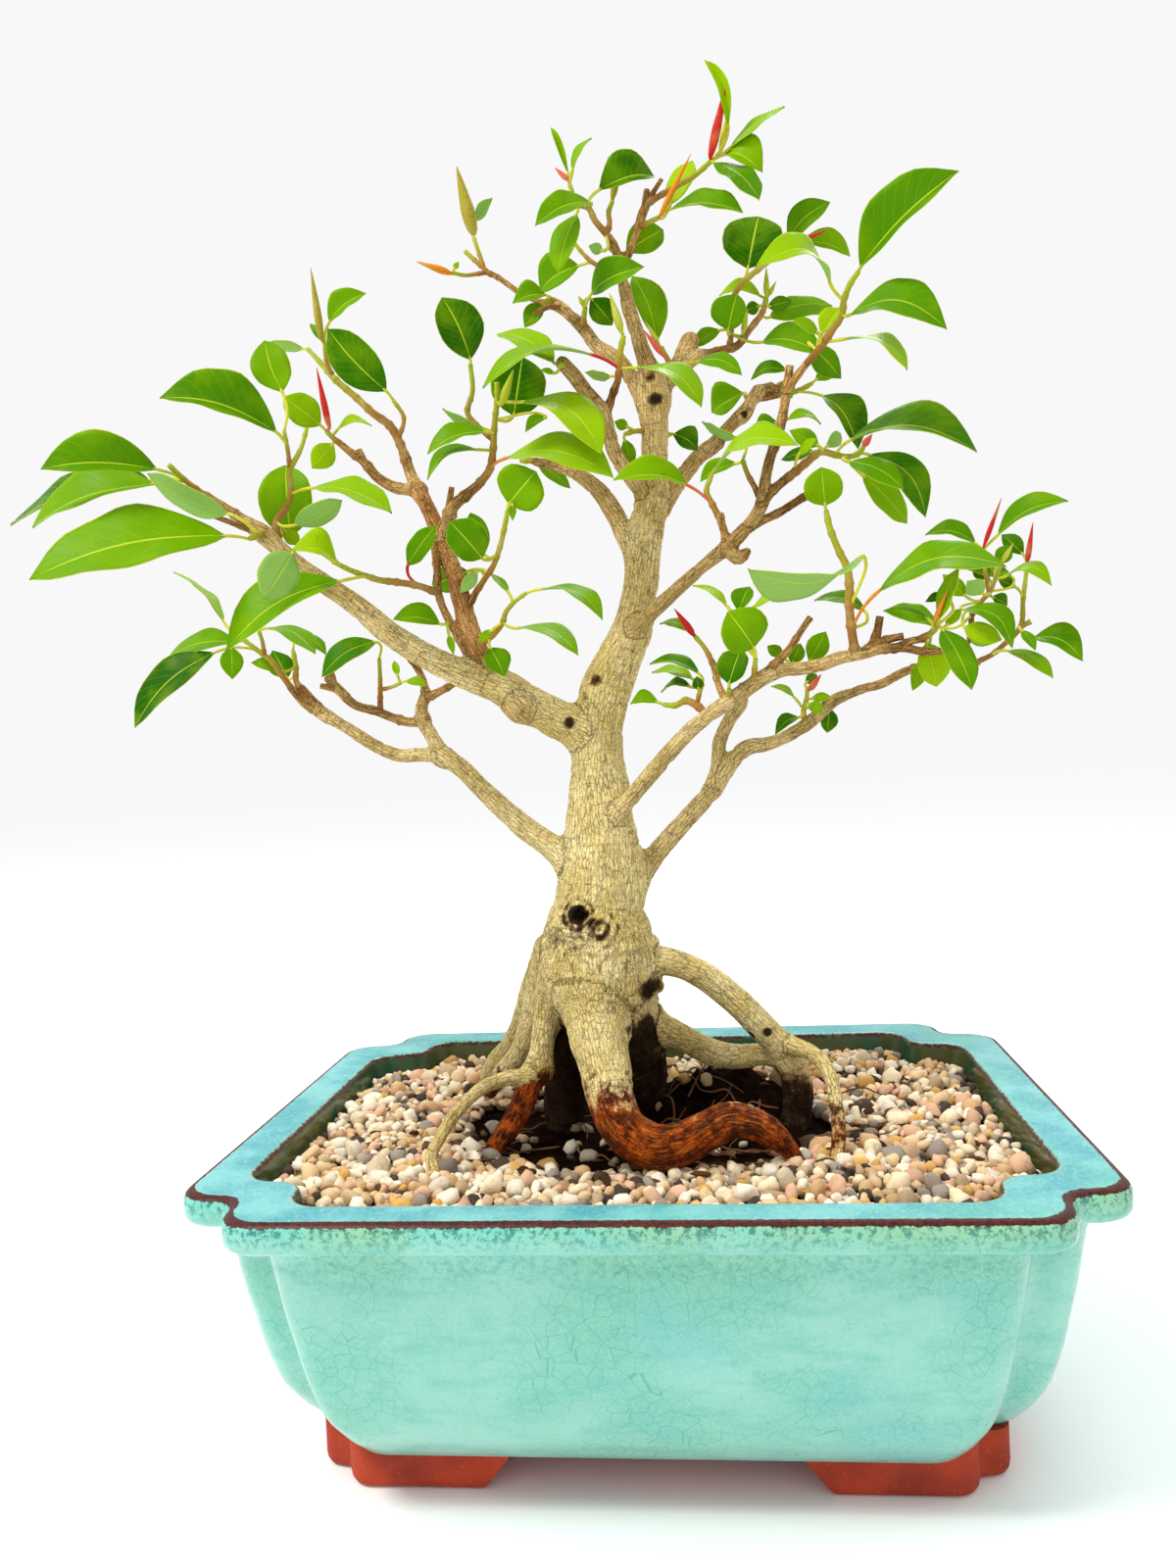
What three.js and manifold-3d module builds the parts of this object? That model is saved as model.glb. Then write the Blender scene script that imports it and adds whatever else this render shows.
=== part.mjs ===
// A small-leaf fig grown as a bonsai, with its roots laid bare, in a glazed pot with four feet.
// Millimetres, +Z up. The viewer stands on the -Y side, and the pot's foot ring rests on the plane Z = 0.
import * as THREE from "three";
import { mergeVertices } from "three/addons/utils/BufferGeometryUtils.js";
import Module from "manifold-3d";

const wasm = await Module();
wasm.setup();

// The pot
const potWidth = 250;
const potDepth = 201;
const potHeight = 92.4;
const footHeight = 12.5;
const wall = 8;
const rimFlat = 14.5;
const floorTop = 20;
const lobeRadius = 10;
const cornerRun = 28.5;
const drainRadius = 9;
const drainSpread = 110;

// The mesh squares over the drain holes
const screenSide = 30;
const screenThick = 1;
const screenBar = 1.4;
const screenCells = 3;

// The bed
const clearance = 0.3;
const soilTop = 79;
const gravelTop = 83;
const pebbleSpacing = 23;
const pebbleSize = 10.4;
const pebbleSink = 1.5;

// The plant
const woodSides = { trunk: 10, limb: 6, branch: 5, twig: 4 };
const straightWithin = 1.2;
const stemSides = 3;
const bladeThick = 1.2;
const petioleThick = 1.1;
const stalkThick = 0.75;
const endSink = 1.1;
const leastHalfWidth = 0.24;
const bladeArch = 0.05;

// How a place on the plant is read: the eye, and a picture 1200 wide and 1600 high with its middle at 600, 800
const eye = new THREE.Vector3(24.65, -386.4, 207.4);
const focal = 1229.2;
const middle = new THREE.Vector2(600, 800);
const yaw = THREE.MathUtils.degToRad(-6.04);
const pitch = THREE.MathUtils.degToRad(-1.71);
const roll = THREE.MathUtils.degToRad(-2.68);

const ahead = new THREE.Vector3(
  Math.sin(yaw) * Math.cos(pitch), Math.cos(yaw) * Math.cos(pitch), Math.sin(pitch));
const level = new THREE.Vector3(Math.cos(yaw), -Math.sin(yaw), 0);
const upright = level.clone().cross(ahead);
const pictureRight = level.clone().multiplyScalar(Math.cos(roll)).addScaledVector(upright, Math.sin(roll));
const pictureUp = upright.clone().multiplyScalar(Math.cos(roll)).addScaledVector(level, -Math.sin(roll));

// The point seen at a pixel, standing `behind` millimetres further back than the trunk's foot.
function spot([across, down, behind]) {
  const ray = ahead.clone().multiplyScalar(focal);
  ray.addScaledVector(pictureRight, across - middle.x);
  ray.addScaledVector(pictureUp, middle.y - down);
  return eye.clone().addScaledVector(ray, (behind - eye.y) / ray.y);
}

// Millimetres covered by one pixel at a point.
function millimetresPerPixel(point) {
  return point.clone().sub(eye).dot(ahead) / focal;
}

// Solids and meshes

function bare(geometry) {
  geometry.deleteAttribute("normal");
  geometry.deleteAttribute("uv");
  return mergeVertices(geometry);
}

function solid(geometry) {
  const merged = bare(geometry);
  return new wasm.Manifold(new wasm.Mesh({
    numProp: 3,
    vertProperties: new Float32Array(merged.getAttribute("position").array),
    triVerts: new Uint32Array(merged.getIndex().array),
  }));
}

function piece(name, body, look) {
  const { vertProperties, triVerts } = body.getMesh();
  const geometry = new THREE.BufferGeometry();
  geometry.setAttribute("position", new THREE.BufferAttribute(new Float32Array(vertProperties), 3));
  geometry.setIndex(new THREE.BufferAttribute(new Uint32Array(triVerts), 1));
  geometry.computeVertexNormals();
  const mesh = new THREE.Mesh(geometry, new THREE.MeshStandardMaterial(look));
  mesh.name = name;
  return mesh;
}

// A closed cylinder with the given sides and rings, every point of which goes where `place` says.
// `place` is given the ring's number and the side's number, or no side for the middle of an end.
// A pointed one is a cone: its last ring is a single point.
function bentCylinder(sides, rings, place, pointed = false) {
  const geometry = bare(new THREE.CylinderGeometry(1, pointed ? 0 : 1, 1, sides, rings - 1));
  const position = geometry.getAttribute("position");
  for (let i = 0; i < position.count; i += 1) {
    const ring = Math.round((0.5 - position.getY(i)) * (rings - 1));
    const turn = Math.atan2(position.getX(i), position.getZ(i)) / (2 * Math.PI);
    const onAxis = Math.hypot(position.getX(i), position.getZ(i)) < 0.01;
    const side = (Math.round(turn * sides) + sides) % sides;
    const point = onAxis ? place(ring) : place(ring, side);
    position.setXYZ(i, point.x, point.y, point.z);
  }
  return solid(geometry);
}

function box(width, depth, height, x, y, z) {
  const geometry = new THREE.BoxGeometry(width, depth, height);
  geometry.translate(x, y, z + height / 2);
  return solid(geometry);
}

function drum(radius, sides, x, y, low, high) {
  const geometry = new THREE.CylinderGeometry(radius, radius, high - low, sides);
  geometry.rotateX(Math.PI / 2);
  geometry.translate(x, y, (low + high) / 2);
  return solid(geometry);
}

const join = (bodies) => wasm.Manifold.union(bodies);

// The pot: a rectangle in plan, each corner two round lobes with a round bite between them

const biteRadius = 8;
const lobeSteps = 2;
const biteSteps = 2;

// The points of an arc about a centre, from one angle to another, in degrees.
function arc(x, y, radius, from, to, steps) {
  const points = [];
  for (let i = 0; i <= steps; i += 1) {
    const angle = THREE.MathUtils.degToRad(from + ((to - from) * i) / steps);
    points.push(new THREE.Vector2(x + radius * Math.cos(angle), y + radius * Math.sin(angle)));
  }
  return points;
}

// The plan's points, anticlockwise from above, starting on the right-hand side.
function plan(halfWidth, halfDepth) {
  const lobeGap = (cornerRun - lobeRadius) / Math.SQRT2;
  const reach = Math.sqrt((lobeRadius + biteRadius) ** 2 - lobeGap ** 2);
  const inset = (cornerRun + lobeRadius) / 2 - reach / Math.SQRT2;
  const lean = THREE.MathUtils.radToDeg(Math.atan2(lobeRadius - inset, cornerRun - inset));
  const x = halfWidth;
  const y = halfDepth;
  const corner = [
    ...arc(x - lobeRadius, y - cornerRun, lobeRadius, 0, 90 - lean, lobeSteps),
    ...arc(x - inset, y - inset, biteRadius, 270 - lean, 180 + lean, biteSteps).slice(1),
    ...arc(x - cornerRun, y - lobeRadius, lobeRadius, lean, 90, lobeSteps).slice(1),
  ];
  const mirrored = [...corner].reverse();
  const flip = (points, across, along) => points.map((p) => new THREE.Vector2(p.x * across, p.y * along));
  return [...corner, ...flip(mirrored, -1, 1), ...flip(corner, -1, -1), ...flip(mirrored, 1, -1)];
}

// A stack of plans. Each row is a height, and how far that plan stands in from the rim, to the sides
// and to the front and back.
function stack(rows) {
  const outlines = rows.map(([, inX, inY]) => plan(potWidth / 2 - inX, potDepth / 2 - inY));
  const last = rows.length - 1;
  return bentCylinder(outlines[0].length, rows.length, (ring, side) => {
    const row = last - ring;
    const point = side === undefined ? new THREE.Vector2(0, 0) : outlines[row][side];
    return new THREE.Vector3(point.x, point.y, rows[row][0]);
  });
}

// The pot's outer skin from its foot ring up to the flat of the rim
const outerRows = [
  [footHeight, 23.5, 36.9],
  [20, 19.6, 28.5],
  [30, 16, 21.4],
  [52, 12.1, 14.4],
  [80, 8.2, 8.8],
  [83.2, 2.4, 2.6],
  [85.6, 0, 0],
  [89.6, 0, 0],
  [potHeight, 2.4, 2.4],
];

// The skin of the hollow, from the floor up past the rim
const innerRows = [
  [floorTop, 22 + wall, 31 + wall],
  [34, 15 + wall, 19.6 + wall],
  [58, 11 + wall, 13 + wall],
  [potHeight - 8, rimFlat + 1.2, rimFlat + 1.2],
  [potHeight + 1, rimFlat, rimFlat],
];

const footFront = 60;
const footSide = 98.5;
const footInnerX = 49;
const footInnerY = 24;
const footWide = 15;
const footSlope = 12;
// The foot's outer corner, two lobes with a notch between them, counted from its furthest front and side
const footCorner = [[-14.5, 0], [-11, -2], [-10, -6], [-6, -9.5], [-2, -10.5], [0, -14]];

// One foot under a corner, an L in plan with sloping ends, its outer corner bitten like the pot's own.
function foot(signX, signY) {
  const L = new THREE.Shape([
    new THREE.Vector2(footInnerX, footFront),
    ...footCorner.map(([x, y]) => new THREE.Vector2(footSide + x, footFront + y)),
    new THREE.Vector2(footSide, footInnerY),
    new THREE.Vector2(footSide - footWide, footInnerY),
    new THREE.Vector2(footSide - footWide, footFront - footWide),
    new THREE.Vector2(footInnerX, footFront - footWide),
  ].reverse());
  const geometry = new THREE.ExtrudeGeometry(L, { depth: footHeight + 3, bevelEnabled: false });
  const position = geometry.getAttribute("position");
  const shift = (value, end) => (Math.abs(value - end) < 0.01 ? end - footSlope : value);
  for (let i = 0; i < position.count; i += 1) {
    if (position.getZ(i) > 1) {
      position.setX(i, shift(position.getX(i), footInnerX));
      position.setY(i, shift(position.getY(i), footInnerY));
    }
  }
  let body = solid(geometry);
  if (signX < 0) {
    body = body.mirror([1, 0, 0]);
  }
  return signY < 0 ? body.mirror([0, 1, 0]) : body;
}

function makePot() {
  const feet = [foot(1, 1), foot(-1, 1), foot(-1, -1), foot(1, -1)];
  const body = join([stack(outerRows), ...feet]);
  const drains = [-1, 1].map(
    (sign) => drum(drainRadius, 16, (sign * drainSpread) / 2, 0, 0, floorTop + 5));
  return body.subtract(join([stack(innerRows), ...drains]));
}

// The mesh square over a drain hole
function makeScreen(sign) {
  const x = (sign * drainSpread) / 2;
  const low = floorTop + clearance;
  const cell = (screenSide - screenBar * (screenCells + 1)) / screenCells;
  const holes = [];
  for (let i = 0; i < screenCells; i += 1) {
    for (let j = 0; j < screenCells; j += 1) {
      const across = (i - (screenCells - 1) / 2) * (cell + screenBar);
      const along = (j - (screenCells - 1) / 2) * (cell + screenBar);
      holes.push(box(cell, cell, screenThick * 3, x + across, along, low - screenThick));
    }
  }
  return box(screenSide, screenSide, screenThick, x, 0, low).subtract(join(holes));
}

// The wood. Each row is a place seen: across, down, how far behind the trunk's foot, and how thick there.
const wood = {
  trunk: ["trunk", [
    [612, 985, 0, 35], [612, 960, 0, 33], [610, 935, 0, 30], [615, 900, 0, 28], [614, 850, 1, 22.6],
    [612, 815, 2, 20.5], [610, 775, 3, 17.3], [612, 735, 4, 15.8], [619, 700, 4, 16.6], [630, 675, 3, 14.8],
    [645, 642, 2, 12.6], [653, 605, 0, 11.5], [656, 570, -1, 11], [660, 535, -1, 11.2], [666, 505, -1, 10.4],
    [668, 470, 0, 8.6], [668, 440, 0, 8.6], [667, 410, 0, 9.6], [665, 388, 0, 9]]],
  stump: ["limb", [
    [612, 975, 0, 34], [620, 1012, 2, 32], [632, 1046, 8, 27], [648, 1085, 14, 20], [659, 1120, 21, 15],
    [665, 1155, 26, 12], [667, 1180, 26, 10]]],
  root_arch: ["limb", [
    [640, 975, -2, 12], [665, 979, -2, 9.4], [687, 982, -1, 8.8], [712, 992, 0, 8.8], [738, 1011, 2, 9],
    [760, 1030, 3, 9.2], [779, 1049, 5, 9.4], [797, 1068, 7, 9.8], [809, 1086, 9, 10], [814, 1110, 10, 10],
    [812, 1151, 10, 10], [810, 1190, 10, 9]]],
  root_arch_front: ["branch", [
    [806, 1066, 4, 6], [830, 1076, -3, 5], [846, 1096, -12, 4.4], [853, 1127, -22, 4.2],
    [856, 1154, -29, 4.2], [854, 1184, -34, 4], [852, 1212, -37, 3.6]]],
  root_inner: ["branch", [
    [650, 1035, 4, 12], [677, 1049, 8, 9.4], [703, 1062, 12, 8.8], [728, 1074, 15, 8.6], [751, 1078, 16, 8],
    [778, 1076, 14, 7.4], [803, 1080, 10, 7]]],
  root_front: ["limb", [
    [604, 990, -3, 19], [607, 1020, -8, 18.4], [609, 1046, -12, 17.4], [613, 1071, -17, 16.4],
    [620, 1103, -24, 14.8],
    [626, 1131, -30, 13.8], [640, 1155, -35, 13.6], [666, 1170, -38, 13.4], [697, 1167, -38, 12.4],
    [722, 1154, -37, 11.4], [744, 1143, -36, 10.2], [767, 1146, -35, 9.8], [789, 1158, -34, 8.2],
    [806, 1174, -33, 5.4], [820, 1196, -33, 3.4]]],
  root_core: ["limb", [
    [596, 985, 6, 22], [588, 1020, 10, 20], [582, 1060, 14, 17], [578, 1100, 16, 15], [576, 1150, 17, 13]]],
  root_left: ["limb", [
    [590, 968, 0, 12], [570, 987, 0, 9.6], [561, 1014, 1, 8.8], [556, 1046, 1, 8.4], [553, 1071, 0, 8],
    [550, 1092, -2, 8.4]]],
  root_left_runner: ["branch", [
    [553, 1092, -2, 7], [536, 1098, -5, 5.6], [516, 1101, -9, 4.8], [496, 1108, -14, 4.2],
    [476, 1124, -22, 4], [461, 1142, -30, 4], [449, 1161, -37, 3.8], [440, 1181, -43, 3.6],
    [448, 1206, -48, 3.4], [452, 1226, -50, 3]]],
  root_left_back: ["branch", [
    [562, 968, 4, 8], [544, 1005, 14, 6.6], [534, 1038, 26, 6.2], [523, 1065, 36, 7],
    [509, 1086, 46, 9.4], [498, 1104, 54, 9], [492, 1120, 58, 7]]],
  root_orange: ["branch", [
    [548, 1088, -2, 7.4], [537, 1116, -5, 8], [526, 1141, -10, 7.6], [511, 1163, -16, 6.8],
    [499, 1182, -20, 6], [492, 1204, -22, 5]]],
  limb_low_left: ["limb", [
    [592, 890, -1, 12], [572, 871, -1, 9], [555, 858, 1, 7.8], [535, 844, 4, 7.4], [510, 822, 8, 7],
    [490, 803, 12, 6.4], [470, 783, 16, 6.2], [450, 770, 18, 6]]],
  branch_low_left: ["branch", [
    [456, 773, 18, 6], [430, 770, 20, 4.9], [408, 771, 22, 4.6], [385, 762, 25, 4.5], [350, 740, 29, 4.3],
    [328, 728, 32, 4.2]]],
  twig_low_left_inner: ["twig", [[334, 731, 31, 3.8], [319, 715, 33, 3.1], [308, 702, 33.5, 2.7]]],
  twig_low_left_outer: ["twig", [[336, 732, 31, 3.8], [311, 718, 32, 2.9], [296, 701, 31, 2.6]]],
  branch_low_riser: ["branch", [
    [452, 775, 18, 5.4], [443, 755, 18, 5.2], [433, 738, 19, 4.8], [430, 724, 19, 4.3],
    [434, 708, 19, 3.2], [430, 690, 20, 2.5], [418, 671, 21, 2.2], [402, 652, 22, 1.8]]],
  twig_low_stub: ["twig", [[434, 713, 19, 3.2], [448, 706, 18, 2.8], [463, 698, 17, 2.2]]],
  branch_low_knuckle: ["twig", [
    [434, 734, 19, 3.8], [420, 737, 20, 3.3], [403, 733, 21, 3.1], [385, 726, 23, 3.1], [360, 718, 25, 3.1],
    [348, 706, 26, 3.6], [335, 693, 27, 3]]],
  stub_knuckle_out: ["twig", [[345, 703, 26, 2.6], [327, 700, 25, 2]]],
  stub_knuckle_up: ["twig", [[341, 697, 27, 2.4], [337, 683, 28, 1.9]]],
  stub_knuckle_leaf: ["twig", [[388, 727, 23, 2.4], [388, 713, 23, 1.9]]],
  limb_left: ["limb", [
    [603, 755, 2, 13], [582, 741, 0, 13], [552, 725, -4, 12], [520, 706, -8, 11], [480, 690, -13, 9.4],
    [440, 672, -18, 8], [400, 648, -23, 7.4], [360, 615, -28, 6.4], [320, 588, -32, 5.6],
    [290, 564, -35, 5.2], [268, 545, -37, 5.8], [246, 529, -39, 3.2], [225, 515, -40, 2.6],
    [207, 504, -41, 2.2]]],
  stub_left: ["twig", [[264, 544, -38, 2.2], [238, 534, -41, 1.7], [219, 527, -43, 1.5]]],
  branch_red: ["branch", [
    [532, 720, -8, 11], [518, 705, -9, 8.8], [504, 690, -10, 7.4], [486, 661, -12, 6.8],
    [475, 630, -12, 6.5], [468, 600, -11, 6.2], [456, 566, -8, 5.8], [440, 526, -3, 5], [426, 498, 1, 4.7]]],
  twig_red_side: ["twig", [
    [478, 668, -12, 3.2], [462, 640, -14, 2.6], [449, 612, -15, 2.4], [446, 582, -13, 2.4],
    [443, 552, -7, 2.6]]],
  twig_red_high: ["twig", [[429, 505, 0, 4.4], [420, 486, 3, 3.8], [412, 463, 5, 3.2]]],
  twig_red_left: ["twig", [
    [430, 500, 1, 4.2], [402, 497, 0, 3.7], [385, 487, -1, 3.3], [371, 471, -3, 2.8], [356, 460, -5, 2.4],
    [344, 450, -6, 2]]],
  stub_red_left: ["twig", [[371, 470, -3, 2.4], [366, 459, -3, 2]]],
  branch_red_right: ["twig", [
    [450, 556, -7, 5], [456, 533, -8, 4.4], [463, 516, -9, 3.8], [476, 505, -10, 3.3], [489, 494, -11, 2.8]]],
  stub_red_right: ["twig", [[457, 524, -8, 2.6], [459, 510, -9, 2], [461, 497, -10, 1.8]]],
  twig_red_low: ["twig", [[474, 624, -12, 3], [481, 613, -14, 2.3], [488, 600, -14, 2]]],
  limb_upper_left: ["branch", [
    [654, 570, -1, 8.4], [638, 546, 2, 6.7], [625, 520, 6, 6.2], [610, 500, 10, 5.6], [591, 485, 14, 4.6],
    [568, 476, 18, 3.6], [546, 471, 22, 2.8]]],
  limb_upper_middle: ["branch", [
    [666, 525, -1, 6.4], [656, 503, -4, 5.2], [644, 487, -6, 5], [629, 465, -9, 4.8], [621, 442, -12, 4.6],
    [614, 419, -14, 4.6], [598, 400, -17, 4.5], [583, 380, -20, 4.6], [574, 371, -21, 4.4]]],
  twig_upper_middle: ["twig", [[616, 432, -12, 2.8], [624, 406, -14, 2.4], [631, 387, -15, 2]]],
  limb_upper_high: ["branch", [
    [664, 422, 0, 6.6], [644, 385, 4, 5], [629, 365, 7, 4.7], [610, 354, 9, 4.5], [595, 335, 12, 4.3],
    [579, 319, 14, 4.1], [563, 308, 16, 3.6]]],
  twig_upper_high: ["twig", [
    [569, 312, 15.5, 3], [546, 306, 18, 2], [528, 297, 20, 1.9], [511, 285, 23, 1.8], [500, 278.5, 24.5, 1.7]]],
  stub_upper_high: ["twig", [[572, 313, 14, 2.2], [558, 314, 10, 1.6], [546, 320, 8, 1.4]]],
  leader: ["branch", [
    [668, 408, 0, 8.6], [665, 388, 0, 7], [656, 360, -1, 5.4], [649, 337, -2, 4.9], [641, 312, -4, 4.4],
    [636, 286, -5, 3.8], [632, 264, -6, 3.4]]],
  leader_left: ["twig", [[633, 270, -6, 3], [627, 252, -7, 2.6], [621, 241, -8, 2.3]]],
  leader_right: ["twig", [
    [635, 270, -6, 3], [642, 258, -5, 2.5], [649, 238, -3, 2.2], [655, 216, -1, 2.1], [661, 206, 0, 2.4]]],
  stub_black: ["twig", [[660, 208, 0, 1.9], [668, 194, 0, 1.6], [675, 183, 0, 1.5]]],
  stub_leader: ["twig", [[658, 211, 0, 2.2], [660, 194, 1, 2]]],
  leader_side: ["twig", [[635, 286, -5, 1.9], [621, 277, -3, 1.6], [610, 270, -1, 1.5]]],
  limb_top_right: ["branch", [
    [672, 405, 0, 6.4], [683, 387, 1, 5], [696, 376, 3, 4.7], [714, 363, 5, 4.5], [723, 361, 7, 3],
    [738, 357, 10, 2.7], [752, 353, 13, 2.6], [762, 340, 16, 2.4], [770, 330, 18, 2.2], [777, 321, 20, 2.1]]],
  stump_top_right: ["branch", [[686, 386, 2, 5], [696, 366, 5, 6], [704, 349, 7, 6.4]]],
  limb_middle_right: ["branch", [
    [674, 517, 1, 7], [690, 495, 5, 5.6], [700, 482, 8, 5.4], [714, 465, 13, 5], [732, 449, 17, 4.7],
    [746, 434, 21, 4.4], [760, 421, 24, 5.4], [766, 411, 26, 4.2], [774, 399, 28, 4.4]]],
  stub_middle_right: ["twig", [[770, 402, 28, 3.6], [784, 396, 30, 3.4], [794, 397, 31, 2.6]]],
  twig_middle_right: ["twig", [[768, 406, 27, 3], [786, 405, 30, 2.1], [804, 401, 33, 1.9]]],
  stub_broken: ["twig", [[734, 453, 16, 3.4], [720, 464, 15, 2.8], [706, 467, 16, 2.4]]],
  limb_right: ["branch", [
    [648, 640, -3, 7], [661, 629, -9, 4.9], [677, 614, -14, 4.5], [698, 595, -18, 4.2], [721, 575, -22, 4.1],
    [740, 560, -25, 4.4], [754, 547, -27, 4.1], [766, 534, -29, 3.8], [776, 518, -31, 3.8],
    [781, 490, -33, 3.2], [786, 467, -34, 2.9], [794, 445, -35, 2.8], [799, 422, -36, 2.7],
    [803, 396, -37, 2.5], [806, 373, -38, 2.3]]],
  knob_right: ["twig", [[742, 560, -26, 4], [755, 569, -28, 4.2], [762, 563, -29, 2.6]]],
  twig_right_dark: ["twig", [[777, 514, -32, 3], [789, 500, -32, 2.7], [803, 488, -31, 2.6]]],
  twig_right_low: ["twig", [
    [746, 555, -27, 3.6], [759, 541, -29, 3.1], [778, 531, -28, 2.7], [797, 522, -27, 2.5],
    [817, 509, -26, 2.3], [825, 505, -26, 2.5]]],
  twig_right_small: ["twig", [[744, 563, -26, 3], [740, 546, -26, 2.5], [733, 524, -25, 2.1]]],
  stub_right_small: ["twig", [[738, 540, -27, 2], [736, 524, -30, 1.6]]],
  twig_right_thin: ["twig", [[778, 513, -31, 2.2], [768, 493, -32, 1.6]]],
  twig_right_high: ["twig", [[802, 400, -37, 2.6], [813, 384, -39, 2.2], [827, 366, -42, 2]]],
  limb_lower_right: ["branch", [
    [620, 842, -3, 9], [638, 821, -9, 5.8], [664, 790, -14, 5.2], [683, 768, -17, 5], [702, 747, -20, 4.9],
    [721, 731, -22, 4.8], [740, 718, -24, 4.7], [759, 705, -26, 4.7], [778, 692, -28, 4.7],
    [797, 685, -29, 4.1], [818, 682, -31, 4], [836, 679, -32, 3.9], [855, 672, -34, 3.9],
    [875, 668, -35, 3.6], [901, 662, -37, 2.9], [922, 661, -38, 2.5], [943, 665, -40, 2.2],
    [966, 664, -41, 1.8]]],
  twig_lower_right: ["twig", [
    [775, 695, -27, 3], [790, 678, -29, 2.5], [804, 664, -30, 2.3], [812, 652, -31, 2.1],
    [820, 640, -31, 2], [827, 630, -32, 2.1]]],
  fork_lower_right: ["twig", [[912, 663, -37, 2.6], [930, 654, -39, 2.1], [943, 652, -41, 2]]],
  stub_lower_right: ["twig", [[884, 662, -36, 2.6], [904, 653, -36, 2.3], [922, 649, -37, 2.1]]],
  knob_lower_right: ["twig", [[887, 664, -36, 3], [894, 649, -34, 2.5], [898, 629, -34, 2.2]]],
  twig_inner_right: ["twig", [[742, 718, -24, 2.8], [733, 698, -18, 2.1], [728, 678, -14, 2.2]]],
  limb_lowest_right: ["branch", [
    [643, 903, 0, 9.6], [663, 879, 4, 7.2], [683, 855, 7, 6.5], [702, 834, 9, 6.1], [721, 813, 11, 5.8],
    [736, 794, 13, 5.6], [748, 775, 14, 5.8], [762, 763, 15, 5.4], [783, 759, 17, 4.6], [813, 746, 20, 4.4],
    [832, 732, 22, 4.5], [851, 715, 24, 4.2], [874, 705, 26, 3.4], [901, 697, 29, 3.2],
    [922, 686, 31, 3], [942, 679, 33, 2.4], [975, 678, 34, 1.9], [1000, 676, 35, 1.8]]],
  branch_behind_right: ["branch", [
    [727, 805, 12, 6], [733, 780, 15, 4.9], [734, 759, 17, 4.7], [744, 735, 19, 4.5], [757, 715, 21, 4.2],
    [757, 700, 22, 2.6]]],
  twig_far_right: ["twig", [[973, 679, 34, 2.2], [988, 655, 32, 1.8], [992, 622, 30, 1.7]]],
};

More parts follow.
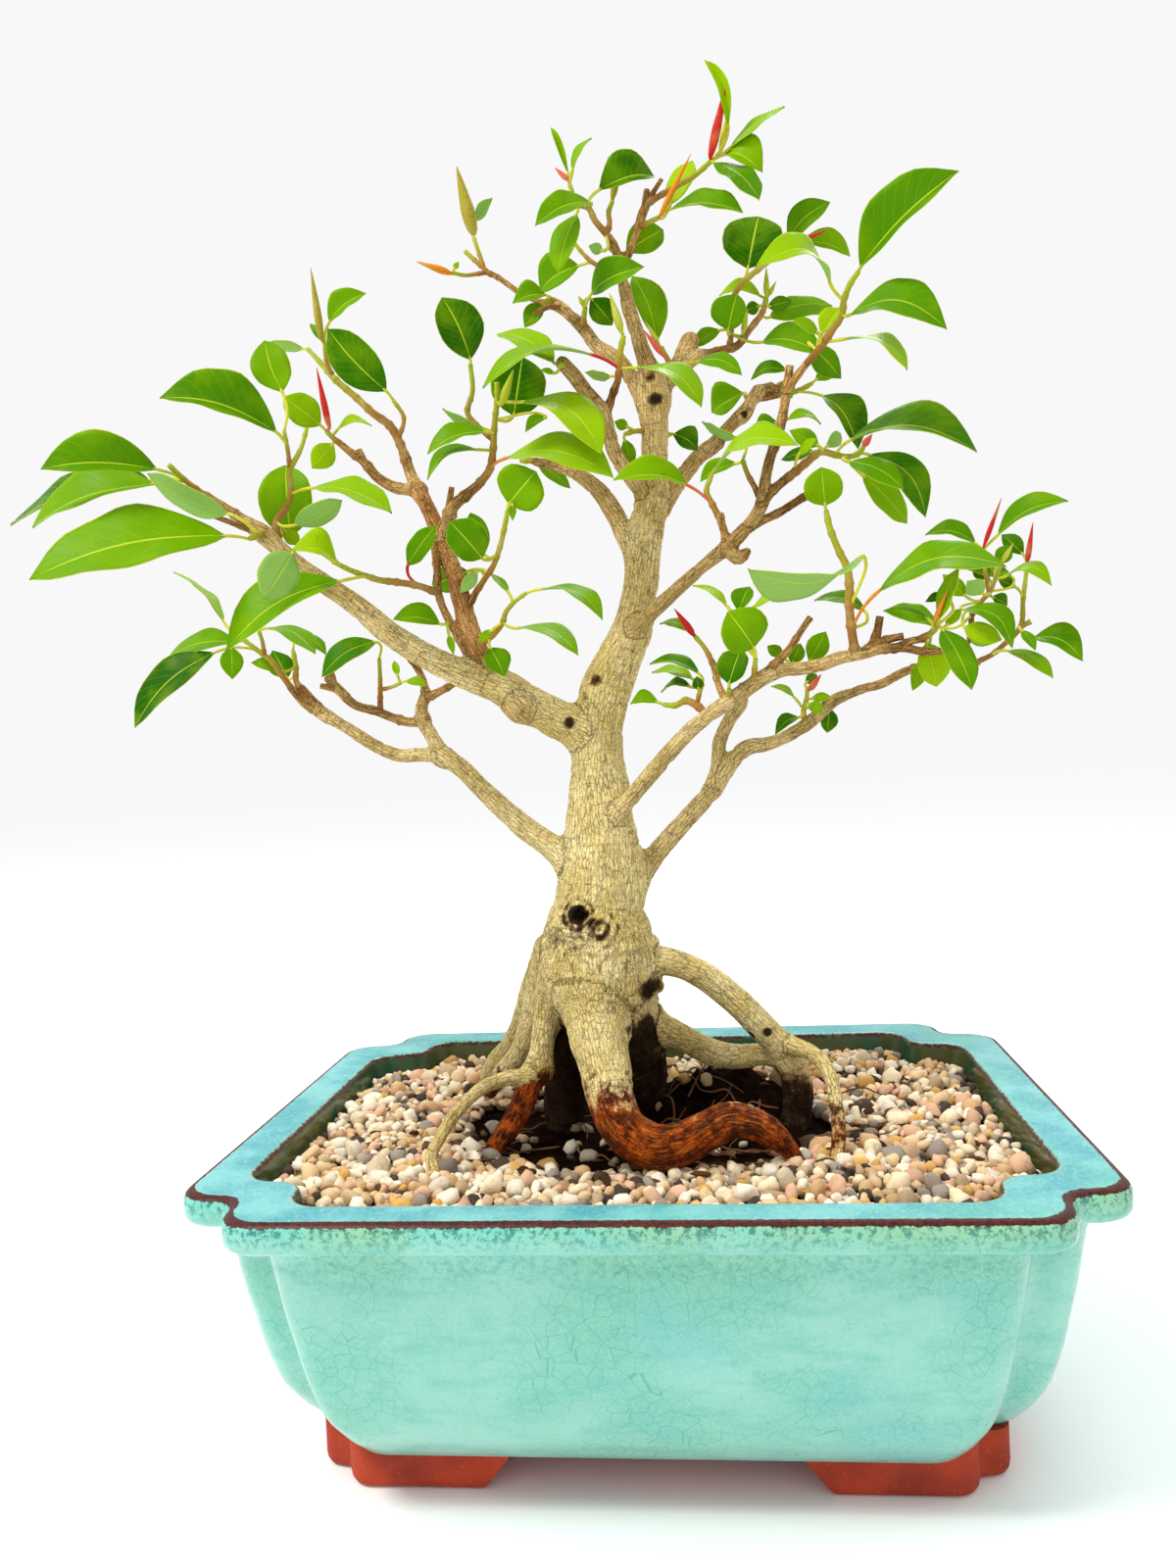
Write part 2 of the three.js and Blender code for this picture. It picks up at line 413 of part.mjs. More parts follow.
// The leafy shoots. `on` is the wood a shoot grows from. Its stems are rows as for the wood, and the first
// row of the first stem is at the wood's middle.
// A leaf is: the stem point its stalk leaves, the blade's base and tip (across, down, behind), how wide it
// is seen to the left and to the right of its midrib looking towards its tip, how far the midrib bows to
// the left of a straight line, all in pixels, and its look: r round, u underside seen, b bright, d dark.
// A spear is a rolled young leaf or a stipule: the stem point, its base and tip, and its thickness.
const shoots = {
  shoot_far_left: {
    on: "limb_left",
    stems: [[[210, 506, -40.9, 2], [190, 491, -43, 1.7], [172, 474, -45, 1.5]]],
    leaves: [
      [1, 160, 479, -47, 41, 477, -58, 10, 30, -3, ""],
      [1, 157, 494, -43, 30, 534, -47, 8, 22, -4, ""],
      [1, 152, 490, -34, 10, 535, -24, 8, 16, -3, "d"],
    ],
  },
  shoot_left_knob: {
    on: "limb_left",
    stems: [[[268, 545, -37, 2.4], [264, 546, -42, 2], [254, 550, -44, 1.5]]],
    leaves: [
      [2, 230, 547, -48, 30, 591, -66, 22, 34, -6, ""],
      [1, 233, 524, -48, 150, 484, -50, 10, 16, 3, "u"],
    ],
  },
  shoot_left_riser: {
    on: "limb_left",
    stems: [
      [[286, 560, -35.5, 2.4], [282, 533, -35, 2.2], [293, 516, -33, 1.9], [297, 504, -32, 1.8],
        [296, 478, -31, 1.7], [302, 468, -31, 1.6], [308, 455, -30, 1.3], [313, 437, -29, 1.2]],
      [[296, 480, -31, 1.5], [294, 462, -32, 1.3], [290, 440, -32, 1.2]],
    ],
    leaves: [
      [4, 282, 441, -35, 163, 405, -46, 8, 34, -7, ""],
      [10, 288, 400, -30, 270, 347, -28, 20, 20, 3, ""],
      [1, 297, 528, -29, 293, 477, -23, 28, 24, 0, "r"],
      [3, 319, 498, -36, 400, 521, -42, 14, 8, 4, "b"],
      [1, 300, 536, -39, 349, 512, -42, 15, 9, -2, "u"],
    ],
  },
  shoot_left_high: {
    on: "twig_red_high",
    stems: [
      [[414, 468, 4.6, 3], [407, 450, 6.5, 2.9], [400, 437, 7, 2.8], [380, 421, 9, 2.6], [365, 407, 11, 2.4],
        [340, 385, 13, 2.2], [326, 369, 15, 1.8], [314, 356, 16, 1.4]],
      [[340, 385, 13, 1.6], [333, 368, 12, 1.5], [331, 349, 11, 1.4]],
      [[407, 448, 6.4, 1.5], [412, 426, 4, 1.4], [401, 408, 2, 1.3]],
    ],
    leaves: [
      [13, 394, 399, 1, 334, 335, -3, 22, 22, 3, "d"],
      [7, 310, 356, 17, 268, 358, 19, 2, 10, -2, "u"],
      [10, 336, 329, 10, 373, 299, 8, 15, 5, 3, ""],
      [9, 330, 350, 15, 317, 329, 18, 5, 6, 0, ""],
    ],
    spears: [[10, 328, 346, 10, 317, 273, 8, 2.6]],
  },
  shoot_left_middle: {
    on: "twig_red_left",
    stems: [[[350, 455, -5.5, 2], [339, 446, -7, 1.7], [333, 440, -8, 1.4]]],
    leaves: [
      [2, 327, 434, -9, 289, 405, -14, 15, 17, 0, "b"],
      [1, 340, 453, -6, 318, 478, -6, 14, 12, 0, "b"],
      [1, 343, 440, -4, 379, 433, -2, 4, 4, 7, "b"],
    ],
    spears: [[2, 336, 437, -9, 323, 375, -10, 2.2]],
  },
  shoot_left_near: {
    on: "twig_red_side",
    stems: [[[449, 606, -15, 2.4], [428, 598, -18, 2.2], [405, 594, -22, 2.1], [388, 592, -26, 2],
      [375, 588, -31, 1.8], [358, 582, -36, 1.6], [340, 573, -41, 1.5]]],
    leaves: [
      [4, 347, 593, -41, 228, 660, -54, 12, 26, -7, ""],
      [6, 325, 566, -46, 270, 612, -64, 18, 22, -15, ""],
      [1, 416, 577, -20, 444, 536, -24, 11, 11, 0, ""],
    ],
  },
  shoot_low_left_inner: {
    on: "twig_low_left_inner",
    stems: [[[311, 706, 33.4, 2.4], [303, 697, 34, 2.2], [302, 680, 35, 1.9], [299, 663, 36, 1.5]]],
    leaves: [
      [3, 308, 647, 35, 333, 668, 33, 6, 6, 2, ""],
      [2, 293, 692, 39, 278, 663, 42, 14, 13, 0, "d"],
      [2, 284, 684, 32, 256, 676, 29, 6, 7, -2, "b"],
    ],
  },
  shoot_low_left_outer: {
    on: "twig_low_left_outer",
    stems: [
      [[300, 706, 31.3, 2.4], [286, 687, 30, 2.1], [275, 673, 29, 2], [262, 663, 28, 1.8], [249, 653, 27, 1.5]],
      [[270, 669, 28.6, 1.7], [267, 652, 26, 1.4], [264, 644, 25, 1.3]],
    ],
    leaves: [
      [3, 219, 666, 25, 137, 742, 17, 12, 19, -6, "d"],
      [4, 240, 655, 29, 169, 672, 34, 8, 11, -4, ""],
      [4, 236, 660, 22, 237, 693, 18, 12, 12, 0, ""],
      [4, 228, 634, 30, 179, 582, 33, 3.5, 3.5, -3, "b"],
      [7, 274, 641, 22, 322, 666, 14, 9, 8, 5, ""],
    ],
    spears: [[7, 265, 641, 25, 262, 623, 25, 1.8]],
  },
  shoot_low_knuckle: {
    on: "stub_knuckle_leaf",
    stems: [
      [[388, 717, 23, 1.9], [388, 698, 22, 1.6], [387, 672, 21, 1.3]],
      [[388, 704, 22.4, 1.5], [400, 701, 20, 1.3], [409, 697, 19, 1.2]],
    ],
    leaves: [
      [2, 384, 655, 19, 328, 690, 13, 10, 13, -5, "d"],
      [5, 414, 695, 18, 435, 700, 15, 5, 5, 2, "b"],
    ],
  },
  shoot_red_side: {
    on: "twig_red_side",
    stems: [[[460, 636, -14, 1.7], [456, 636, -19, 1.4]]],
    leaves: [
      [1, 449, 637, -21, 401, 632, -27, 6, 15, -3, ""],
    ],
  },
  shoot_red_low: {
    on: "branch_red",
    stems: [[[486, 661, -12, 2], [500, 651, -15, 1.8], [513, 635, -16, 1.7], [516, 625, -17, 1.6],
      [523, 616, -17, 1.4], [537, 605, -18, 1.3]]],
    leaves: [
      [4, 519, 605, -16, 500, 584, -14, 4, 4, 0, "b"],
      [5, 553, 601, -20, 615, 632, -28, 8, 6, 10, ""],
      [2, 528, 641, -20, 590, 668, -28, 9, 7, 8, ""],
      [1, 500, 661, -17, 515, 690, -20, 15, 13, 0, ""],
    ],
  },
  shoot_red_riser: {
    on: "twig_red_low",
    stems: [[[485, 606, -14, 2], [495, 590, -15, 1.9], [503, 578, -16, 1.8], [508, 565, -17, 1.7],
      [515, 537, -19, 1.6], [518, 521, -20, 1.4]]],
    leaves: [
      [3, 492, 570, -20, 459, 532, -24, 18, 20, 0, "r"],
      [3, 494, 565, -14, 480, 523, -13, 12, 12, 0, ""],
      [1, 478, 583, -1, 440, 597, 4, 14, 14, 0, ""],
      [5, 519, 514, -20, 547, 481, -22, 26, 24, 0, "r"],
    ],
  },
  shoot_red_high: {
    on: "branch_red_right",
    stems: [
      [[485, 498, -10.7, 2.8], [500, 478, -12, 2.5], [503, 460, -13, 2.2], [504, 442, -14, 2],
        [505, 428, -15, 1.8], [507, 410, -16, 1.7], [507, 390, -17, 1.5]],
      [[503, 449, -13.5, 1.7], [488, 435, -9, 1.7], [477, 421, -8, 1.8], [482, 400, -9, 1.6],
        [480, 372, -10, 1.4]],
    ],
    leaves: [
      [5, 534, 410, -20, 614, 463, -34, 20, 14, 14, "b"],
      [1, 518, 467, -19, 626, 487, -31, 20, 12, 10, "b"],
      [3, 497, 441, -18, 436, 462, -23, 4, 13, -4, ""],
      [2, 487, 459, -16, 435, 487, -19, 3, 8, -8, ""],
      [3, 494, 437, -15, 451, 418, -17, 4, 4, 0, "u"],
      [4, 524, 424, -11, 533, 364, -4, 27, 27, 0, "rd"],
      [11, 480, 367, -10, 451, 303, -14, 21, 25, -2, "d"],
    ],
    spears: [[5, 512, 412, -20, 524, 377, -23, 2.8]],
  },
  shoot_upper_left: {
    on: "limb_upper_left",
    stems: [[[552, 473, 20.8, 2.6], [541, 470, 24, 2.2], [531, 470, 25, 1.8]]],
    leaves: [[1, 548, 473, 29, 582, 498, 32, 7, 7, 0, ""]],
  },
  shoot_upper_fork: {
    on: "twig_upper_high",
    stems: [
      [[504, 281, 24, 1.9], [496, 277, 25, 1.8], [490, 262, 26, 1.5], [483, 241, 27, 1.4]],
      [[497, 278, 24.8, 1.6], [484, 280, 23, 1.4], [475, 281, 22, 1.3], [463, 279, 21, 1.3]],
      [[497, 277, 25, 1.7], [475, 257, 29, 1.6]],
    ],
    leaves: [
      [3, 485, 226, 29, 503, 202, 32, 9, 3, 0, "u"],
    ],
    spears: [
      [3, 483, 238, 27, 466, 170, 25, 4.8],
      [7, 460, 279, 20.5, 425, 267, 17, 2.6],
    ],
  },
  shoot_top_left: {
    on: "leader_left",
    stems: [
      [[624, 246, -7.6, 2.2], [618, 238, -8.4, 2.1], [607, 225, -10, 2], [600, 212, -11, 1.9],
        [591, 209, -12, 1.7], [581, 188, -12, 1.4]],
      [[619, 240, -8.2, 1.9], [622, 226, -6, 1.7], [621, 217, -5, 1.6], [625, 205, -4, 1.4]],
    ],
    leaves: [
      [4, 588, 219, -14, 568, 277, -18, 11, 14, 0, ""],
      [3, 603, 207, -14, 546, 229, -22, 7, 15, -4, ""],
      [3, 611, 194, -8, 668, 179, -2, 26, 6, 3, "d"],
      [5, 580, 178, -12, 562, 130, -10, 3.5, 3.5, -2, "b"],
      [5, 584, 175, -13, 602, 140, -16, 3.5, 3.5, 3, "b"],
      [1, 639, 257, 3, 677, 234, 7, 18, 14, 0, ""],
    ],
    spears: [
      [9, 625, 203, -4, 632, 166, -5, 2.3],
      [5, 580, 184, -12, 566, 171, -13, 1.8],
    ],
  },
  shoot_top_right: {
    on: "leader_right",
    stems: [[[659, 209, -0.3, 2.2], [668, 203, -2, 2], [690, 190, -4, 1.8], [710, 178, -6, 1.7],
      [726, 164, -7, 1.6]]],
    leaves: [
      [4, 743, 130, -9, 718, 60, -11, 6, 6, -9, "b"],
      [4, 745, 151, -8, 800, 108, -13, 4, 4, 0, "b"],
      [4, 741, 157, -6, 778, 174, -10, 22, 6, 3, "b"],
      [4, 729, 166, -10, 775, 203, -20, 10, 11, 3, ""],
    ],
    spears: [
      [4, 725, 160, -9, 742, 82, -13, 2.8],
      [4, 735, 155, -7, 746, 104, -8, 2.2],
    ],
  },
  shoot_top_right_low: {
    on: "leader_right",
    stems: [[[651, 232, -2.4, 2], [662, 227, -5, 1.7], [672, 222, -7, 1.5]]],
    leaves: [
      [2, 685, 213, -9, 758, 216, -18, 13, 4, 3, ""],
      [2, 684, 209, 4, 706, 162, 8, 11, 12, 0, "b"],
    ],
    spears: [[2, 674, 219, -9, 705, 157, -12, 2]],
  },
  shoot_centre: {
    on: "limb_top_right",
    stems: [[[685, 385, 1.2, 2], [683, 371, -3, 1.8], [674, 354, -5, 1.6]]],
    leaves: [
      [2, 671, 347, 4, 645, 281, 9, 12, 19, -3, ""],
      [1, 712, 369, -4, 757, 381, -9, 8, 8, 5, ""],
    ],
    spears: [
      [1, 676, 362, -7, 657, 337, -10, 2],
      [2, 671, 349, -8, 658, 327, -9, 1.6],
    ],
  },
  shoot_upper_twig: {
    on: "twig_upper_middle",
    stems: [[[630, 391, -14.8, 2.1], [632, 376, -16, 2], [633, 360, -17, 1.9], [636, 343, -17, 1.7]]],
    leaves: [
      [1, 604, 362, -21, 492, 394, -34, 3, 7, -13, "b"],
      [1, 650, 375, -19, 716, 415, -30, 12, 8, 10, "b"],
      [1, 624, 384, -11, 597, 380, -8, 5, 5, 0, "u"],
    ],
    spears: [[3, 634, 338, -17, 622, 299, -17, 2.6]],
  },
  shoot_upper_knob: {
    on: "limb_upper_middle",
    stems: [[[581, 378, -20.4, 2.6], [571, 371, -23, 1.6]]],
    leaves: [
      [1, 565, 370, -20, 507, 338, -12, 11, 12, -4, "b"],
    ],
  },
  shoot_upper_end: {
    on: "limb_upper_high",
    stems: [[[567, 311, 15.7, 2.4], [560, 303, 13, 1.6]]],
    leaves: [
      [1, 557, 301, 14, 523, 309, 11, 5, 15, -2, ""],
      [1, 554, 310, 13, 535, 334, 13, 8, 11, 0, ""],
    ],
  },
  shoot_leader_side: {
    on: "leader_side",
    stems: [[[613, 272, -1.4, 1.5], [605, 268, 0, 1.4], [596, 260, 1, 1.3], [586, 248, 2, 1.3]]],
    leaves: [[1, 591, 271, 3, 551, 297, 7, 10, 22, -3, ""]],
  },
  shoot_upper_fruiting: {
    on: "limb_upper_high",
    stems: [[[595, 335, 12, 2], [596, 322, 6, 1.8], [597, 314, 3, 1.7]]],
    leaves: [
      [2, 604, 299, -4, 657, 272, -18, 19, 9, 3, ""],
      [2, 603, 305, 6, 625, 332, 9, 15, 13, 0, "d"],
    ],
    spears: [[2, 596, 312, 3, 590, 302, 2, 1.8]],
  },
  shoot_top_right_end: {
    on: "limb_top_right",
    stems: [[[774, 325, 19.2, 2.2], [779, 316, 20, 1.8], [782, 304, 20, 1.6]]],
    leaves: [
      [1, 783, 313, 23, 808, 307, 26, 8, 8, 0, "d"],
      [1, 785, 324, 26, 850, 310, 32, 10, 13, 3, ""],
      [2, 776, 302, 23, 734, 300, 25, 3, 9, -5, "b"],
    ],
    spears: [
      [2, 782, 302, 19, 782, 273, 17, 2],
      [2, 784, 302, 20, 792, 287, 20, 1.6],
    ],
  },
  shoot_right_crown: {
    on: "limb_top_right",
    stems: [[[744, 356, 11.3, 2], [746, 341, 12, 1.8], [747, 320, 13, 1.8], [749, 303, 12, 1.9],
      [757, 289, 10, 2], [766, 281, 9, 1.9], [778, 272, 8, 1.7], [790, 262, 7, 1.6], [801, 251, 6, 1.5]]],
    leaves: [
      [4, 763, 274, 12, 774, 220, 17, 30, 28, 0, "rd"],
      [8, 804, 245, 5, 847, 206, 0, 16, 10, 4, ""],
      [8, 818, 246, 9, 868, 260, 11, 15, 4, 2, "b"],
      [1, 743, 337, 7, 752, 300, 4, 21, 13, 0, "r"],
      [1, 735, 337, 16, 707, 355, 17, 7, 9, -2, ""],
      [1, 778, 349, 5, 840, 361, -4, 18, 8, 5, ""],
    ],
    spears: [
      [8, 805, 251, 4, 846, 234, -3, 1.7],
      [1, 758, 340, 9, 763, 315, 9, 2],
    ],
  },
  shoot_middle_right_inner: {
    on: "limb_middle_right",
    stems: [[[766, 411, 26, 2], [760, 403, 30, 1.5]]],
    leaves: [[1, 758, 401, 33, 726, 421, 38, 10, 22, 0, ""]],
  },
  shoot_middle_right_stub: {
    on: "stub_middle_right",
    stems: [[[789, 396.5, 30.5, 2], [800, 390, 31, 1.5], [806, 384, 31, 1.3]]],
    leaves: [
      [2, 803, 378, 33, 766, 387, 38, 5, 8, -5, "d"],
    ],
  },
  shoot_middle_right_end: {
    on: "twig_middle_right",
    stems: [[[799, 402, 32.2, 2], [812, 399.5, 34.5, 1.8], [822, 395, 36, 1.7], [829, 391, 36, 1.5]]],
    leaves: [
      [1, 839, 404, 29, 876, 458, 21, 22, 7, 5, "d"],
      [3, 832, 388, 37, 856, 373, 39, 9, 8, 0, ""],
    ],
  },
  shoot_right_top: {
    on: "twig_right_high",
    stems: [[[823, 371, -41.2, 2.1], [834, 358, -43.5, 2], [841, 349, -45, 2.3], [851, 334, -47, 2],
      [859, 322, -48, 1.8], [861, 307, -49, 1.7], [868, 289, -50, 1.6], [876, 277, -51, 1.5]]],
    leaves: [
      [7, 878, 273, -52, 977, 173, -66, 34, 8, 2, ""],
      [4, 868, 321, -51, 966, 333, -63, 22, 12, 15, ""],
      [2, 862, 346, -48, 927, 374, -57, 6, 5, 10, "b"],
      [1, 838, 341, -44, 857, 314, -41, 13, 9, 0, "b"],
      [1, 835, 340, -48, 809, 326, -53, 5, 7, 0, "b"],
      [5, 847, 289, -52, 773, 268, -66, 5, 13, -20, "b"],
      [1, 827, 352, -38, 859, 386, -35, 12, 15, 0, ""],
    ],
  },
  shoot_right_dark: {
    on: "twig_right_dark",
    stems: [[[798, 492, -31.3, 2.7], [812, 481, -30.5, 2.5], [824, 471, -29.5, 2.4], [838, 461, -28, 2.2],
      [852, 464, -27, 1.9], [864, 466, -27, 1.7], [877, 462, -26, 1.6], [881, 456, -26, 1.5]]],
    leaves: [
      [4, 868, 449, -31, 997, 455, -46, 22, 5, 12, ""],
      [6, 886, 464, -25, 946, 526, -26, 17, 15, 12, "d"],
      [5, 866, 471, -34, 922, 499, -42, 10, 12, 4, ""],
      [5, 880, 485, -19, 926, 534, -14, 14, 12, 0, "b"],
      [3, 843, 456, -22, 858, 442, -16, 7, 8, 0, "u"],
      [3, 835, 455, -33, 806, 439, -36, 9, 10, 0, ""],
      [3, 831, 461, -22, 797, 469, -16, 6, 7, 0, "d"],
    ],
    spears: [[7, 881, 455, -26, 890, 443, -27, 2.4]],
  },
  shoot_right_upright: {
    on: "limb_right",
    stems: [[[799, 421, -36, 2], [798, 428, -32, 1.5]]],
    leaves: [
      [1, 794, 432, -30, 770, 441, -27, 4, 11, -3, ""],
      [1, 803, 428, -30, 838, 432, -26, 5, 4, 6, ""],
    ],
  },
  shoot_right_small: {
    on: "twig_right_small",
    stems: [[[735, 530, -25.2, 2.1], [726, 513, -24, 1.8], [721, 502, -24, 1.6], [726, 485, -26, 1.4]]],
    leaves: [
      [3, 728, 481, -29, 814, 454, -45, 12, 7, 15, "b"],
      [1, 701, 495, -28, 627, 487, -37, 5, 18, -4, "b"],
    ],
  },
  shoot_right_thin: {
    on: "twig_right_thin",
    stems: [[[770, 497, -31.8, 1.7], [762, 482, -31, 1.5], [758, 470, -30, 1.4]]],
    leaves: [
      [2, 752, 473, -24, 714, 491, -18, 4, 11, -2, ""],
      [2, 752, 447, -24, 716, 431, -20, 5, 5, 0, "u"],
    ],
  },
  shoot_trunk_left: {
    on: "trunk",
    stems: [[[666, 441, 0, 2], [648, 440, -4, 1.6], [637, 443, -5, 1.4]]],
    leaves: [
      [2, 637, 448, -5, 645, 477, -3, 8, 7, 0, ""],
    ],
  },
  shoot_trunk_right: {
    on: "trunk",
    stems: [[[668, 445, 0, 2], [684, 443, 8, 1.5]]],
    leaves: [[1, 687, 443, 9, 712, 459, 11, 15, 9, 2, "d"]],
  },
  shoot_riser: {
    on: "limb_lower_right",
    stems: [[[873, 669, -35, 2.8], [869, 642, -36, 2.6], [867, 621, -37, 2.5], [867, 601, -38, 2.4],
      [864, 578, -39, 2.2], [857, 564, -39, 2], [851, 550, -39, 1.9], [846, 536, -39, 1.8],
      [843, 521, -39, 1.5]]],
    leaves: [
      [8, 842, 516, -40, 838, 477, -45, 19, 19, 0, "rb"],
      [2, 846, 593, -54, 768, 598, -78, 16, 18, 0, "u"],
      [2, 856, 597, -54, 879, 561, -61, 10, 9, 0, ""],
      [1, 883, 624, -31, 831, 612, -27, 5, 8, -5, "d"],
      [1, 897, 603, -42, 1026, 575, -54, 17, 14, 15, ""],
    ],
  },
  shoot_far_right: {
    on: "limb_lowest_right",
    stems: [
      [[994, 676.5, 34.8, 1.9], [1012, 668, 35, 1.8], [1024, 658, 35, 1.8], [1041, 640, 35, 1.8],
        [1044, 612, 34, 1.6], [1048, 577, 33, 1.4]],
      [[1041, 640, 35, 1.8], [1052, 634, 34, 1.8]],
    ],
    leaves: [
      [5, 1044, 566, 34, 1022, 545, 37, 8, 10, 0, "d"],
      [3, 1054, 651, 34, 1105, 674, 26, 18, 8, 8, ""],
      [1, 1028, 664, 30, 1075, 691, 23, 7, 7, 4, "b"],
      [3, 1042, 643, 30, 1057, 663, 25, 6, 5, 0, ""],
    ],
    spears: [[5, 1048, 575, 33, 1054, 533, 31, 2]],
  },
  shoot_far_right_inner: {
    on: "twig_far_right",
    stems: [
      [[992, 628, 30.3, 1.8], [1002, 613, 29, 1.7], [1010, 604, 28, 1.6], [1016, 590, 27, 1.4],
        [1023, 573, 27, 1.3]],
      [[1009, 605, 28, 1.4], [1006, 588, 24, 1.3], [1003, 561, 22, 1.3]],
    ],
    leaves: [
      [7, 1018, 546, 20, 1090, 511, 10, 15, 5, 6, ""],
      [7, 996, 555, 24, 944, 545, 28, 4, 12, -6, ""],
      [3, 1026, 588, 24, 1073, 597, 15, 7, 6, 12, "b"],
      [1, 982, 622, 22, 1034, 660, 14, 13, 9, 12, ""],
      [1, 984, 640, 33, 1018, 655, 36, 11, 12, 0, "u"],
    ],
    spears: [
      [7, 1004, 557, 21, 1022, 508, 19, 1.7],
      [4, 1024, 572, 26, 1034, 554, 25, 1.6],
    ],
  },
  shoot_lower_right_end: {
    on: "fork_lower_right",
    stems: [[[938, 652.5, -40.3, 2.1], [950, 646, -42, 1.8], [957, 638, -43, 1.6]]],
    leaves: [
      [2, 961, 642, -46, 993, 702, -54, 15, 13, 0, ""],
      [1, 945, 656, -36, 956, 701, -34, 18, 14, 0, "b"],
      [1, 943, 672, -31, 931, 705, -27, 9, 7, 0, "b"],
      [1, 948, 632, -44, 902, 622, -46, 9, 6, 0, ""],
      [2, 958, 632, -47, 978, 580, -52, 8, 8, 0, "b"],
    ],
    spears: [[2, 954, 633, -47, 967, 602, -52, 1.6]],
  },
  shoot_inner_right_tip: {
    on: "twig_inner_right",
    stems: [[[730, 683, -15, 2], [719, 661, -13, 1.5], [709, 649, -12, 1.4]]],
    leaves: [[2, 702, 644, -9, 673, 635, -2, 5, 6, -3, "b"]],
    spears: [[2, 708, 648, -12.5, 688, 621, -18, 2.3]],
  },
  shoot_inner_right: {
    on: "limb_lower_right",
    stems: [[[769, 698, -27, 2], [770, 683, -30, 1.6], [771, 672, -32, 1.4]]],
    leaves: [
      [2, 769, 661, -33, 743, 624, -37, 22, 26, 0, "r"],
      [2, 754, 624, -28, 765, 598, -25, 14, 8, 0, ""],
      [2, 768, 620, -30, 824, 602, -36, 6, 6, 4, "b"],
      [2, 742, 619, -30, 707, 597, -28, 3.5, 4.5, -3, "b"],
    ],
  },
  shoot_inner_right_dark: {
    on: "limb_lower_right",
    stems: [[[743, 716, -24, 2], [744, 703, -28, 1.4]]],
    leaves: [[1, 744, 698, -28, 756, 663, -26, 17, 12, 0, "rd"]],
  },
  shoot_inner_right_low: {
    on: "limb_lower_right",
    stems: [
      [[722, 730, -22, 2.6], [711, 720, -19, 2.4], [700, 715, -17, 2.2], [688, 720, -15, 1.8],
        [677, 719, -14, 1.3]],
      [[711, 720, -19, 1.6], [714, 706, -18, 1.4], [717, 698, -17, 1.3]],
    ],
    leaves: [
      [4, 672, 717, -14, 643, 718, -11, 3, 11, -2, "b"],
      [7, 705, 701, -14, 674, 705, -9, 2, 6, -4, "d"],
      [7, 707, 693, -12, 665, 686, -7, 5, 5, -4, "b"],
      [7, 714, 688, -18, 663, 677, -16, 3, 8, -5, "d"],
    ],
  },
  shoot_lowest_right: {
    on: "limb_lowest_right",
    stems: [[[822, 739, 21, 2], [820, 725, 20, 1.7], [823, 713, 19, 1.5], [824, 702, 18, 1.4]]],
    leaves: [
      [1, 811, 712, 18, 787, 700, 16, 3, 4, -2, "b"],
      [1, 815, 732, 14, 791, 749, 8, 5, 9, -3, "d"],
      [1, 846, 722, 29, 844, 748, 32, 10, 8, 0, "d"],
    ],
    spears: [[3, 826, 704, 17, 838, 688, 16, 2.4]],
  },
  shoot_lower_right_back: {
    on: "limb_lower_right",
    stems: [[[808, 684, -30, 2], [810, 680, -24, 1.5]]],
    leaves: [
      [1, 808, 678, -20, 817, 656, -16, 9, 9, 0, ""],
      [1, 826, 675, -21, 843, 644, -19, 12, 12, 0, ""],
    ],
  },
};

// The rows of a path without those that lie within `slack` of the straight line between their neighbours.
function thinned(path, slack) {
  const last = path.length - 1;
  const [from, to] = [spot(path[0]), spot(path[last])];
  const line = new THREE.Line3(from, to);
  let farthest = 0;
  let corner = 0;
  for (let i = 1; i < last; i += 1) {
    const point = spot(path[i]);
    const away = line.closestPointToPoint(point, true, new THREE.Vector3()).distanceTo(point);
    const share = line.closestPointToPointParameter(point, true);
    const swelling = Math.abs(path[i][3] - THREE.MathUtils.lerp(path[0][3], path[last][3], share)) / 2;
    if (away + swelling > farthest) {
      farthest = away + swelling;
      corner = i;
    }
  }
  if (farthest < slack) {
    return [path[0], path[last]];
  }
  return [...thinned(path.slice(0, corner + 1), slack).slice(0, -1), ...thinned(path.slice(corner), slack)];
}

// A round skin about a line of points, with a radius at each, its frames carried along without twist.
function skin(points, radii, sides, pointed = false) {
  const last = points.length - 1;
  const tangents = points.map((_, i) => {
    const before = points[Math.max(i - 1, 0)];
    return points[Math.min(i + 1, last)].clone().sub(before).normalize();
  });
  let normal = new THREE.Vector3(0, 0, 1).cross(tangents[0]);
  if (normal.length() < 0.2) {
    normal = new THREE.Vector3(0, -1, 0).cross(tangents[0]);
  }
  const frames = tangents.map((tangent) => {
    normal = normal.clone().addScaledVector(tangent, -normal.dot(tangent)).normalize();
    return [normal, normal.clone().cross(tangent)];
  });
  return bentCylinder(sides, points.length, (ring, side) => {
    const point = points[ring].clone();
    if (side === undefined) {
      return point;
    }
    const angle = (side / sides) * 2 * Math.PI;
    const [first, second] = frames[ring];
    point.addScaledVector(first, radii[ring] * Math.cos(angle));
    return point.addScaledVector(second, radii[ring] * Math.sin(angle));
  }, pointed);
}

// A tube through the rows of a path. `grown` fattens it and lengthens its ends by that much.
function tube(rows, sides, grown = 0) {
  const path = thinned(rows, Math.min(straightWithin, rows[0][3] / 4));
  const points = path.map(spot);
  const last = path.length - 1;
  const lengthen = (end, inner) => {
    const out = points[end].clone().sub(points[inner]).normalize();
    return points[end].clone().addScaledVector(out, grown);
  };
  const ends = [lengthen(0, 1), lengthen(last, last - 1)];
  [points[0], points[last]] = ends;
  return skin(points, path.map(([, , , thick]) => thick / 2 + grown), sides);
}

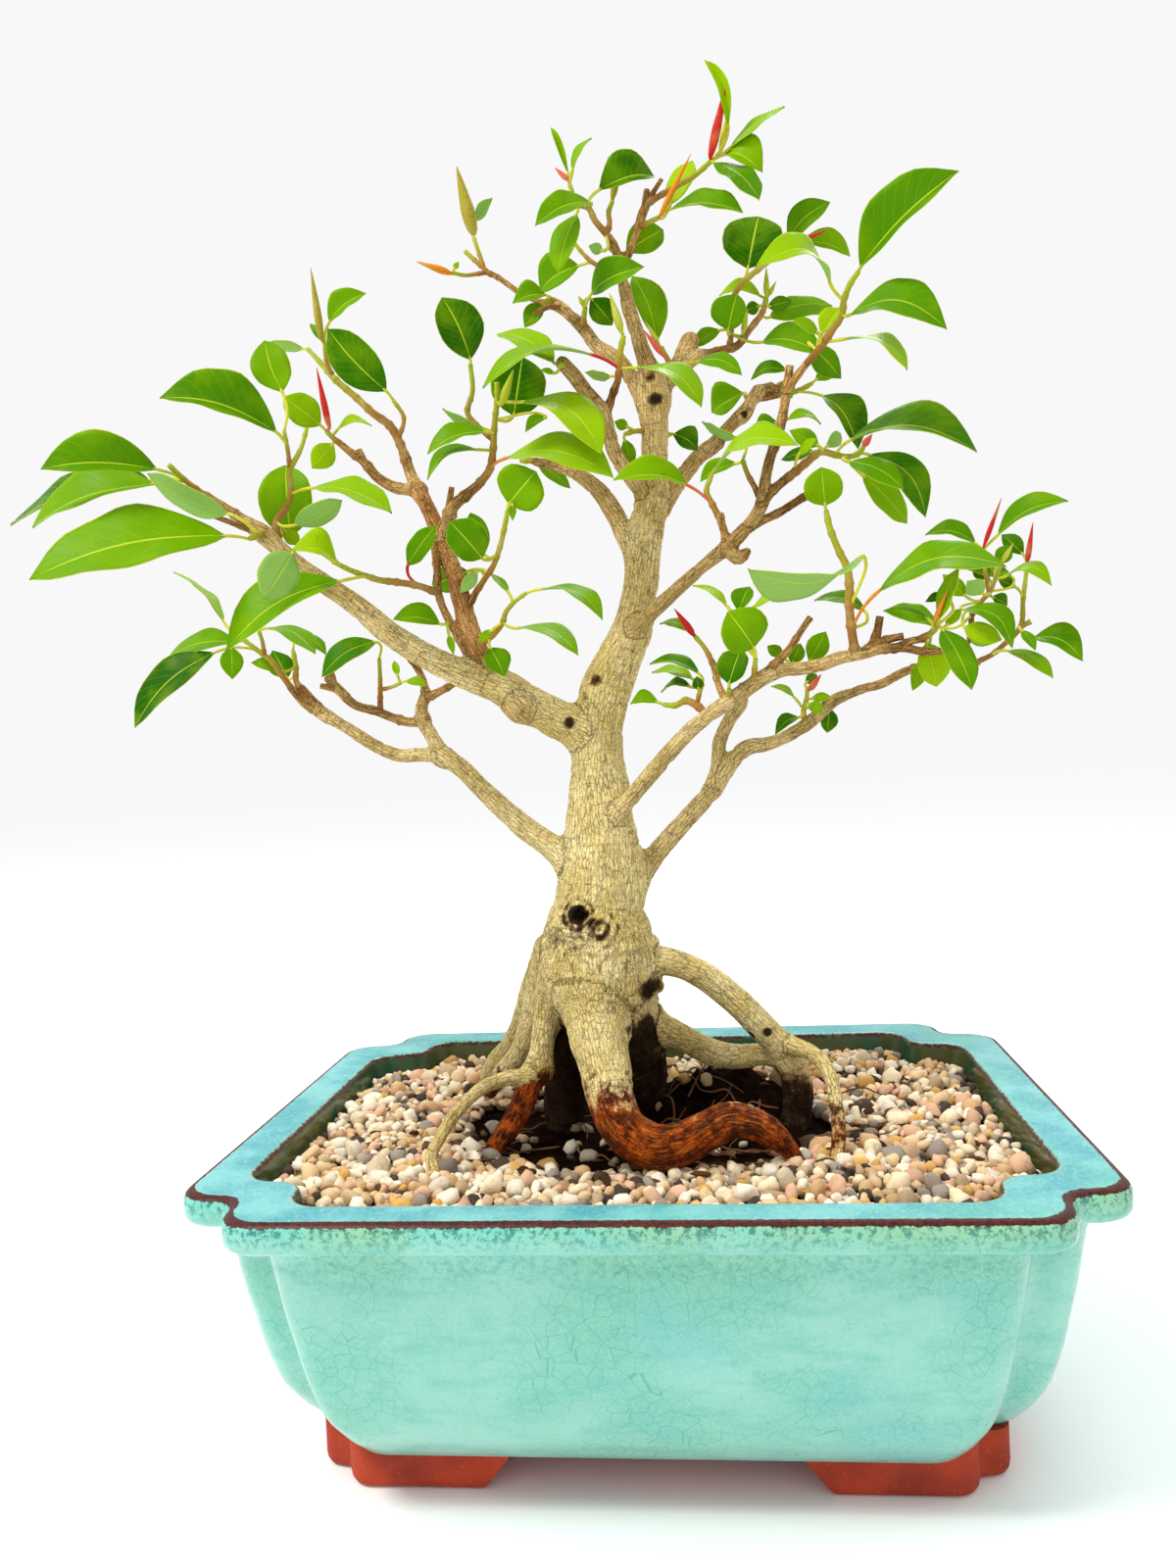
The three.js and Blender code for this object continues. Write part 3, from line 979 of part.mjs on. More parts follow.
// How wide each half of a blade is along its length, as a share of its widest: oval, and round
const ovalBlade = [[0, 0.12], [0.32, 0.96], [0.7, 0.8], [1, 0]];
const roundBlade = [[0, 0.2], [0.28, 0.97], [0.78, 0.84], [1, 0]];
const smallBlade = [[0, 0.25], [0.45, 1], [1, 0]];
const smallBladeLength = 13;

// A blade on its stalk: rings of three points, left edge, right edge and the midrib on the upper face.
function leaf(start, [, baseX, baseY, baseBehind, tipX, tipY, tipBehind, left, right, bow, look]) {
  const base = spot([baseX, baseY, baseBehind]);
  const tip = spot([tipX, tipY, tipBehind]);
  const along = tip.clone().sub(base);
  const middleOf = base.clone().add(tip).multiplyScalar(0.5);
  const pixel = millimetresPerPixel(middleOf);
  const sight = middleOf.clone().sub(eye).normalize();
  const leftward = along.clone().cross(sight).normalize();
  const nearward = along.clone().cross(leftward).normalize();
  const half = Math.max(leastHalfWidth * along.length(), left * pixel, right * pixel);
  const turned = look.includes("u") ? -1 : 1;
  const edge = (seen, sign) => {
    const rise = leftward.z * sign;
    const towards = Math.abs(rise) < 0.35 ? 0.6 : -Math.sign(rise);
    const depth = Math.sqrt(Math.max(half ** 2 - seen ** 2, 0)) * towards * turned;
    return leftward.clone().multiplyScalar(seen * sign).addScaledVector(nearward, depth);
  };
  const leftEdge = edge(left * pixel, 1);
  const rightEdge = edge(right * pixel, -1);
  const across = leftEdge.clone().sub(rightEdge).normalize();
  const upper = along.clone().cross(across).normalize();
  const shift = leftEdge.clone().lerp(rightEdge, left / (left + right));
  const reaches = [leftEdge.distanceTo(shift), rightEdge.distanceTo(shift)];
  const stalk = base.clone().sub(start).normalize();
  const bend = new THREE.Quaternion().setFromUnitVectors(along.clone().normalize(), stalk);
  const ways = [1, 0.5, 0].map((part) => {
    const turn = new THREE.Quaternion().slerp(bend, part);
    return [across.clone().applyQuaternion(turn), upper.clone().applyQuaternion(turn)];
  });
  const longBlade = along.length() < smallBladeLength ? smallBlade : ovalBlade;
  const stations = look.includes("r") ? roundBlade : longBlade;
  const rings = stations.length + 1;
  return bentCylinder(3, rings, (ring, side) => {
    const [t, share] = ring === 0 ? [0, 0] : stations[ring - 1];
    const bulge = Math.sin(Math.PI * t);
    const point = ring === 0 ? start.clone() : base.clone().addScaledVector(along, t);
    if (ring > 0) {
      point.addScaledVector(leftward, bow * pixel * bulge);
      point.addScaledVector(upper, bladeArch * along.length() * bulge);
    }
    if (side === undefined) {
      return point;
    }
    const thick = [stalkThick, petioleThick][ring] ?? bladeThick;
    const [sideways, outward] = ways[Math.min(ring, 2)];
    point.addScaledVector(shift, share);
    if (side === 2) {
      return point.addScaledVector(outward, (thick * 2) / 3);
    }
    const reach = Math.max(share * reaches[side], thick / 2);
    point.addScaledVector(outward, -thick / 3);
    return point.addScaledVector(sideways, side === 0 ? reach : -reach);
  }, true);
}

// A pointed roll: thin where it leaves the stem, thickest a quarter of the way up, and sharp at its tip.
function spear(start, [, baseX, baseY, baseBehind, tipX, tipY, tipBehind, thick]) {
  const base = spot([baseX, baseY, baseBehind]);
  const tip = spot([tipX, tipY, tipBehind]);
  const points = [start, base.lerp(tip, 0.25), tip];
  return skin(points, [stalkThick / 2, thick / 2, 0], 3, true);
}

function largest(body) {
  const parts = body.decompose();
  return parts.reduce((best, part) => (part.volume() > best.volume() ? part : best));
}

// The points of a stem that stalks leave from, the last one drawn back so that it lies inside.
function nodes(path) {
  const points = path.map(spot);
  const last = points.length - 1;
  const drawn = Math.min(endSink / points[last].distanceTo(points[last - 1]), 0.5);
  points[last].lerp(points[last - 1], drawn);
  return points;
}

function makeShoot({ on, stems, leaves, spears = [] }) {
  const stemPoints = stems.flatMap(nodes);
  const grown = [
    ...stems.map((path) => tube(path, stemSides)),
    ...leaves.map((row) => leaf(stemPoints[row[0]], row)),
    ...spears.map((row) => spear(stemPoints[row[0]], row)),
  ];
  const [kind, path] = wood[on];
  return largest(join(grown).subtract(tube(path, woodSides[kind], clearance)));
}

const knotAt = [590, 934, -13];
const knotRadius = 3.4;

function makeTree() {
  const strands = Object.values(wood).map(([kind, path]) => tube(path, woodSides[kind]));
  const knot = new THREE.IcosahedronGeometry(knotRadius, 0);
  const place = spot(knotAt);
  knot.translate(place.x, place.y, place.z);
  return largest(join(strands).subtract(solid(knot)));
}

// The soil and the gravel, both opened for the roots

const buriedRoots = Object.keys(wood).filter((name) => name.startsWith("root") || name === "stump");

function rootHoles() {
  return join(buriedRoots.map((name) => tube(wood[name][1], woodSides[wood[name][0]], clearance)));
}

// The bare patch under the roots, an oval in plan
const patch = { x: 10, y: 12, halfWidth: 58, halfDepth: 47 };
// The mound of old soil in the patch, and its rings from the top down: height, half width and half depth
const mound = { x: 22, y: 24, sides: 14, rings: [[94.5, 12, 9], [90, 26, 20], [82, 37, 29], [70, 40, 32]] };

function makeSoil(holes) {
  const inside = innerRows.map(([z, inX, inY]) => [z, inX + clearance, inY + clearance]);
  const rows = [
    [floorTop + clearance, inside[0][1], inside[0][2]],
    ...inside.slice(1, 3),
    [soilTop, inside[2][1] - 1, inside[2][2] - 1],
  ];
  const pockets = [-1, 1].map((sign) => box(
    screenSide + 2 * clearance, screenSide + 2 * clearance, screenThick + 3 * clearance,
    (sign * drainSpread) / 2, 0, floorTop));
  const heap = bentCylinder(mound.sides, mound.rings.length, (ring, side) => {
    const [z, halfWidth, halfDepth] = mound.rings[ring];
    const turn = side === undefined ? 0 : (2 * Math.PI * side) / mound.sides;
    const out = side === undefined ? 0 : 1;
    return new THREE.Vector3(
      mound.x + out * halfWidth * Math.cos(turn), mound.y + out * halfDepth * Math.sin(turn), z);
  });
  return largest(join([stack(rows), heap]).subtract(join([...pockets, holes])));
}

// A repeatable draw between 0 and 1.
function drawer(seed) {
  let state = seed;
  return () => {
    state = (state * 1664525 + 1013904223) % 4294967296;
    return state / 4294967296;
  };
}

function pebble(draw, x, y, z, size) {
  const geometry = new THREE.OctahedronGeometry(size / 2, 0);
  geometry.scale(1 + 0.35 * draw(), 0.85 + 0.3 * draw(), 0.75 + 0.2 * draw());
  geometry.rotateZ(draw() * Math.PI);
  geometry.rotateX((draw() - 0.5) * 0.7);
  geometry.translate(x, y, z);
  return solid(geometry).trimByPlane([0, 0, 1], gravelTop - pebbleSink);
}

function makeGravel(holes) {
  const bedRows = [
    [soilTop + clearance, wall + 9.2, wall + 9.6],
    [gravelTop, wall + 9.2, wall + 9.6],
  ];
  const opening = new THREE.CylinderGeometry(1, 1, 40, 22);
  opening.rotateX(Math.PI / 2);
  opening.scale(patch.halfWidth, patch.halfDepth, 1);
  opening.translate(patch.x, patch.y, soilTop);
  const bed = stack(bedRows).subtract(solid(opening));
  const draw = drawer(7);
  const pebbles = [];
  const edgeX = potWidth / 2 - wall - 9.2 - pebbleSize * 0.8;
  const edgeY = potDepth / 2 - wall - 9.6 - pebbleSize * 0.8;
  const across = Math.ceil((2 * edgeX) / pebbleSpacing);
  const along = Math.ceil((2 * edgeY) / pebbleSpacing);
  for (let i = 0; i <= across; i += 1) {
    for (let j = 0; j <= along; j += 1) {
      const stagger = (j % 2) * 0.5 - 0.25;
      const x = -edgeX + ((i + stagger + 0.4 * (draw() - 0.5)) * 2 * edgeX) / across;
      const y = -edgeY + ((j + 0.4 * (draw() - 0.5)) * 2 * edgeY) / along;
      const size = pebbleSize * (0.85 + 0.4 * draw());
      const z = gravelTop + 0.6 * draw();
      const made = pebble(draw, x, y, z, size);
      const away = Math.hypot((x - patch.x) / patch.halfWidth, (y - patch.y) / patch.halfDepth);
      const inCorner = Math.abs(x) > edgeX - 16 && Math.abs(y) > edgeY - 16;
      if (away > 1.03 && Math.abs(x) <= edgeX && !inCorner) {
        pebbles.push(made);
      }
    }
  }
  return largest(join([bed, ...pebbles]).subtract(holes));
}

// The whole bonsai

const glaze = { color: 0x8cd7be, roughness: 0.25, metalness: 0 };
const darkMesh = { color: 0x20252a, roughness: 0.7, metalness: 0 };
const darkSoil = { color: 0x2b1d12, roughness: 1, metalness: 0 };
const paleStone = { color: 0xd8c3a0, roughness: 0.8, metalness: 0 };
const bark = { color: 0xb09a62, roughness: 0.85, metalness: 0 };
const leafGreen = { color: 0x5f9c1c, roughness: 0.45, metalness: 0 };

const bonsai = new THREE.Group();
const holes = rootHoles();
bonsai.add(piece("pot", makePot(), glaze));
bonsai.add(piece("drain_screen_left", makeScreen(-1), darkMesh));
bonsai.add(piece("drain_screen_right", makeScreen(1), darkMesh));
bonsai.add(piece("soil", makeSoil(holes), darkSoil));
bonsai.add(piece("gravel", makeGravel(holes), paleStone));
bonsai.add(piece("tree", makeTree(), bark));
for (const [name, shoot] of Object.entries(shoots)) {
  bonsai.add(piece(name, makeShoot(shoot), leafGreen));
}

// The origin is below the middle of the whole, on the plane that the feet stand on.
const whole = new THREE.Box3().setFromObject(bonsai);
const centre = whole.getCenter(new THREE.Vector3());
for (const part of bonsai.children) {
  part.geometry.translate(-centre.x, -centre.y, -whole.min.z);
}

export default bonsai;
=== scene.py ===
import math
import random

import bmesh
import bpy
import numpy as np
import openvdb
from mathutils import Matrix, Vector, noise


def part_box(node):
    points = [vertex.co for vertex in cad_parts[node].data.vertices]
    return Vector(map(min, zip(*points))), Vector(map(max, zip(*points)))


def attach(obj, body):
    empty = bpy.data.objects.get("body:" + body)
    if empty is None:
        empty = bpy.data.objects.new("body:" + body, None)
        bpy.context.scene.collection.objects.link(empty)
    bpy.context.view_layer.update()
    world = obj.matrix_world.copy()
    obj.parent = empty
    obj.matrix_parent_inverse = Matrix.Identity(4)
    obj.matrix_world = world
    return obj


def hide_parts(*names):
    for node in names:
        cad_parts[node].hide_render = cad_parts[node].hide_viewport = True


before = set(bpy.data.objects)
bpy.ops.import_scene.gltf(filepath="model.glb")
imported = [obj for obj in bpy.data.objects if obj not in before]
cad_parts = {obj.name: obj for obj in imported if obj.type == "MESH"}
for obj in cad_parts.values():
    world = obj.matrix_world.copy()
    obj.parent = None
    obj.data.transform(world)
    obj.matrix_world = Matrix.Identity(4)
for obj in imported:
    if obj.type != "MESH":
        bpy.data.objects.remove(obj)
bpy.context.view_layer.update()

# The pot
POT_WIDTH = 250
POT_DEPTH = 201
FLOOR_TOP = 20
LOBE_RADIUS = 10
CORNER_RUN = 28.5
BITE_RADIUS = 8
ARC_STEPS = 7
DRAIN_RADIUS = 9
DRAIN_SPREAD = 110
DRAIN_SIDES = 32
SHARP_TURN = 35

# The bed
SOIL_TOP = 79
SOIL_STEP = 0.9
SOIL_UNDER_WALL = 2.5
BED_INSET = 16.4
BED_REACH = (112, 88)
PEBBLES_BELOW = 1300
PEBBLES_ABOVE = 1650
BARK_BITS = 110
ROOTLETS = 44
LITTER_REACH = (100, 78)
ROOTLET_SIDES = 6
PEBBLE_REACH = (110, 86)
PEBBLE_TRIES = 60000
PEBBLE_CELL = 7
PEBBLE_SPACE = 0.41

# The wood
GRAIN_STEP = 0.6
WOOD_STEP = 1.2
SKIN_BAND = 3.0
JOINED_WITHIN = 2.9
KNOT_REACH = 12
RINGS_REACH_BACK = 9
MEASURED_AT_ONCE = 4000
TUBE_BELOW = 1.45
TWIG_SIDES = 8
BUD_SCARS = 0.24

# The leaves
BLADE_THICK = 0.5
LEAST_HALF_WIDTH = 0.24
BLADE_ARCH = 0.05
FOLD = 0.55
LONG_LEAF = 20
LONG_LEAF_GRID = (18, 6)
SHORT_LEAF_GRID = (12, 4)
STEM_SIDES = 9
STEM_SCARS = 0.22
STEM_SCAR_SPACING = 4.2
STALK_SIDES = 7
SPEAR_SIDES = 8
SHOOT_START = 0.45

# A full turn, near enough for a random one
FULL_TURN = 6.3

# How a place on the plant is read: from the eye, through a picture of so many pixels across and down
PICTURE = (1200, 1600)
FOCAL = 1229.2
EYE = Vector((24.65, -386.4, 207.4))
YAW, PITCH, ROLL = (math.radians(turn) for turn in (-6.04, -1.71, -2.68))

AHEAD = Vector((math.sin(YAW) * math.cos(PITCH), math.cos(YAW) * math.cos(PITCH), math.sin(PITCH)))
LEVEL = Vector((math.cos(YAW), -math.sin(YAW), 0))
UPRIGHT = LEVEL.cross(AHEAD)
PICTURE_RIGHT = LEVEL * math.cos(ROLL) + UPRIGHT * math.sin(ROLL)
PICTURE_UP = UPRIGHT * math.cos(ROLL) - LEVEL * math.sin(ROLL)

pot_low, pot_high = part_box("pot")
POT_MIDDLE = Vector(((pot_low[0] + pot_high[0]) / 2, (pot_low[1] + pot_high[1]) / 2, pot_low[2]))


def spot(place):
    """The point seen at a pixel, `behind` millimetres further back than the middle of the pot."""
    across, down, behind = place[:3]
    ray = AHEAD * FOCAL + PICTURE_RIGHT * (across - PICTURE[0] / 2) + PICTURE_UP * (PICTURE[1] / 2 - down)
    return EYE + ray * ((behind - EYE.y) / ray.y)


def rows_down(points):
    """The picture row in which each of many points is seen."""
    out = points - np.array(EYE)
    return PICTURE[1] / 2 - FOCAL * (out @ np.array(PICTURE_UP)) / (out @ np.array(AHEAD))


def pixel_at(point):
    """Millimetres covered by one pixel at a point."""
    return (point - EYE).dot(AHEAD) / FOCAL


def eased(value, start, end):
    """0 below start, 1 above end, and a smooth rise between them."""
    share = min(max((value - start) / (end - start), 0), 1)
    return share * share * (3 - 2 * share)


def between(stops, at):
    """The height at a place along a row of (place, height) stops."""
    places, heights = zip(*stops)
    return float(np.interp(at, places, heights))


# Finishes

def paint(red, green, blue):
    """A colour as a paint chart gives it, 0 to 255, turned into the renderer's light values."""
    return tuple((part / 255) ** 2.2 for part in (red, green, blue)) + (1,)


class Coat:
    """The value that one socket gives. A sum on coats adds the node that works it out."""

    def __init__(self, finish, socket):
        self.finish = finish
        self.socket = socket

    def sum(self, operation, *others):
        return self.finish.node("ShaderNodeMath", {"operation": operation}, dict(enumerate(others)))

    def __add__(self, other):
        return self.sum("ADD", self, other)

    def __sub__(self, other):
        return self.sum("SUBTRACT", self, other)

    def __mul__(self, other):
        return self.sum("MULTIPLY", self, other)

    def __truediv__(self, other):
        return self.sum("DIVIDE", self, other)

    def __rsub__(self, other):
        return self.sum("SUBTRACT", other, self)

    def __abs__(self):
        return self.sum("ABSOLUTE", self)

    def __mod__(self, other):
        return self.sum("FRACT", self / other)

    __radd__ = __add__
    __rmul__ = __mul__

    def rise(self, start, end):
        """0 below start and 1 above end."""
        settings = {"interpolation_type": "SMOOTHSTEP", "clamp": True}
        return self.finish.node("ShaderNodeMapRange", settings, {0: self, 1: start, 2: end})


class Finish:
    """A procedural material. Every node in it is made by the method `node`."""

    def __init__(self, name):
        self.material = bpy.data.materials.new(name)
        self.material.use_nodes = True
        self.tree = self.material.node_tree
        self.tree.nodes.clear()

    def node(self, kind, settings, sockets, out=0):
        made = self.tree.nodes.new(kind)
        for name, setting in settings.items():
            if name == "stops":
                self.set_stops(made.color_ramp, setting)
            else:
                setattr(made, name, setting)
        for key, value in sockets.items():
            if isinstance(value, Coat):
                self.tree.links.new(value.socket, made.inputs[key])
            else:
                made.inputs[key].default_value = value
        return Coat(self, made.outputs[out]) if made.outputs else None

    @staticmethod
    def set_stops(ramp, stops):
        while len(ramp.elements) < len(stops):
            ramp.elements.new(1)
        for element, (place, colour) in zip(ramp.elements, stops):
            element.position = place
            element.color = colour

    def painted(self, name):
        """A value that the mesh carries under this name."""
        return self.node("ShaderNodeAttribute", {"attribute_name": name}, {}, out=2)

    def painted_place(self, name):
        return self.node("ShaderNodeAttribute", {"attribute_name": name}, {}, out=1)

    def place(self):
        """Where on the object, in metres."""
        return self.node("ShaderNodeTexCoord", {}, {}, out=3)

    def scaled(self, place, factors):
        return self.node("ShaderNodeVectorMath", {"operation": "MULTIPLY"}, {0: place, 1: factors})

    def clouds(self, place, scale, detail=3, roughness=0.5):
        sockets = {"Vector": place, "Scale": scale, "Detail": detail, "Roughness": roughness}
        return self.node("ShaderNodeTexNoise", {}, sockets)

    def cells(self, place, scale, feature="DISTANCE_TO_EDGE"):
        return self.node("ShaderNodeTexVoronoi", {"feature": feature}, {"Vector": place, "Scale": scale})

    def mix(self, share, under, over):
        return self.node("ShaderNodeMix", {"data_type": "RGBA"}, {0: share, 6: under, 7: over}, out=2)

    def ramp(self, value, stops, interpolation="LINEAR"):
        """The colour that a value of 0 to 1 picks from a row of (place, colour) stops."""
        made = self.node("ShaderNodeValToRGB", {"stops": stops}, {0: value})
        made.socket.node.color_ramp.interpolation = interpolation
        return made

    def relief(self, height, depth, strength):
        """A bump from a height of 0 to 1 that stands for `depth` millimetres."""
        sockets = {"Strength": strength, "Distance": depth / 1000, "Height": height}
        return self.node("ShaderNodeBump", {}, sockets)

    def shade(self, **sockets):
        """The finished material, with these values on the sockets of its surface."""
        named = {name.replace("_", " "): value for name, value in sockets.items()}
        body = self.node("ShaderNodeBsdfPrincipled", {}, named)
        self.node("ShaderNodeOutputMaterial", {}, {"Surface": body})
        return self.material


def glaze_finish():
    finish = Finish("turquoise_crackle_glaze")
    place = finish.place()
    drift = finish.clouds(place, 26, detail=4)
    bloom = finish.clouds(place, 15, detail=2)
    wash = finish.clouds(finish.scaled(place, (1, 1, 3.5)), 60, detail=5, roughness=0.6)
    fleck = finish.clouds(place, 620, detail=3, roughness=0.7)
    mottle = finish.clouds(place, 1100, detail=3, roughness=0.65)
    thread = 1 - finish.cells(place, 210).rise(0.0, 0.03)
    net = 1 - finish.cells(place, 420).rise(0.0, 0.05)
    edge = finish.painted("edge")
    apron = finish.painted("apron")
    flat = finish.painted("flat")
    inner = finish.painted("inner")
    body = finish.mix(drift.rise(0.34, 0.66), paint(150, 205, 191), paint(126, 192, 172))
    body = finish.mix(wash.rise(0.45, 0.7) * 0.4, body, paint(94, 176, 168))
    body = finish.mix(bloom.rise(0.6, 0.7) * 0.4, body, paint(100, 180, 186))
    top = finish.mix(wash.rise(0.36, 0.64), paint(112, 190, 192), paint(52, 152, 168))
    top = finish.mix(drift.rise(0.5, 0.66) * 0.6, top, paint(80, 174, 160))
    top = finish.mix(net * 0.4, top, paint(158, 214, 212))
    body = finish.mix(flat, body, top)
    body = finish.mix(mottle.rise(0.45, 0.7) * 0.4, body, paint(156, 212, 198))
    body = finish.mix(fleck.rise(0.56, 0.72) * 0.3, body, paint(86, 172, 162))
    body = finish.mix(thread * drift.rise(0.42, 0.58) * 0.55, body, paint(64, 146, 140))
    body = finish.mix(net * 0.12, body, paint(80, 160, 150))
    band = finish.mix(drift.rise(0.35, 0.6), paint(104, 190, 172), paint(140, 188, 140))
    body = finish.mix(apron * 0.7, body, band)
    pooled = apron * fleck.rise(0.46, 0.6)
    body = finish.mix(pooled * 0.8, body, paint(30, 112, 108))
    body = finish.mix(inner, body, finish.mix(drift.rise(0.4, 0.6), paint(30, 78, 56), paint(76, 80, 44)))
    broken = (edge + (fleck - 0.5) * 0.9).rise(0.4, 0.58)
    body = finish.mix(broken, body, finish.mix(mottle.rise(0.4, 0.6), paint(88, 36, 26), paint(52, 26, 22)))
    relief = finish.relief(finish.clouds(place, 90, detail=2) + net * 0.05, 0.5, 0.3)
    return finish.shade(Base_Color=body, Roughness=0.13 + flat * 0.2 + broken * 0.3, Normal=relief,
                        Specular_IOR_Level=0.24)


def clay_finish():
    finish = Finish("unglazed_red_clay")
    place = finish.place()
    grit = finish.clouds(place, 900, detail=3, roughness=0.7)
    patch = finish.clouds(place, 60, detail=3)
    body = finish.mix(patch.rise(0.35, 0.7), paint(172, 54, 20), paint(134, 38, 16))
    body = finish.mix(grit.rise(0.55, 0.75) * 0.6, body, paint(200, 96, 48))
    return finish.shade(Base_Color=body, Roughness=0.8, Normal=finish.relief(grit, 0.3, 0.6))


def mesh_finish():
    finish = Finish("dark_drain_mesh")
    grit = finish.clouds(finish.place(), 500, detail=2)
    body = finish.mix(grit.rise(0.4, 0.7), paint(30, 34, 36), paint(58, 52, 44))
    return finish.shade(Base_Color=body, Roughness=0.7)


def soil_finish():
    finish = Finish("damp_dark_soil")
    place = finish.place()
    clod = finish.clouds(place, 160, detail=6, roughness=0.65)
    crumb = finish.clouds(place, 900, detail=4, roughness=0.7)
    # Near-black: dark damp soil, and painted shade for the shade under the trunk and roots.
    body = finish.mix(clod.rise(0.35, 0.65), paint(16, 9, 6), paint(36, 21, 13))
    body = finish.mix(crumb.rise(0.64, 0.76) * 0.7, body, paint(88, 56, 31))
    relief = finish.relief(crumb + clod, 1.4, 0.9)
    return finish.shade(Base_Color=body, Roughness=0.95, Normal=relief, Specular_IOR_Level=0.03)


def pebble_finish():
    finish = Finish("river_grit")
    place = finish.place()
    tone = finish.painted("tone")
    grain = finish.clouds(place, 1400, detail=4, roughness=0.7)
    vein = finish.clouds(place, 380, detail=3)
    body = finish.ramp(tone, [
        (0.0, paint(248, 228, 192)), (0.2, paint(236, 204, 158)), (0.34, paint(236, 190, 156)),
        (0.44, paint(198, 170, 134)), (0.52, paint(254, 242, 218)), (0.7, paint(222, 180, 130)),
        (0.79, paint(226, 178, 100)), (0.84, paint(158, 148, 136)), (0.92, paint(72, 62, 54))], "CONSTANT")
    body = finish.mix(vein.rise(0.52, 0.75) * 0.4, body, paint(178, 130, 86))
    body = finish.mix(grain.rise(0.6, 0.78) * 0.5, body, paint(104, 78, 54))
    body = finish.mix(finish.painted("soiled"), body, paint(62, 42, 26))
    return finish.shade(Base_Color=body, Roughness=0.72, Normal=finish.relief(grain, 0.5, 0.7),
                        Specular_IOR_Level=0.2)


def litter_finish():
    finish = Finish("bark_litter")
    place = finish.place()
    grain = finish.clouds(place, 700, detail=4, roughness=0.7)
    body = finish.mix(finish.painted("tone"), paint(46, 28, 17), paint(122, 86, 54))
    body = finish.mix(grain.rise(0.5, 0.7) * 0.6, body, paint(84, 58, 38))
    return finish.shade(Base_Color=body, Roughness=0.9, Normal=finish.relief(grain, 0.4, 0.7),
                        Specular_IOR_Level=0.1)


def bark_finish():
    """Bark that runs along each limb: the mesh carries its grain, its tone, and its stains together with
    painted shade.
    """
    finish = Finish("fig_bark")
    grain_place = finish.painted_place("grain")
    place = finish.place()
    fibre = finish.clouds(finish.scaled(grain_place, (1, 1, 0.15)), 1300, detail=4, roughness=0.65)
    crack = 1 - finish.cells(finish.scaled(grain_place, (1, 1, 0.25)), 900).rise(0.0, 0.1)
    wrinkle = finish.clouds(finish.scaled(grain_place, (0.16, 0.16, 1)), 900, detail=4, roughness=0.65)
    patch = finish.clouds(place, 75, detail=4, roughness=0.55)
    blotch = finish.clouds(place, 210, detail=5, roughness=0.65)
    pore = 1 - finish.cells(place, 900, "F1").rise(0.12, 0.34)
    grit = finish.clouds(place, 2400, detail=3, roughness=0.6)
    orange = finish.painted("orange")
    soot = finish.painted("soot")
    young = finish.painted("young")
    ruddy = finish.painted("ruddy")
    body = finish.mix(patch.rise(0.34, 0.66), paint(252, 230, 162), paint(224, 198, 120))
    reddish = finish.mix(patch.rise(0.35, 0.6), paint(232, 168, 104), paint(188, 118, 66))
    body = finish.mix(ruddy, body, reddish)
    brown = finish.mix(patch.rise(0.35, 0.65), paint(204, 154, 88), paint(132, 88, 42))
    body = finish.mix(young, body, brown)
    rust = finish.mix(blotch.rise(0.36, 0.62), paint(178, 82, 22), paint(82, 32, 10))
    rusty = (orange + (blotch - 0.5) * (orange * 8).rise(0, 1) * 1.5).rise(0.35, 0.65)
    body = finish.mix(rusty, body, rust)
    twiggy = (young + ruddy).rise(0.1, 0.8)
    dark = finish.mix(twiggy, paint(84, 60, 30), paint(66, 38, 17))
    dark = finish.mix(orange, dark, paint(30, 13, 7))
    body = finish.mix(fibre.rise(0.53, 0.66) * (0.38 + orange * 0.44), body, dark)
    body = finish.mix(crack * blotch.rise(0.42, 0.62) * 0.6, body, dark)
    body = finish.mix(wrinkle.rise(0.57, 0.67) * 0.46, body, dark)
    body = finish.mix(blotch.rise(0.56, 0.7) * (0.22 + orange * 0.2), body, dark)
    pale = finish.mix(twiggy, paint(252, 240, 194), paint(220, 176, 112))
    pale = finish.mix(orange, pale, paint(228, 136, 50))
    body = finish.mix((1 - fibre).rise(0.53, 0.68) * 0.5, body, pale)
    body = finish.mix(pore * (1 - orange) * 0.5, body, pale)
    body = finish.mix(grit.rise(0.56, 0.66) * 0.5, body, dark)
    # Darkened by the mesh's shade-and-stain value: dark bark near the soil, and painted shade in crotches,
    # knot grooves, the knot hole and the hollows under the trunk.
    shade_and_stain_share = (soot + (blotch - 0.5) * (soot * 6).rise(0, 1) * 1.1).rise(0.25, 0.75)
    body = finish.mix(shade_and_stain_share.rise(0, 0.5) * 0.7, body, paint(98, 52, 22))
    body = finish.mix(shade_and_stain_share.rise(0.3, 1) * 0.92, body, paint(30, 15, 8))
    height = fibre * 0.4 + crack * 0.25 + wrinkle * 0.45 - pore * 0.3 + grit * 0.15
    return finish.shade(Base_Color=body, Roughness=0.75, Normal=finish.relief(1 - height, 1.6, 1),
                        Specular_IOR_Level=0.1)


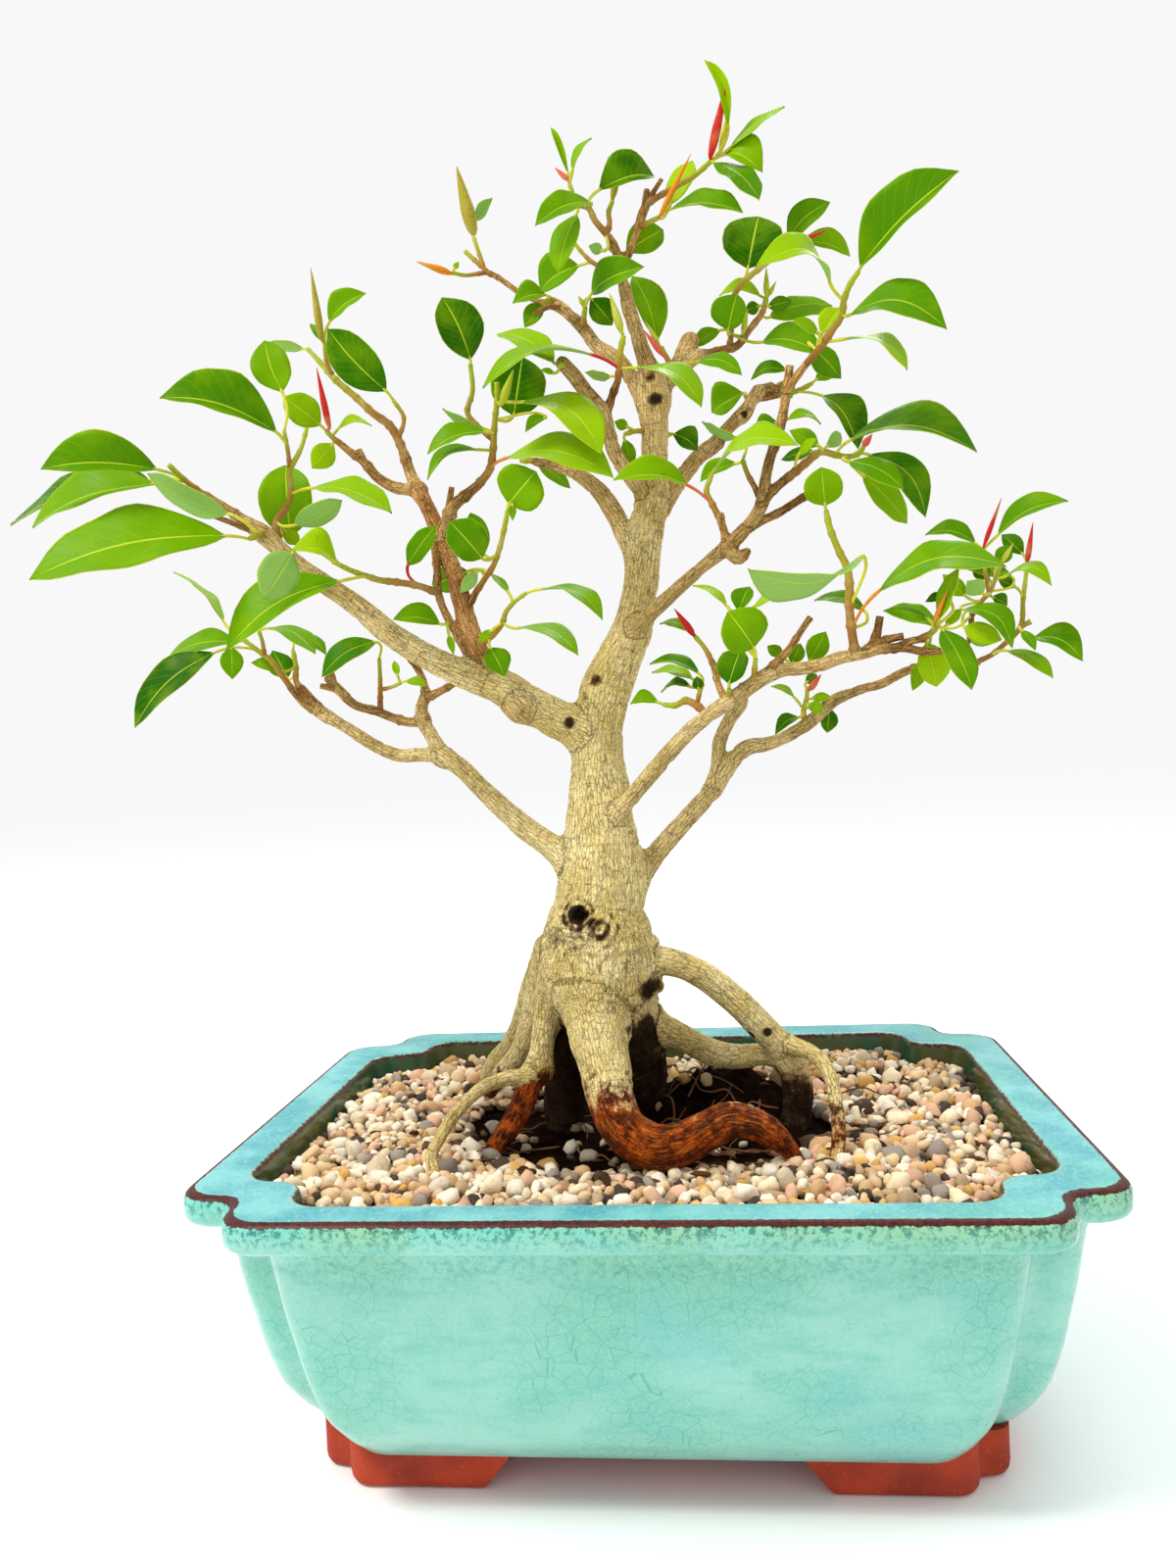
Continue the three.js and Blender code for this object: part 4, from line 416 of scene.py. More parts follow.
def leaf_finish():
    """A glossy leaf: the mesh carries how far out from the midrib and how far along each place lies."""
    finish = Finish("fig_leaf")
    place = finish.place()
    out = finish.painted("out")
    length = finish.painted("length")
    under = finish.painted("under")
    light = finish.painted("light")
    drift = finish.clouds(place, 90, detail=3)
    blotch = finish.clouds(place, 260, detail=4, roughness=0.6)
    grain = finish.clouds(place, 1500, detail=2)
    veins = (length * 9 - out * 2.4) % 1.0
    vein = 1 - (abs(veins - 0.5)).rise(0.0, 0.07)
    upper = finish.ramp(light, [
        (0.0, paint(28, 74, 0)), (0.3, paint(54, 108, 0)), (0.55, paint(92, 142, 1)),
        (0.8, paint(128, 170, 3)), (1.0, paint(172, 200, 24))])
    upper = finish.mix(drift.rise(0.4, 0.7) * 0.35, upper, paint(132, 172, 12))
    upper = finish.mix(blotch.rise(0.6, 0.75) * 0.25, upper, paint(46, 100, 6))
    upper = finish.mix(vein * 0.22, upper, paint(150, 190, 40))
    lower = finish.ramp(light, [(0.0, paint(92, 140, 50)), (1.0, paint(156, 196, 98))])
    lower = finish.mix(vein * 0.3, lower, paint(190, 212, 140))
    body = finish.mix(under, upper, lower)
    body = finish.mix((1 - out.rise(0.01, 0.045)) * 0.85, body, paint(182, 204, 56))
    # A thin pale yellow margin: partly the leaf's pale edge and partly a painted glow along it.
    body = finish.mix(out.rise(0.95, 0.995) * 0.6, body, paint(190, 202, 50))
    relief = finish.relief(out.rise(0.0, 0.12) * 0.8 - vein * 0.3 + grain * 0.08, 0.45, 0.5)
    gloss = 0.36 + under * 0.2
    return finish.shade(Base_Color=body, Roughness=gloss, Normal=relief, Specular_IOR_Level=0.04)


def shoot_finish():
    """Petioles, shoot stems and sheaths, each in the hue that its mesh carries."""
    finish = Finish("fig_shoot")
    place = finish.place()
    fibre = finish.clouds(place, 900, detail=4, roughness=0.6)
    patch = finish.clouds(place, 130, detail=3)
    hue = finish.painted("hue")
    body = finish.ramp(hue, [
        (0.0, paint(96, 62, 30)), (0.2, paint(158, 112, 52)), (0.4, paint(156, 170, 40)),
        (0.6, paint(204, 204, 56)), (0.75, paint(214, 134, 30)), (0.86, paint(186, 20, 18)),
        (1.0, paint(216, 92, 76))])
    body = finish.mix(fibre.rise(0.52, 0.75) * 0.4, body, paint(74, 54, 30))
    body = finish.mix(patch.rise(0.5, 0.7) * 0.25, body, paint(206, 190, 120))
    return finish.shade(Base_Color=body, Roughness=0.5, Normal=finish.relief(fibre, 0.4, 0.6),
                        Specular_IOR_Level=0.12)


def floor_finish():
    finish = Finish("pale_floor")
    return finish.shade(Base_Color=paint(254, 255, 255), Roughness=0.9)


# The wood, as in the solids. Each row is a place seen: pixels across and down, how far behind the middle of
# the pot it lies, and how thick the wood is there, in millimetres.
WOOD = {
    "trunk": ["trunk", [
        [612, 985, 0, 35], [612, 960, 0, 33], [610, 935, 0, 30], [615, 900, 0, 28], [614, 850, 1, 22.6],
        [612, 815, 2, 20.5], [610, 775, 3, 17.3], [612, 735, 4, 15.8], [619, 700, 4, 16.6],
        [630, 675, 3, 14.8], [645, 642, 2, 12.6], [653, 605, 0, 11.5], [656, 570, -1, 11],
        [660, 535, -1, 11.2], [666, 505, -1, 10.4], [668, 470, 0, 8.6], [668, 440, 0, 8.6],
        [667, 410, 0, 9.6], [665, 388, 0, 9]]],
    # The stump is painted dark along its lower length: painted shade under the trunk.
    "stump": ["limb", [
        [612, 975, 0, 34], [620, 1012, 2, 32], [632, 1046, 8, 27], [648, 1085, 14, 20], [659, 1120, 21, 15],
        [665, 1155, 26, 12], [667, 1180, 26, 10]]],
    "root_arch": ["limb", [
        [640, 975, -2, 12], [665, 979, -2, 9.4], [687, 982, -1, 8.8], [712, 992, 0, 8.8], [738, 1011, 2, 9],
        [760, 1030, 3, 9.2], [779, 1049, 5, 9.4], [797, 1068, 7, 9.8], [809, 1086, 9, 10],
        [814, 1110, 10, 10], [812, 1151, 10, 10], [810, 1190, 10, 9]]],
    "root_arch_front": ["branch", [
        [806, 1066, 4, 6], [830, 1076, -3, 5], [846, 1096, -12, 4.4], [853, 1127, -22, 4.2],
        [856, 1154, -29, 4.2], [854, 1184, -34, 4], [852, 1212, -37, 3.6]]],
    "root_inner": ["branch", [
        [650, 1035, 4, 12], [677, 1049, 8, 9.4], [703, 1062, 12, 8.8], [728, 1074, 15, 8.6],
        [751, 1078, 16, 8], [778, 1076, 14, 7.4], [803, 1080, 10, 7]]],
    "root_front": ["limb", [
        [609, 960, -1, 31], [607, 988, -3, 28], [607, 1015, -7, 24], [609, 1042, -11, 20],
        [613, 1071, -17, 17.2], [620, 1103, -24, 15.2], [626, 1131, -30, 13.8], [640, 1155, -35, 13.6],
        [666, 1170, -38, 13.4], [697, 1167, -38, 12.4], [722, 1154, -37, 11.4], [744, 1143, -36, 10.2],
        [767, 1146, -35, 9.8], [789, 1158, -34, 8.2], [806, 1174, -33, 5.4], [820, 1196, -33, 3.4]]],
    # A root behind the others, painted near-black: painted shade in the hollow behind the roots.
    "root_core": ["limb", [
        [596, 985, 6, 22], [588, 1020, 10, 20], [582, 1060, 14, 17], [578, 1100, 16, 15],
        [576, 1150, 17, 13]]],
    "root_left": ["limb", [
        [590, 968, 0, 12], [570, 987, 0, 9.6], [561, 1014, 1, 8.8], [556, 1046, 1, 8.4], [553, 1071, 0, 8],
        [550, 1092, -2, 8.4]]],
    "root_left_runner": ["branch", [
        [553, 1092, -2, 7], [536, 1098, -5, 5.6], [516, 1101, -9, 4.8], [496, 1108, -14, 4.2],
        [476, 1124, -22, 4], [461, 1142, -30, 4], [449, 1161, -37, 3.8], [440, 1181, -43, 3.6],
        [448, 1206, -48, 3.4], [452, 1226, -50, 3]]],
    "root_left_back": ["branch", [
        [562, 968, 4, 9], [545, 1005, 12, 8.4], [535, 1038, 24, 8], [523, 1065, 35, 8], [509, 1086, 46, 9.4],
        [498, 1104, 54, 9], [492, 1120, 58, 7]]],
    "root_left_middle": ["branch", [
        [560, 968, 4, 9], [551, 1005, 7, 8.6], [543, 1040, 10, 8.4], [532, 1072, 15, 7.6], [514, 1094, 22, 7],
        [500, 1112, 28, 6]]],
    "root_knob": ["limb", [[652, 992, -3, 8], [663, 1001, -6, 6.5], [670, 1006, -6, 5]]],
    "root_orange": ["branch", [
        [548, 1088, -2, 7.4], [537, 1116, -5, 8], [526, 1141, -10, 7.6], [511, 1163, -16, 6.8],
        [499, 1182, -20, 6], [492, 1204, -22, 5]]],
    "limb_low_left": ["limb", [
        [592, 890, -1, 12], [572, 871, -1, 9], [555, 858, 1, 7.8], [535, 844, 4, 7.4], [510, 822, 8, 7],
        [490, 803, 12, 6.4], [470, 783, 16, 6.2], [450, 770, 18, 6]]],
    "branch_low_left": ["branch", [
        [456, 773, 18, 6], [430, 770, 20, 4.9], [408, 771, 22, 4.6], [385, 762, 25, 4.5], [350, 740, 29, 4.3],
        [328, 728, 32, 4.2]]],
    "twig_low_left_inner": ["twig", [[334, 731, 31, 3.8], [319, 715, 33, 3.1], [308, 702, 33.5, 2.7]]],
    "twig_low_left_outer": ["twig", [[336, 732, 31, 3.8], [311, 718, 32, 2.9], [296, 701, 31, 2.6]]],
    "branch_low_riser": ["branch", [
        [452, 775, 18, 5.4], [443, 755, 18, 5.2], [433, 738, 19, 4.8], [430, 724, 19, 4.3],
        [434, 708, 19, 3.2], [430, 690, 20, 2.5], [418, 671, 21, 2.2], [402, 652, 22, 1.8]]],
    "twig_low_stub": ["twig", [[434, 713, 19, 3.2], [448, 706, 18, 2.8], [463, 698, 17, 2.2]]],
    "branch_low_knuckle": ["twig", [
        [434, 734, 19, 3.8], [420, 737, 20, 3.3], [403, 733, 21, 3.1], [385, 726, 23, 3.1],
        [360, 718, 25, 3.1], [348, 706, 26, 3.6], [335, 693, 27, 3]]],
    "stub_knuckle_out": ["twig", [[345, 703, 26, 2.6], [327, 700, 25, 2]]],
    "stub_knuckle_up": ["twig", [[341, 697, 27, 2.4], [337, 683, 28, 1.9]]],
    "stub_knuckle_leaf": ["twig", [[388, 727, 23, 2.4], [388, 713, 23, 1.9]]],
    "limb_left": ["limb", [
        [603, 755, 2, 13], [582, 741, 0, 13], [552, 725, -4, 12], [520, 706, -8, 11], [480, 690, -13, 9.4],
        [440, 672, -18, 8], [400, 648, -23, 7.4], [360, 615, -28, 6.4], [320, 588, -32, 5.6],
        [290, 564, -35, 5.2], [268, 545, -37, 5.8], [246, 529, -39, 3.2], [225, 515, -40, 2.6],
        [207, 504, -41, 2.2]]],
    "stub_left": ["twig", [[264, 544, -38, 2.2], [238, 534, -41, 1.7], [219, 527, -43, 1.5]]],
    "branch_red": ["branch", [
        [532, 720, -8, 11], [518, 705, -9, 8.8], [504, 690, -10, 7.4], [486, 661, -12, 6.8],
        [475, 630, -12, 6.5], [468, 600, -11, 6.2], [456, 566, -8, 5.8], [440, 526, -3, 5],
        [426, 498, 1, 4.7]]],
    "twig_red_side": ["twig", [
        [478, 668, -12, 3.2], [462, 640, -14, 2.6], [449, 612, -15, 2.4], [446, 582, -13, 2.4],
        [443, 552, -7, 2.6]]],
    "twig_red_high": ["twig", [[429, 505, 0, 4.4], [420, 486, 3, 3.8], [412, 463, 5, 3.2]]],
    "twig_red_left": ["twig", [
        [430, 500, 1, 4.2], [402, 497, 0, 3.7], [385, 487, -1, 3.3], [371, 471, -3, 2.8], [356, 460, -5, 2.4],
        [344, 450, -6, 2]]],
    "stub_red_left": ["twig", [[371, 470, -3, 2.4], [366, 459, -3, 2]]],
    "branch_red_right": ["twig", [
        [450, 556, -7, 5], [456, 533, -8, 4.4], [463, 516, -9, 3.8], [476, 505, -10, 3.3],
        [489, 494, -11, 2.8]]],
    "stub_red_right": ["twig", [[457, 524, -8, 2.6], [459, 510, -9, 2], [461, 497, -10, 1.8]]],
    "twig_red_low": ["twig", [[474, 624, -12, 3], [481, 613, -14, 2.3], [488, 600, -14, 2]]],
    "limb_upper_left": ["branch", [
        [654, 570, -1, 8.4], [638, 546, 2, 6.7], [625, 520, 6, 6.2], [610, 500, 10, 5.6], [591, 485, 14, 4.6],
        [568, 476, 18, 3.6], [546, 471, 22, 2.8]]],
    "limb_upper_middle": ["branch", [
        [666, 525, -1, 6.4], [656, 503, -4, 5.2], [644, 487, -6, 5], [629, 465, -9, 4.8],
        [621, 442, -12, 4.6], [614, 419, -14, 4.6], [598, 400, -17, 4.5], [583, 380, -20, 4.6],
        [574, 371, -21, 4.4]]],
    "twig_upper_middle": ["twig", [[616, 432, -12, 2.8], [624, 406, -14, 2.4], [631, 387, -15, 2]]],
    "limb_upper_high": ["branch", [
        [664, 422, 0, 6.6], [644, 385, 4, 5], [629, 365, 7, 4.7], [610, 354, 9, 4.5], [595, 335, 12, 4.3],
        [579, 319, 14, 4.1], [563, 308, 16, 3.6]]],
    "twig_upper_high": ["twig", [
        [569, 312, 15.5, 3], [546, 306, 18, 2], [528, 297, 20, 1.9], [511, 285, 23, 1.8],
        [500, 278.5, 24.5, 1.7]]],
    "stub_upper_high": ["twig", [[572, 313, 14, 2.2], [558, 314, 10, 1.6], [546, 320, 8, 1.4]]],
    "leader": ["branch", [
        [668, 408, 0, 8.6], [665, 388, 0, 7], [656, 360, -1, 5.4], [649, 337, -2, 4.9], [641, 312, -4, 4.4],
        [636, 286, -5, 3.8], [632, 264, -6, 3.4]]],
    "leader_left": ["twig", [[633, 270, -6, 3], [627, 252, -7, 2.6], [621, 241, -8, 2.3]]],
    "leader_right": ["twig", [
        [635, 270, -6, 3], [642, 258, -5, 2.5], [649, 238, -3, 2.2], [655, 216, -1, 2.1],
        [661, 206, 0, 2.4]]],
    "stub_black": ["twig", [[660, 208, 0, 1.9], [668, 194, 0, 1.6], [675, 183, 0, 1.5]]],
    "stub_leader": ["twig", [[658, 211, 0, 2.2], [660, 194, 1, 2]]],
    "leader_side": ["twig", [[635, 286, -5, 1.9], [621, 277, -3, 1.6], [610, 270, -1, 1.5]]],
    "limb_top_right": ["branch", [
        [672, 405, 0, 6.4], [683, 387, 1, 5], [696, 376, 3, 4.7], [714, 363, 5, 4.5], [723, 361, 7, 3],
        [738, 357, 10, 2.7], [752, 353, 13, 2.6], [762, 340, 16, 2.4], [770, 330, 18, 2.2],
        [777, 321, 20, 2.1]]],
    "stump_top_right": ["branch", [[686, 386, 2, 5], [696, 366, 5, 6], [704, 349, 7, 6.4]]],
    "limb_middle_right": ["branch", [
        [674, 517, 1, 7], [690, 495, 5, 5.6], [700, 482, 8, 5.4], [714, 465, 13, 5], [732, 449, 17, 4.7],
        [746, 434, 21, 4.4], [760, 421, 24, 5.4], [766, 411, 26, 4.2], [774, 399, 28, 4.4]]],
    "stub_middle_right": ["twig", [[770, 402, 28, 3.6], [784, 396, 30, 3.4], [794, 397, 31, 2.6]]],
    "twig_middle_right": ["twig", [[768, 406, 27, 3], [786, 405, 30, 2.1], [804, 401, 33, 1.9]]],
    "stub_broken": ["twig", [[734, 453, 16, 3.4], [720, 464, 15, 2.8], [706, 467, 16, 2.4]]],
    "limb_right": ["branch", [
        [648, 640, -3, 7], [661, 629, -9, 4.9], [677, 614, -14, 4.5], [698, 595, -18, 4.2],
        [721, 575, -22, 4.1], [740, 560, -25, 4.4], [754, 547, -27, 4.1], [766, 534, -29, 3.8],
        [776, 518, -31, 3.8], [781, 490, -33, 3.2], [786, 467, -34, 2.9], [794, 445, -35, 2.8],
        [799, 422, -36, 2.7], [803, 396, -37, 2.5], [806, 373, -38, 2.3]]],
    "knob_right": ["twig", [[742, 560, -26, 4], [755, 569, -28, 4.2], [762, 563, -29, 2.6]]],
    "twig_right_dark": ["twig", [[777, 514, -32, 3], [789, 500, -32, 2.7], [803, 488, -31, 2.6]]],
    "twig_right_low": ["twig", [
        [746, 555, -27, 3.6], [759, 541, -29, 3.1], [778, 531, -28, 2.7], [797, 522, -27, 2.5],
        [817, 509, -26, 2.3], [825, 505, -26, 2.5]]],
    "twig_right_small": ["twig", [[744, 563, -26, 3], [740, 546, -26, 2.5], [733, 524, -25, 2.1]]],
    "stub_right_small": ["twig", [[738, 540, -27, 2], [736, 524, -30, 1.6]]],
    "twig_right_thin": ["twig", [[778, 513, -31, 2.2], [768, 493, -32, 1.6]]],
    "twig_right_high": ["twig", [[802, 400, -37, 2.6], [813, 384, -39, 2.2], [827, 366, -42, 2]]],
    "limb_lower_right": ["branch", [
        [620, 842, -3, 9], [638, 821, -9, 5.8], [664, 790, -14, 5.2], [683, 768, -17, 5],
        [702, 747, -20, 4.9], [721, 731, -22, 4.8], [740, 718, -24, 4.7], [759, 705, -26, 4.7],
        [778, 692, -28, 4.7], [797, 685, -29, 4.1], [818, 682, -31, 4], [836, 679, -32, 3.9],
        [855, 672, -34, 3.9], [875, 668, -35, 3.6], [901, 662, -37, 2.9], [922, 661, -38, 2.5],
        [943, 665, -40, 2.2], [966, 664, -41, 1.8]]],
    "twig_lower_right": ["twig", [
        [775, 695, -27, 3], [790, 678, -29, 2.5], [804, 664, -30, 2.3], [812, 652, -31, 2.1],
        [820, 640, -31, 2], [827, 630, -32, 2.1]]],
    "fork_lower_right": ["twig", [[912, 663, -37, 2.6], [930, 654, -39, 2.1], [943, 652, -41, 2]]],
    "stub_lower_right": ["twig", [[884, 662, -36, 2.6], [904, 653, -36, 2.3], [922, 649, -37, 2.1]]],
    "knob_lower_right": ["twig", [[887, 664, -36, 3], [894, 649, -34, 2.5], [898, 629, -34, 2.2]]],
    "twig_inner_right": ["twig", [[742, 718, -24, 2.8], [733, 698, -18, 2.1], [728, 678, -14, 2.2]]],
    "limb_lowest_right": ["branch", [
        [643, 903, 0, 9.6], [663, 879, 4, 7.2], [683, 855, 7, 6.5], [702, 834, 9, 6.1], [721, 813, 11, 5.8],
        [736, 794, 13, 5.6], [748, 775, 14, 5.8], [762, 763, 15, 5.4], [783, 759, 17, 4.6],
        [813, 746, 20, 4.4], [832, 732, 22, 4.5], [851, 715, 24, 4.2], [874, 705, 26, 3.4],
        [901, 697, 29, 3.2], [922, 686, 31, 3], [942, 679, 33, 2.4], [975, 678, 34, 1.9],
        [1000, 676, 35, 1.8]]],
    "branch_behind_right": ["branch", [
        [727, 805, 12, 6], [733, 780, 15, 4.9], [734, 759, 17, 4.7], [744, 735, 19, 4.5], [757, 715, 21, 4.2],
        [757, 700, 22, 2.6]]],
    "twig_far_right": ["twig", [[973, 679, 34, 2.2], [988, 655, 32, 1.8], [992, 622, 30, 1.7]]],
}


# The leafy shoots, as in the solids. A stem's rows are like the wood's. A leaf or spear starts with the
# number of the stem point that it grows from, and then gives the places of its base and tip. A leaf then has
# the widths seen left and right of its midrib and its bow, in pixels, and its look: r round, u underside
# seen, b bright, d dark. Some leaves end with the hue of their stalk. A spear has its thickness and hue.
SHOOTS = {
    "shoot_far_left": {"stems": [
        [[210, 506, -40.9, 2], [190, 491, -43, 1.7], [172, 474, -45, 1.5]]
    ], "leaves": [
        [1, 160, 479, -47, 41, 477, -58, 10, 30, -3, ""], [1, 157, 494, -43, 30, 534, -47, 8, 22, -4, ""],
        [1, 152, 490, -34, 10, 535, -24, 8, 16, -3, "d"]
    ]},
    "shoot_left_knob": {"stems": [
        [[268, 545, -37, 2.4], [264, 546, -42, 2], [254, 550, -44, 1.5]]
    ], "leaves": [
        [2, 230, 547, -48, 30, 591, -66, 22, 34, -6, ""], [1, 233, 524, -48, 150, 484, -50, 10, 16, 3, "u"]
    ]},
    "shoot_left_riser": {"stems": [
        [[286, 560, -35.5, 2.4], [282, 533, -35, 2.2], [293, 516, -33, 1.9], [297, 504, -32, 1.8],
         [296, 478, -31, 1.7], [302, 468, -31, 1.6], [308, 455, -30, 1.3], [313, 437, -29, 1.2]],
        [[296, 480, -31, 1.5], [294, 462, -32, 1.3], [290, 440, -32, 1.2]]
    ], "leaves": [
        [4, 282, 441, -35, 163, 405, -46, 8, 34, -7, ""], [10, 288, 400, -30, 270, 347, -28, 20, 20, 3, ""],
        [1, 296, 547, -27, 291, 474, -23, 27, 24, 0, "r"], [3, 319, 498, -36, 400, 521, -42, 14, 8, 4, "b"],
        [1, 300, 536, -39, 349, 512, -42, 15, 9, -2, "u"], [1, 290, 541, -32, 306, 556, -30, 8, 8, 0, "b"]
    ]},
    "shoot_left_high": {"stems": [
        [[414, 468, 4.6, 3], [407, 450, 6.5, 2.9], [400, 437, 7, 2.8], [380, 421, 9, 2.6],
         [365, 407, 11, 2.4], [340, 385, 13, 2.2], [326, 369, 15, 1.8], [314, 356, 16, 1.4]],
        [[340, 385, 13, 1.6], [333, 368, 12, 1.5], [331, 349, 11, 1.4]],
        [[407, 448, 6.4, 1.5], [412, 426, 4, 1.4], [401, 408, 2, 1.3]]
    ], "leaves": [
        [13, 394, 399, 1, 334, 335, -3, 22, 22, 3, "d"], [7, 310, 356, 17, 268, 358, 19, 2, 10, -2, "u"],
        [10, 336, 329, 10, 373, 299, 8, 15, 5, 3, ""], [9, 330, 350, 15, 317, 329, 18, 5, 6, 0, ""]
    ], "spears": [
        [10, 328, 346, 10, 317, 273, 8, 2.6, "olive"]
    ]},
    "shoot_left_middle": {"stems": [
        [[350, 455, -5.5, 2], [339, 446, -7, 1.7], [333, 440, -8, 1.4]]
    ], "leaves": [
        [2, 327, 434, -9, 289, 405, -14, 15, 17, 0, "b"], [1, 340, 453, -6, 318, 478, -6, 14, 12, 0, "b"],
        [1, 343, 440, -4, 379, 433, -2, 4, 4, 7, "b"]
    ], "spears": [
        [2, 336, 437, -9, 323, 375, -10, 2.2, "red"]
    ]},
    "shoot_left_near": {"stems": [
        [[449, 606, -15, 2.4], [428, 598, -18, 2.2], [405, 594, -22, 2.1], [388, 592, -26, 2],
         [375, 588, -31, 1.8], [358, 582, -36, 1.6], [340, 573, -41, 1.5]]
    ], "leaves": [
        [4, 347, 593, -41, 228, 660, -54, 12, 26, -7, ""], [6, 343, 572, -44, 297, 562, -50, 5, 22, -6, "b"],
        [6, 299, 563, -50, 270, 610, -60, 20, 22, 0, "u"],
        [1, 416, 577, -20, 444, 536, -24, 11, 11, 0, "", "red"]
    ]},
    "shoot_low_left_inner": {"stems": [
        [[311, 706, 33.4, 2.4], [303, 697, 34, 2.2], [302, 680, 35, 1.9], [299, 663, 36, 1.5]]
    ], "leaves": [
        [3, 308, 647, 35, 333, 668, 33, 6, 6, 2, ""], [2, 293, 692, 39, 278, 663, 42, 14, 13, 0, "d"],
        [2, 284, 684, 32, 256, 676, 29, 6, 7, -2, "b"]
    ]},
    "shoot_low_left_outer": {"stems": [
        [[300, 706, 31.3, 2.4], [286, 687, 30, 2.1], [275, 673, 29, 2], [262, 663, 28, 1.8],
         [249, 653, 27, 1.5]],
        [[270, 669, 28.6, 1.7], [267, 652, 26, 1.4], [264, 644, 25, 1.3]]
    ], "leaves": [
        [3, 219, 666, 25, 137, 742, 17, 12, 19, -6, "d"], [4, 240, 655, 29, 169, 672, 34, 8, 11, -4, ""],
        [4, 236, 660, 22, 237, 693, 18, 12, 12, 0, ""], [4, 228, 634, 30, 179, 582, 33, 3.5, 3.5, -3, "b"],
        [7, 274, 641, 22, 322, 666, 14, 9, 8, 5, ""]
    ], "spears": [
        [7, 265, 641, 25, 262, 623, 25, 1.8, "green"]
    ]},
    "shoot_low_knuckle": {"stems": [
        [[388, 717, 23, 1.9], [388, 698, 22, 1.6], [387, 672, 21, 1.3]],
        [[388, 704, 22.4, 1.5], [400, 701, 20, 1.3], [409, 697, 19, 1.2]]
    ], "leaves": [
        [2, 384, 655, 19, 328, 690, 13, 10, 13, -5, "d"], [5, 414, 695, 18, 435, 700, 15, 5, 5, 2, "b"],
        [5, 406, 690, 19, 402, 674, 21, 4, 4, 0, "b"]
    ]},
    "shoot_red_side": {"stems": [
        [[460, 636, -14, 1.7], [456, 636, -19, 1.4]]
    ], "leaves": [
        [1, 449, 637, -21, 401, 632, -27, 6, 15, -3, ""], [1, 458, 648, -20, 463, 668, -22, 4, 4, 0, "b"]
    ]},
    "shoot_red_low": {"stems": [
        [[486, 661, -12, 2], [500, 651, -15, 1.8], [513, 635, -16, 1.7], [516, 625, -17, 1.6],
         [523, 616, -17, 1.4], [537, 605, -18, 1.3]]
    ], "leaves": [
        [4, 519, 605, -16, 500, 584, -14, 4, 4, 0, "b"], [5, 553, 601, -20, 615, 632, -28, 8, 6, 10, ""],
        [2, 528, 641, -20, 590, 668, -28, 9, 7, 8, ""], [1, 500, 661, -17, 515, 690, -20, 15, 13, 0, ""],
        [2, 502, 643, -18, 488, 655, -21, 5, 5, 0, "b"]
    ]},
    "shoot_red_riser": {"stems": [
        [[485, 606, -14, 2], [495, 590, -15, 1.9], [503, 578, -16, 1.8], [508, 565, -17, 1.7],
         [515, 537, -19, 1.6], [518, 521, -20, 1.4]]
    ], "leaves": [
        [3, 492, 570, -20, 459, 532, -24, 18, 20, 0, "r"], [3, 494, 565, -14, 480, 523, -13, 12, 12, 0, ""],
        [1, 478, 583, -1, 440, 597, 4, 14, 14, 0, ""], [1, 487, 583, -19, 470, 605, -22, 7, 7, 0, "u"],
        [5, 519, 514, -20, 547, 481, -22, 26, 24, 0, "r"], [5, 523, 515, -23, 523, 531, -25, 4, 4, 0, ""]
    ]},
    "shoot_red_high": {"stems": [
        [[485, 498, -10.7, 2.8], [500, 478, -12, 2.5], [503, 460, -13, 2.2], [504, 442, -14, 2],
         [505, 428, -15, 1.8], [507, 410, -16, 1.7], [507, 390, -17, 1.5]],
        [[503, 449, -13.5, 1.7], [488, 435, -9, 1.7], [477, 421, -8, 1.8], [482, 400, -9, 1.6],
         [480, 372, -10, 1.4]]
    ], "leaves": [
        [5, 534, 410, -20, 614, 463, -34, 20, 14, 14, "b"],
        [1, 518, 467, -19, 626, 487, -31, 20, 12, 10, "b", "orange"],
        [3, 497, 441, -18, 436, 462, -23, 4, 13, -4, ""], [2, 487, 459, -16, 435, 487, -19, 3, 8, -8, ""],
        [3, 494, 437, -15, 451, 418, -17, 4, 4, 0, "u"], [4, 524, 424, -11, 533, 364, -4, 27, 27, 0, "rd"],
        [4, 558, 426, -14, 536, 441, -12, 4, 7, -3, ""], [11, 480, 367, -10, 451, 303, -14, 21, 25, -2, "d"]
    ], "spears": [
        [5, 512, 412, -20, 524, 377, -23, 2.8, "green"]
    ]},
    "shoot_upper_left": {"stems": [
        [[552, 473, 20.8, 2.6], [541, 470, 24, 2.2], [531, 470, 25, 1.8]]
    ], "leaves": [
        [1, 548, 473, 29, 582, 498, 32, 7, 7, 0, ""]
    ]},
    "shoot_upper_fork": {"stems": [
        [[504, 281, 24, 1.9], [496, 277, 25, 1.8], [490, 262, 26, 1.5], [483, 241, 27, 1.4]],
        [[497, 278, 24.8, 1.6], [484, 280, 23, 1.4], [475, 281, 22, 1.3], [463, 279, 21, 1.3]],
        [[497, 277, 25, 1.7], [475, 257, 29, 1.6]]
    ], "leaves": [
        [3, 485, 226, 29, 503, 202, 32, 9, 3, 0, "u"], [7, 463, 275, 20, 468, 267, 19, 3, 3, 0, "b"]
    ], "spears": [
        [3, 483, 238, 27, 466, 170, 25, 4.8, "olive"], [7, 460, 279, 20.5, 425, 267, 17, 2.6, "orange"]
    ]},
    "shoot_top_left": {"stems": [
        [[624, 246, -7.6, 2.2], [618, 238, -8.4, 2.1], [607, 225, -10, 2], [600, 212, -11, 1.9],
         [591, 209, -12, 1.7], [581, 188, -12, 1.4]],
        [[619, 240, -8.2, 1.9], [622, 226, -6, 1.7], [621, 217, -5, 1.6], [625, 205, -4, 1.4]]
    ], "leaves": [
        [4, 588, 219, -14, 568, 277, -18, 11, 14, 0, ""], [3, 603, 207, -14, 546, 229, -22, 7, 15, -4, ""],
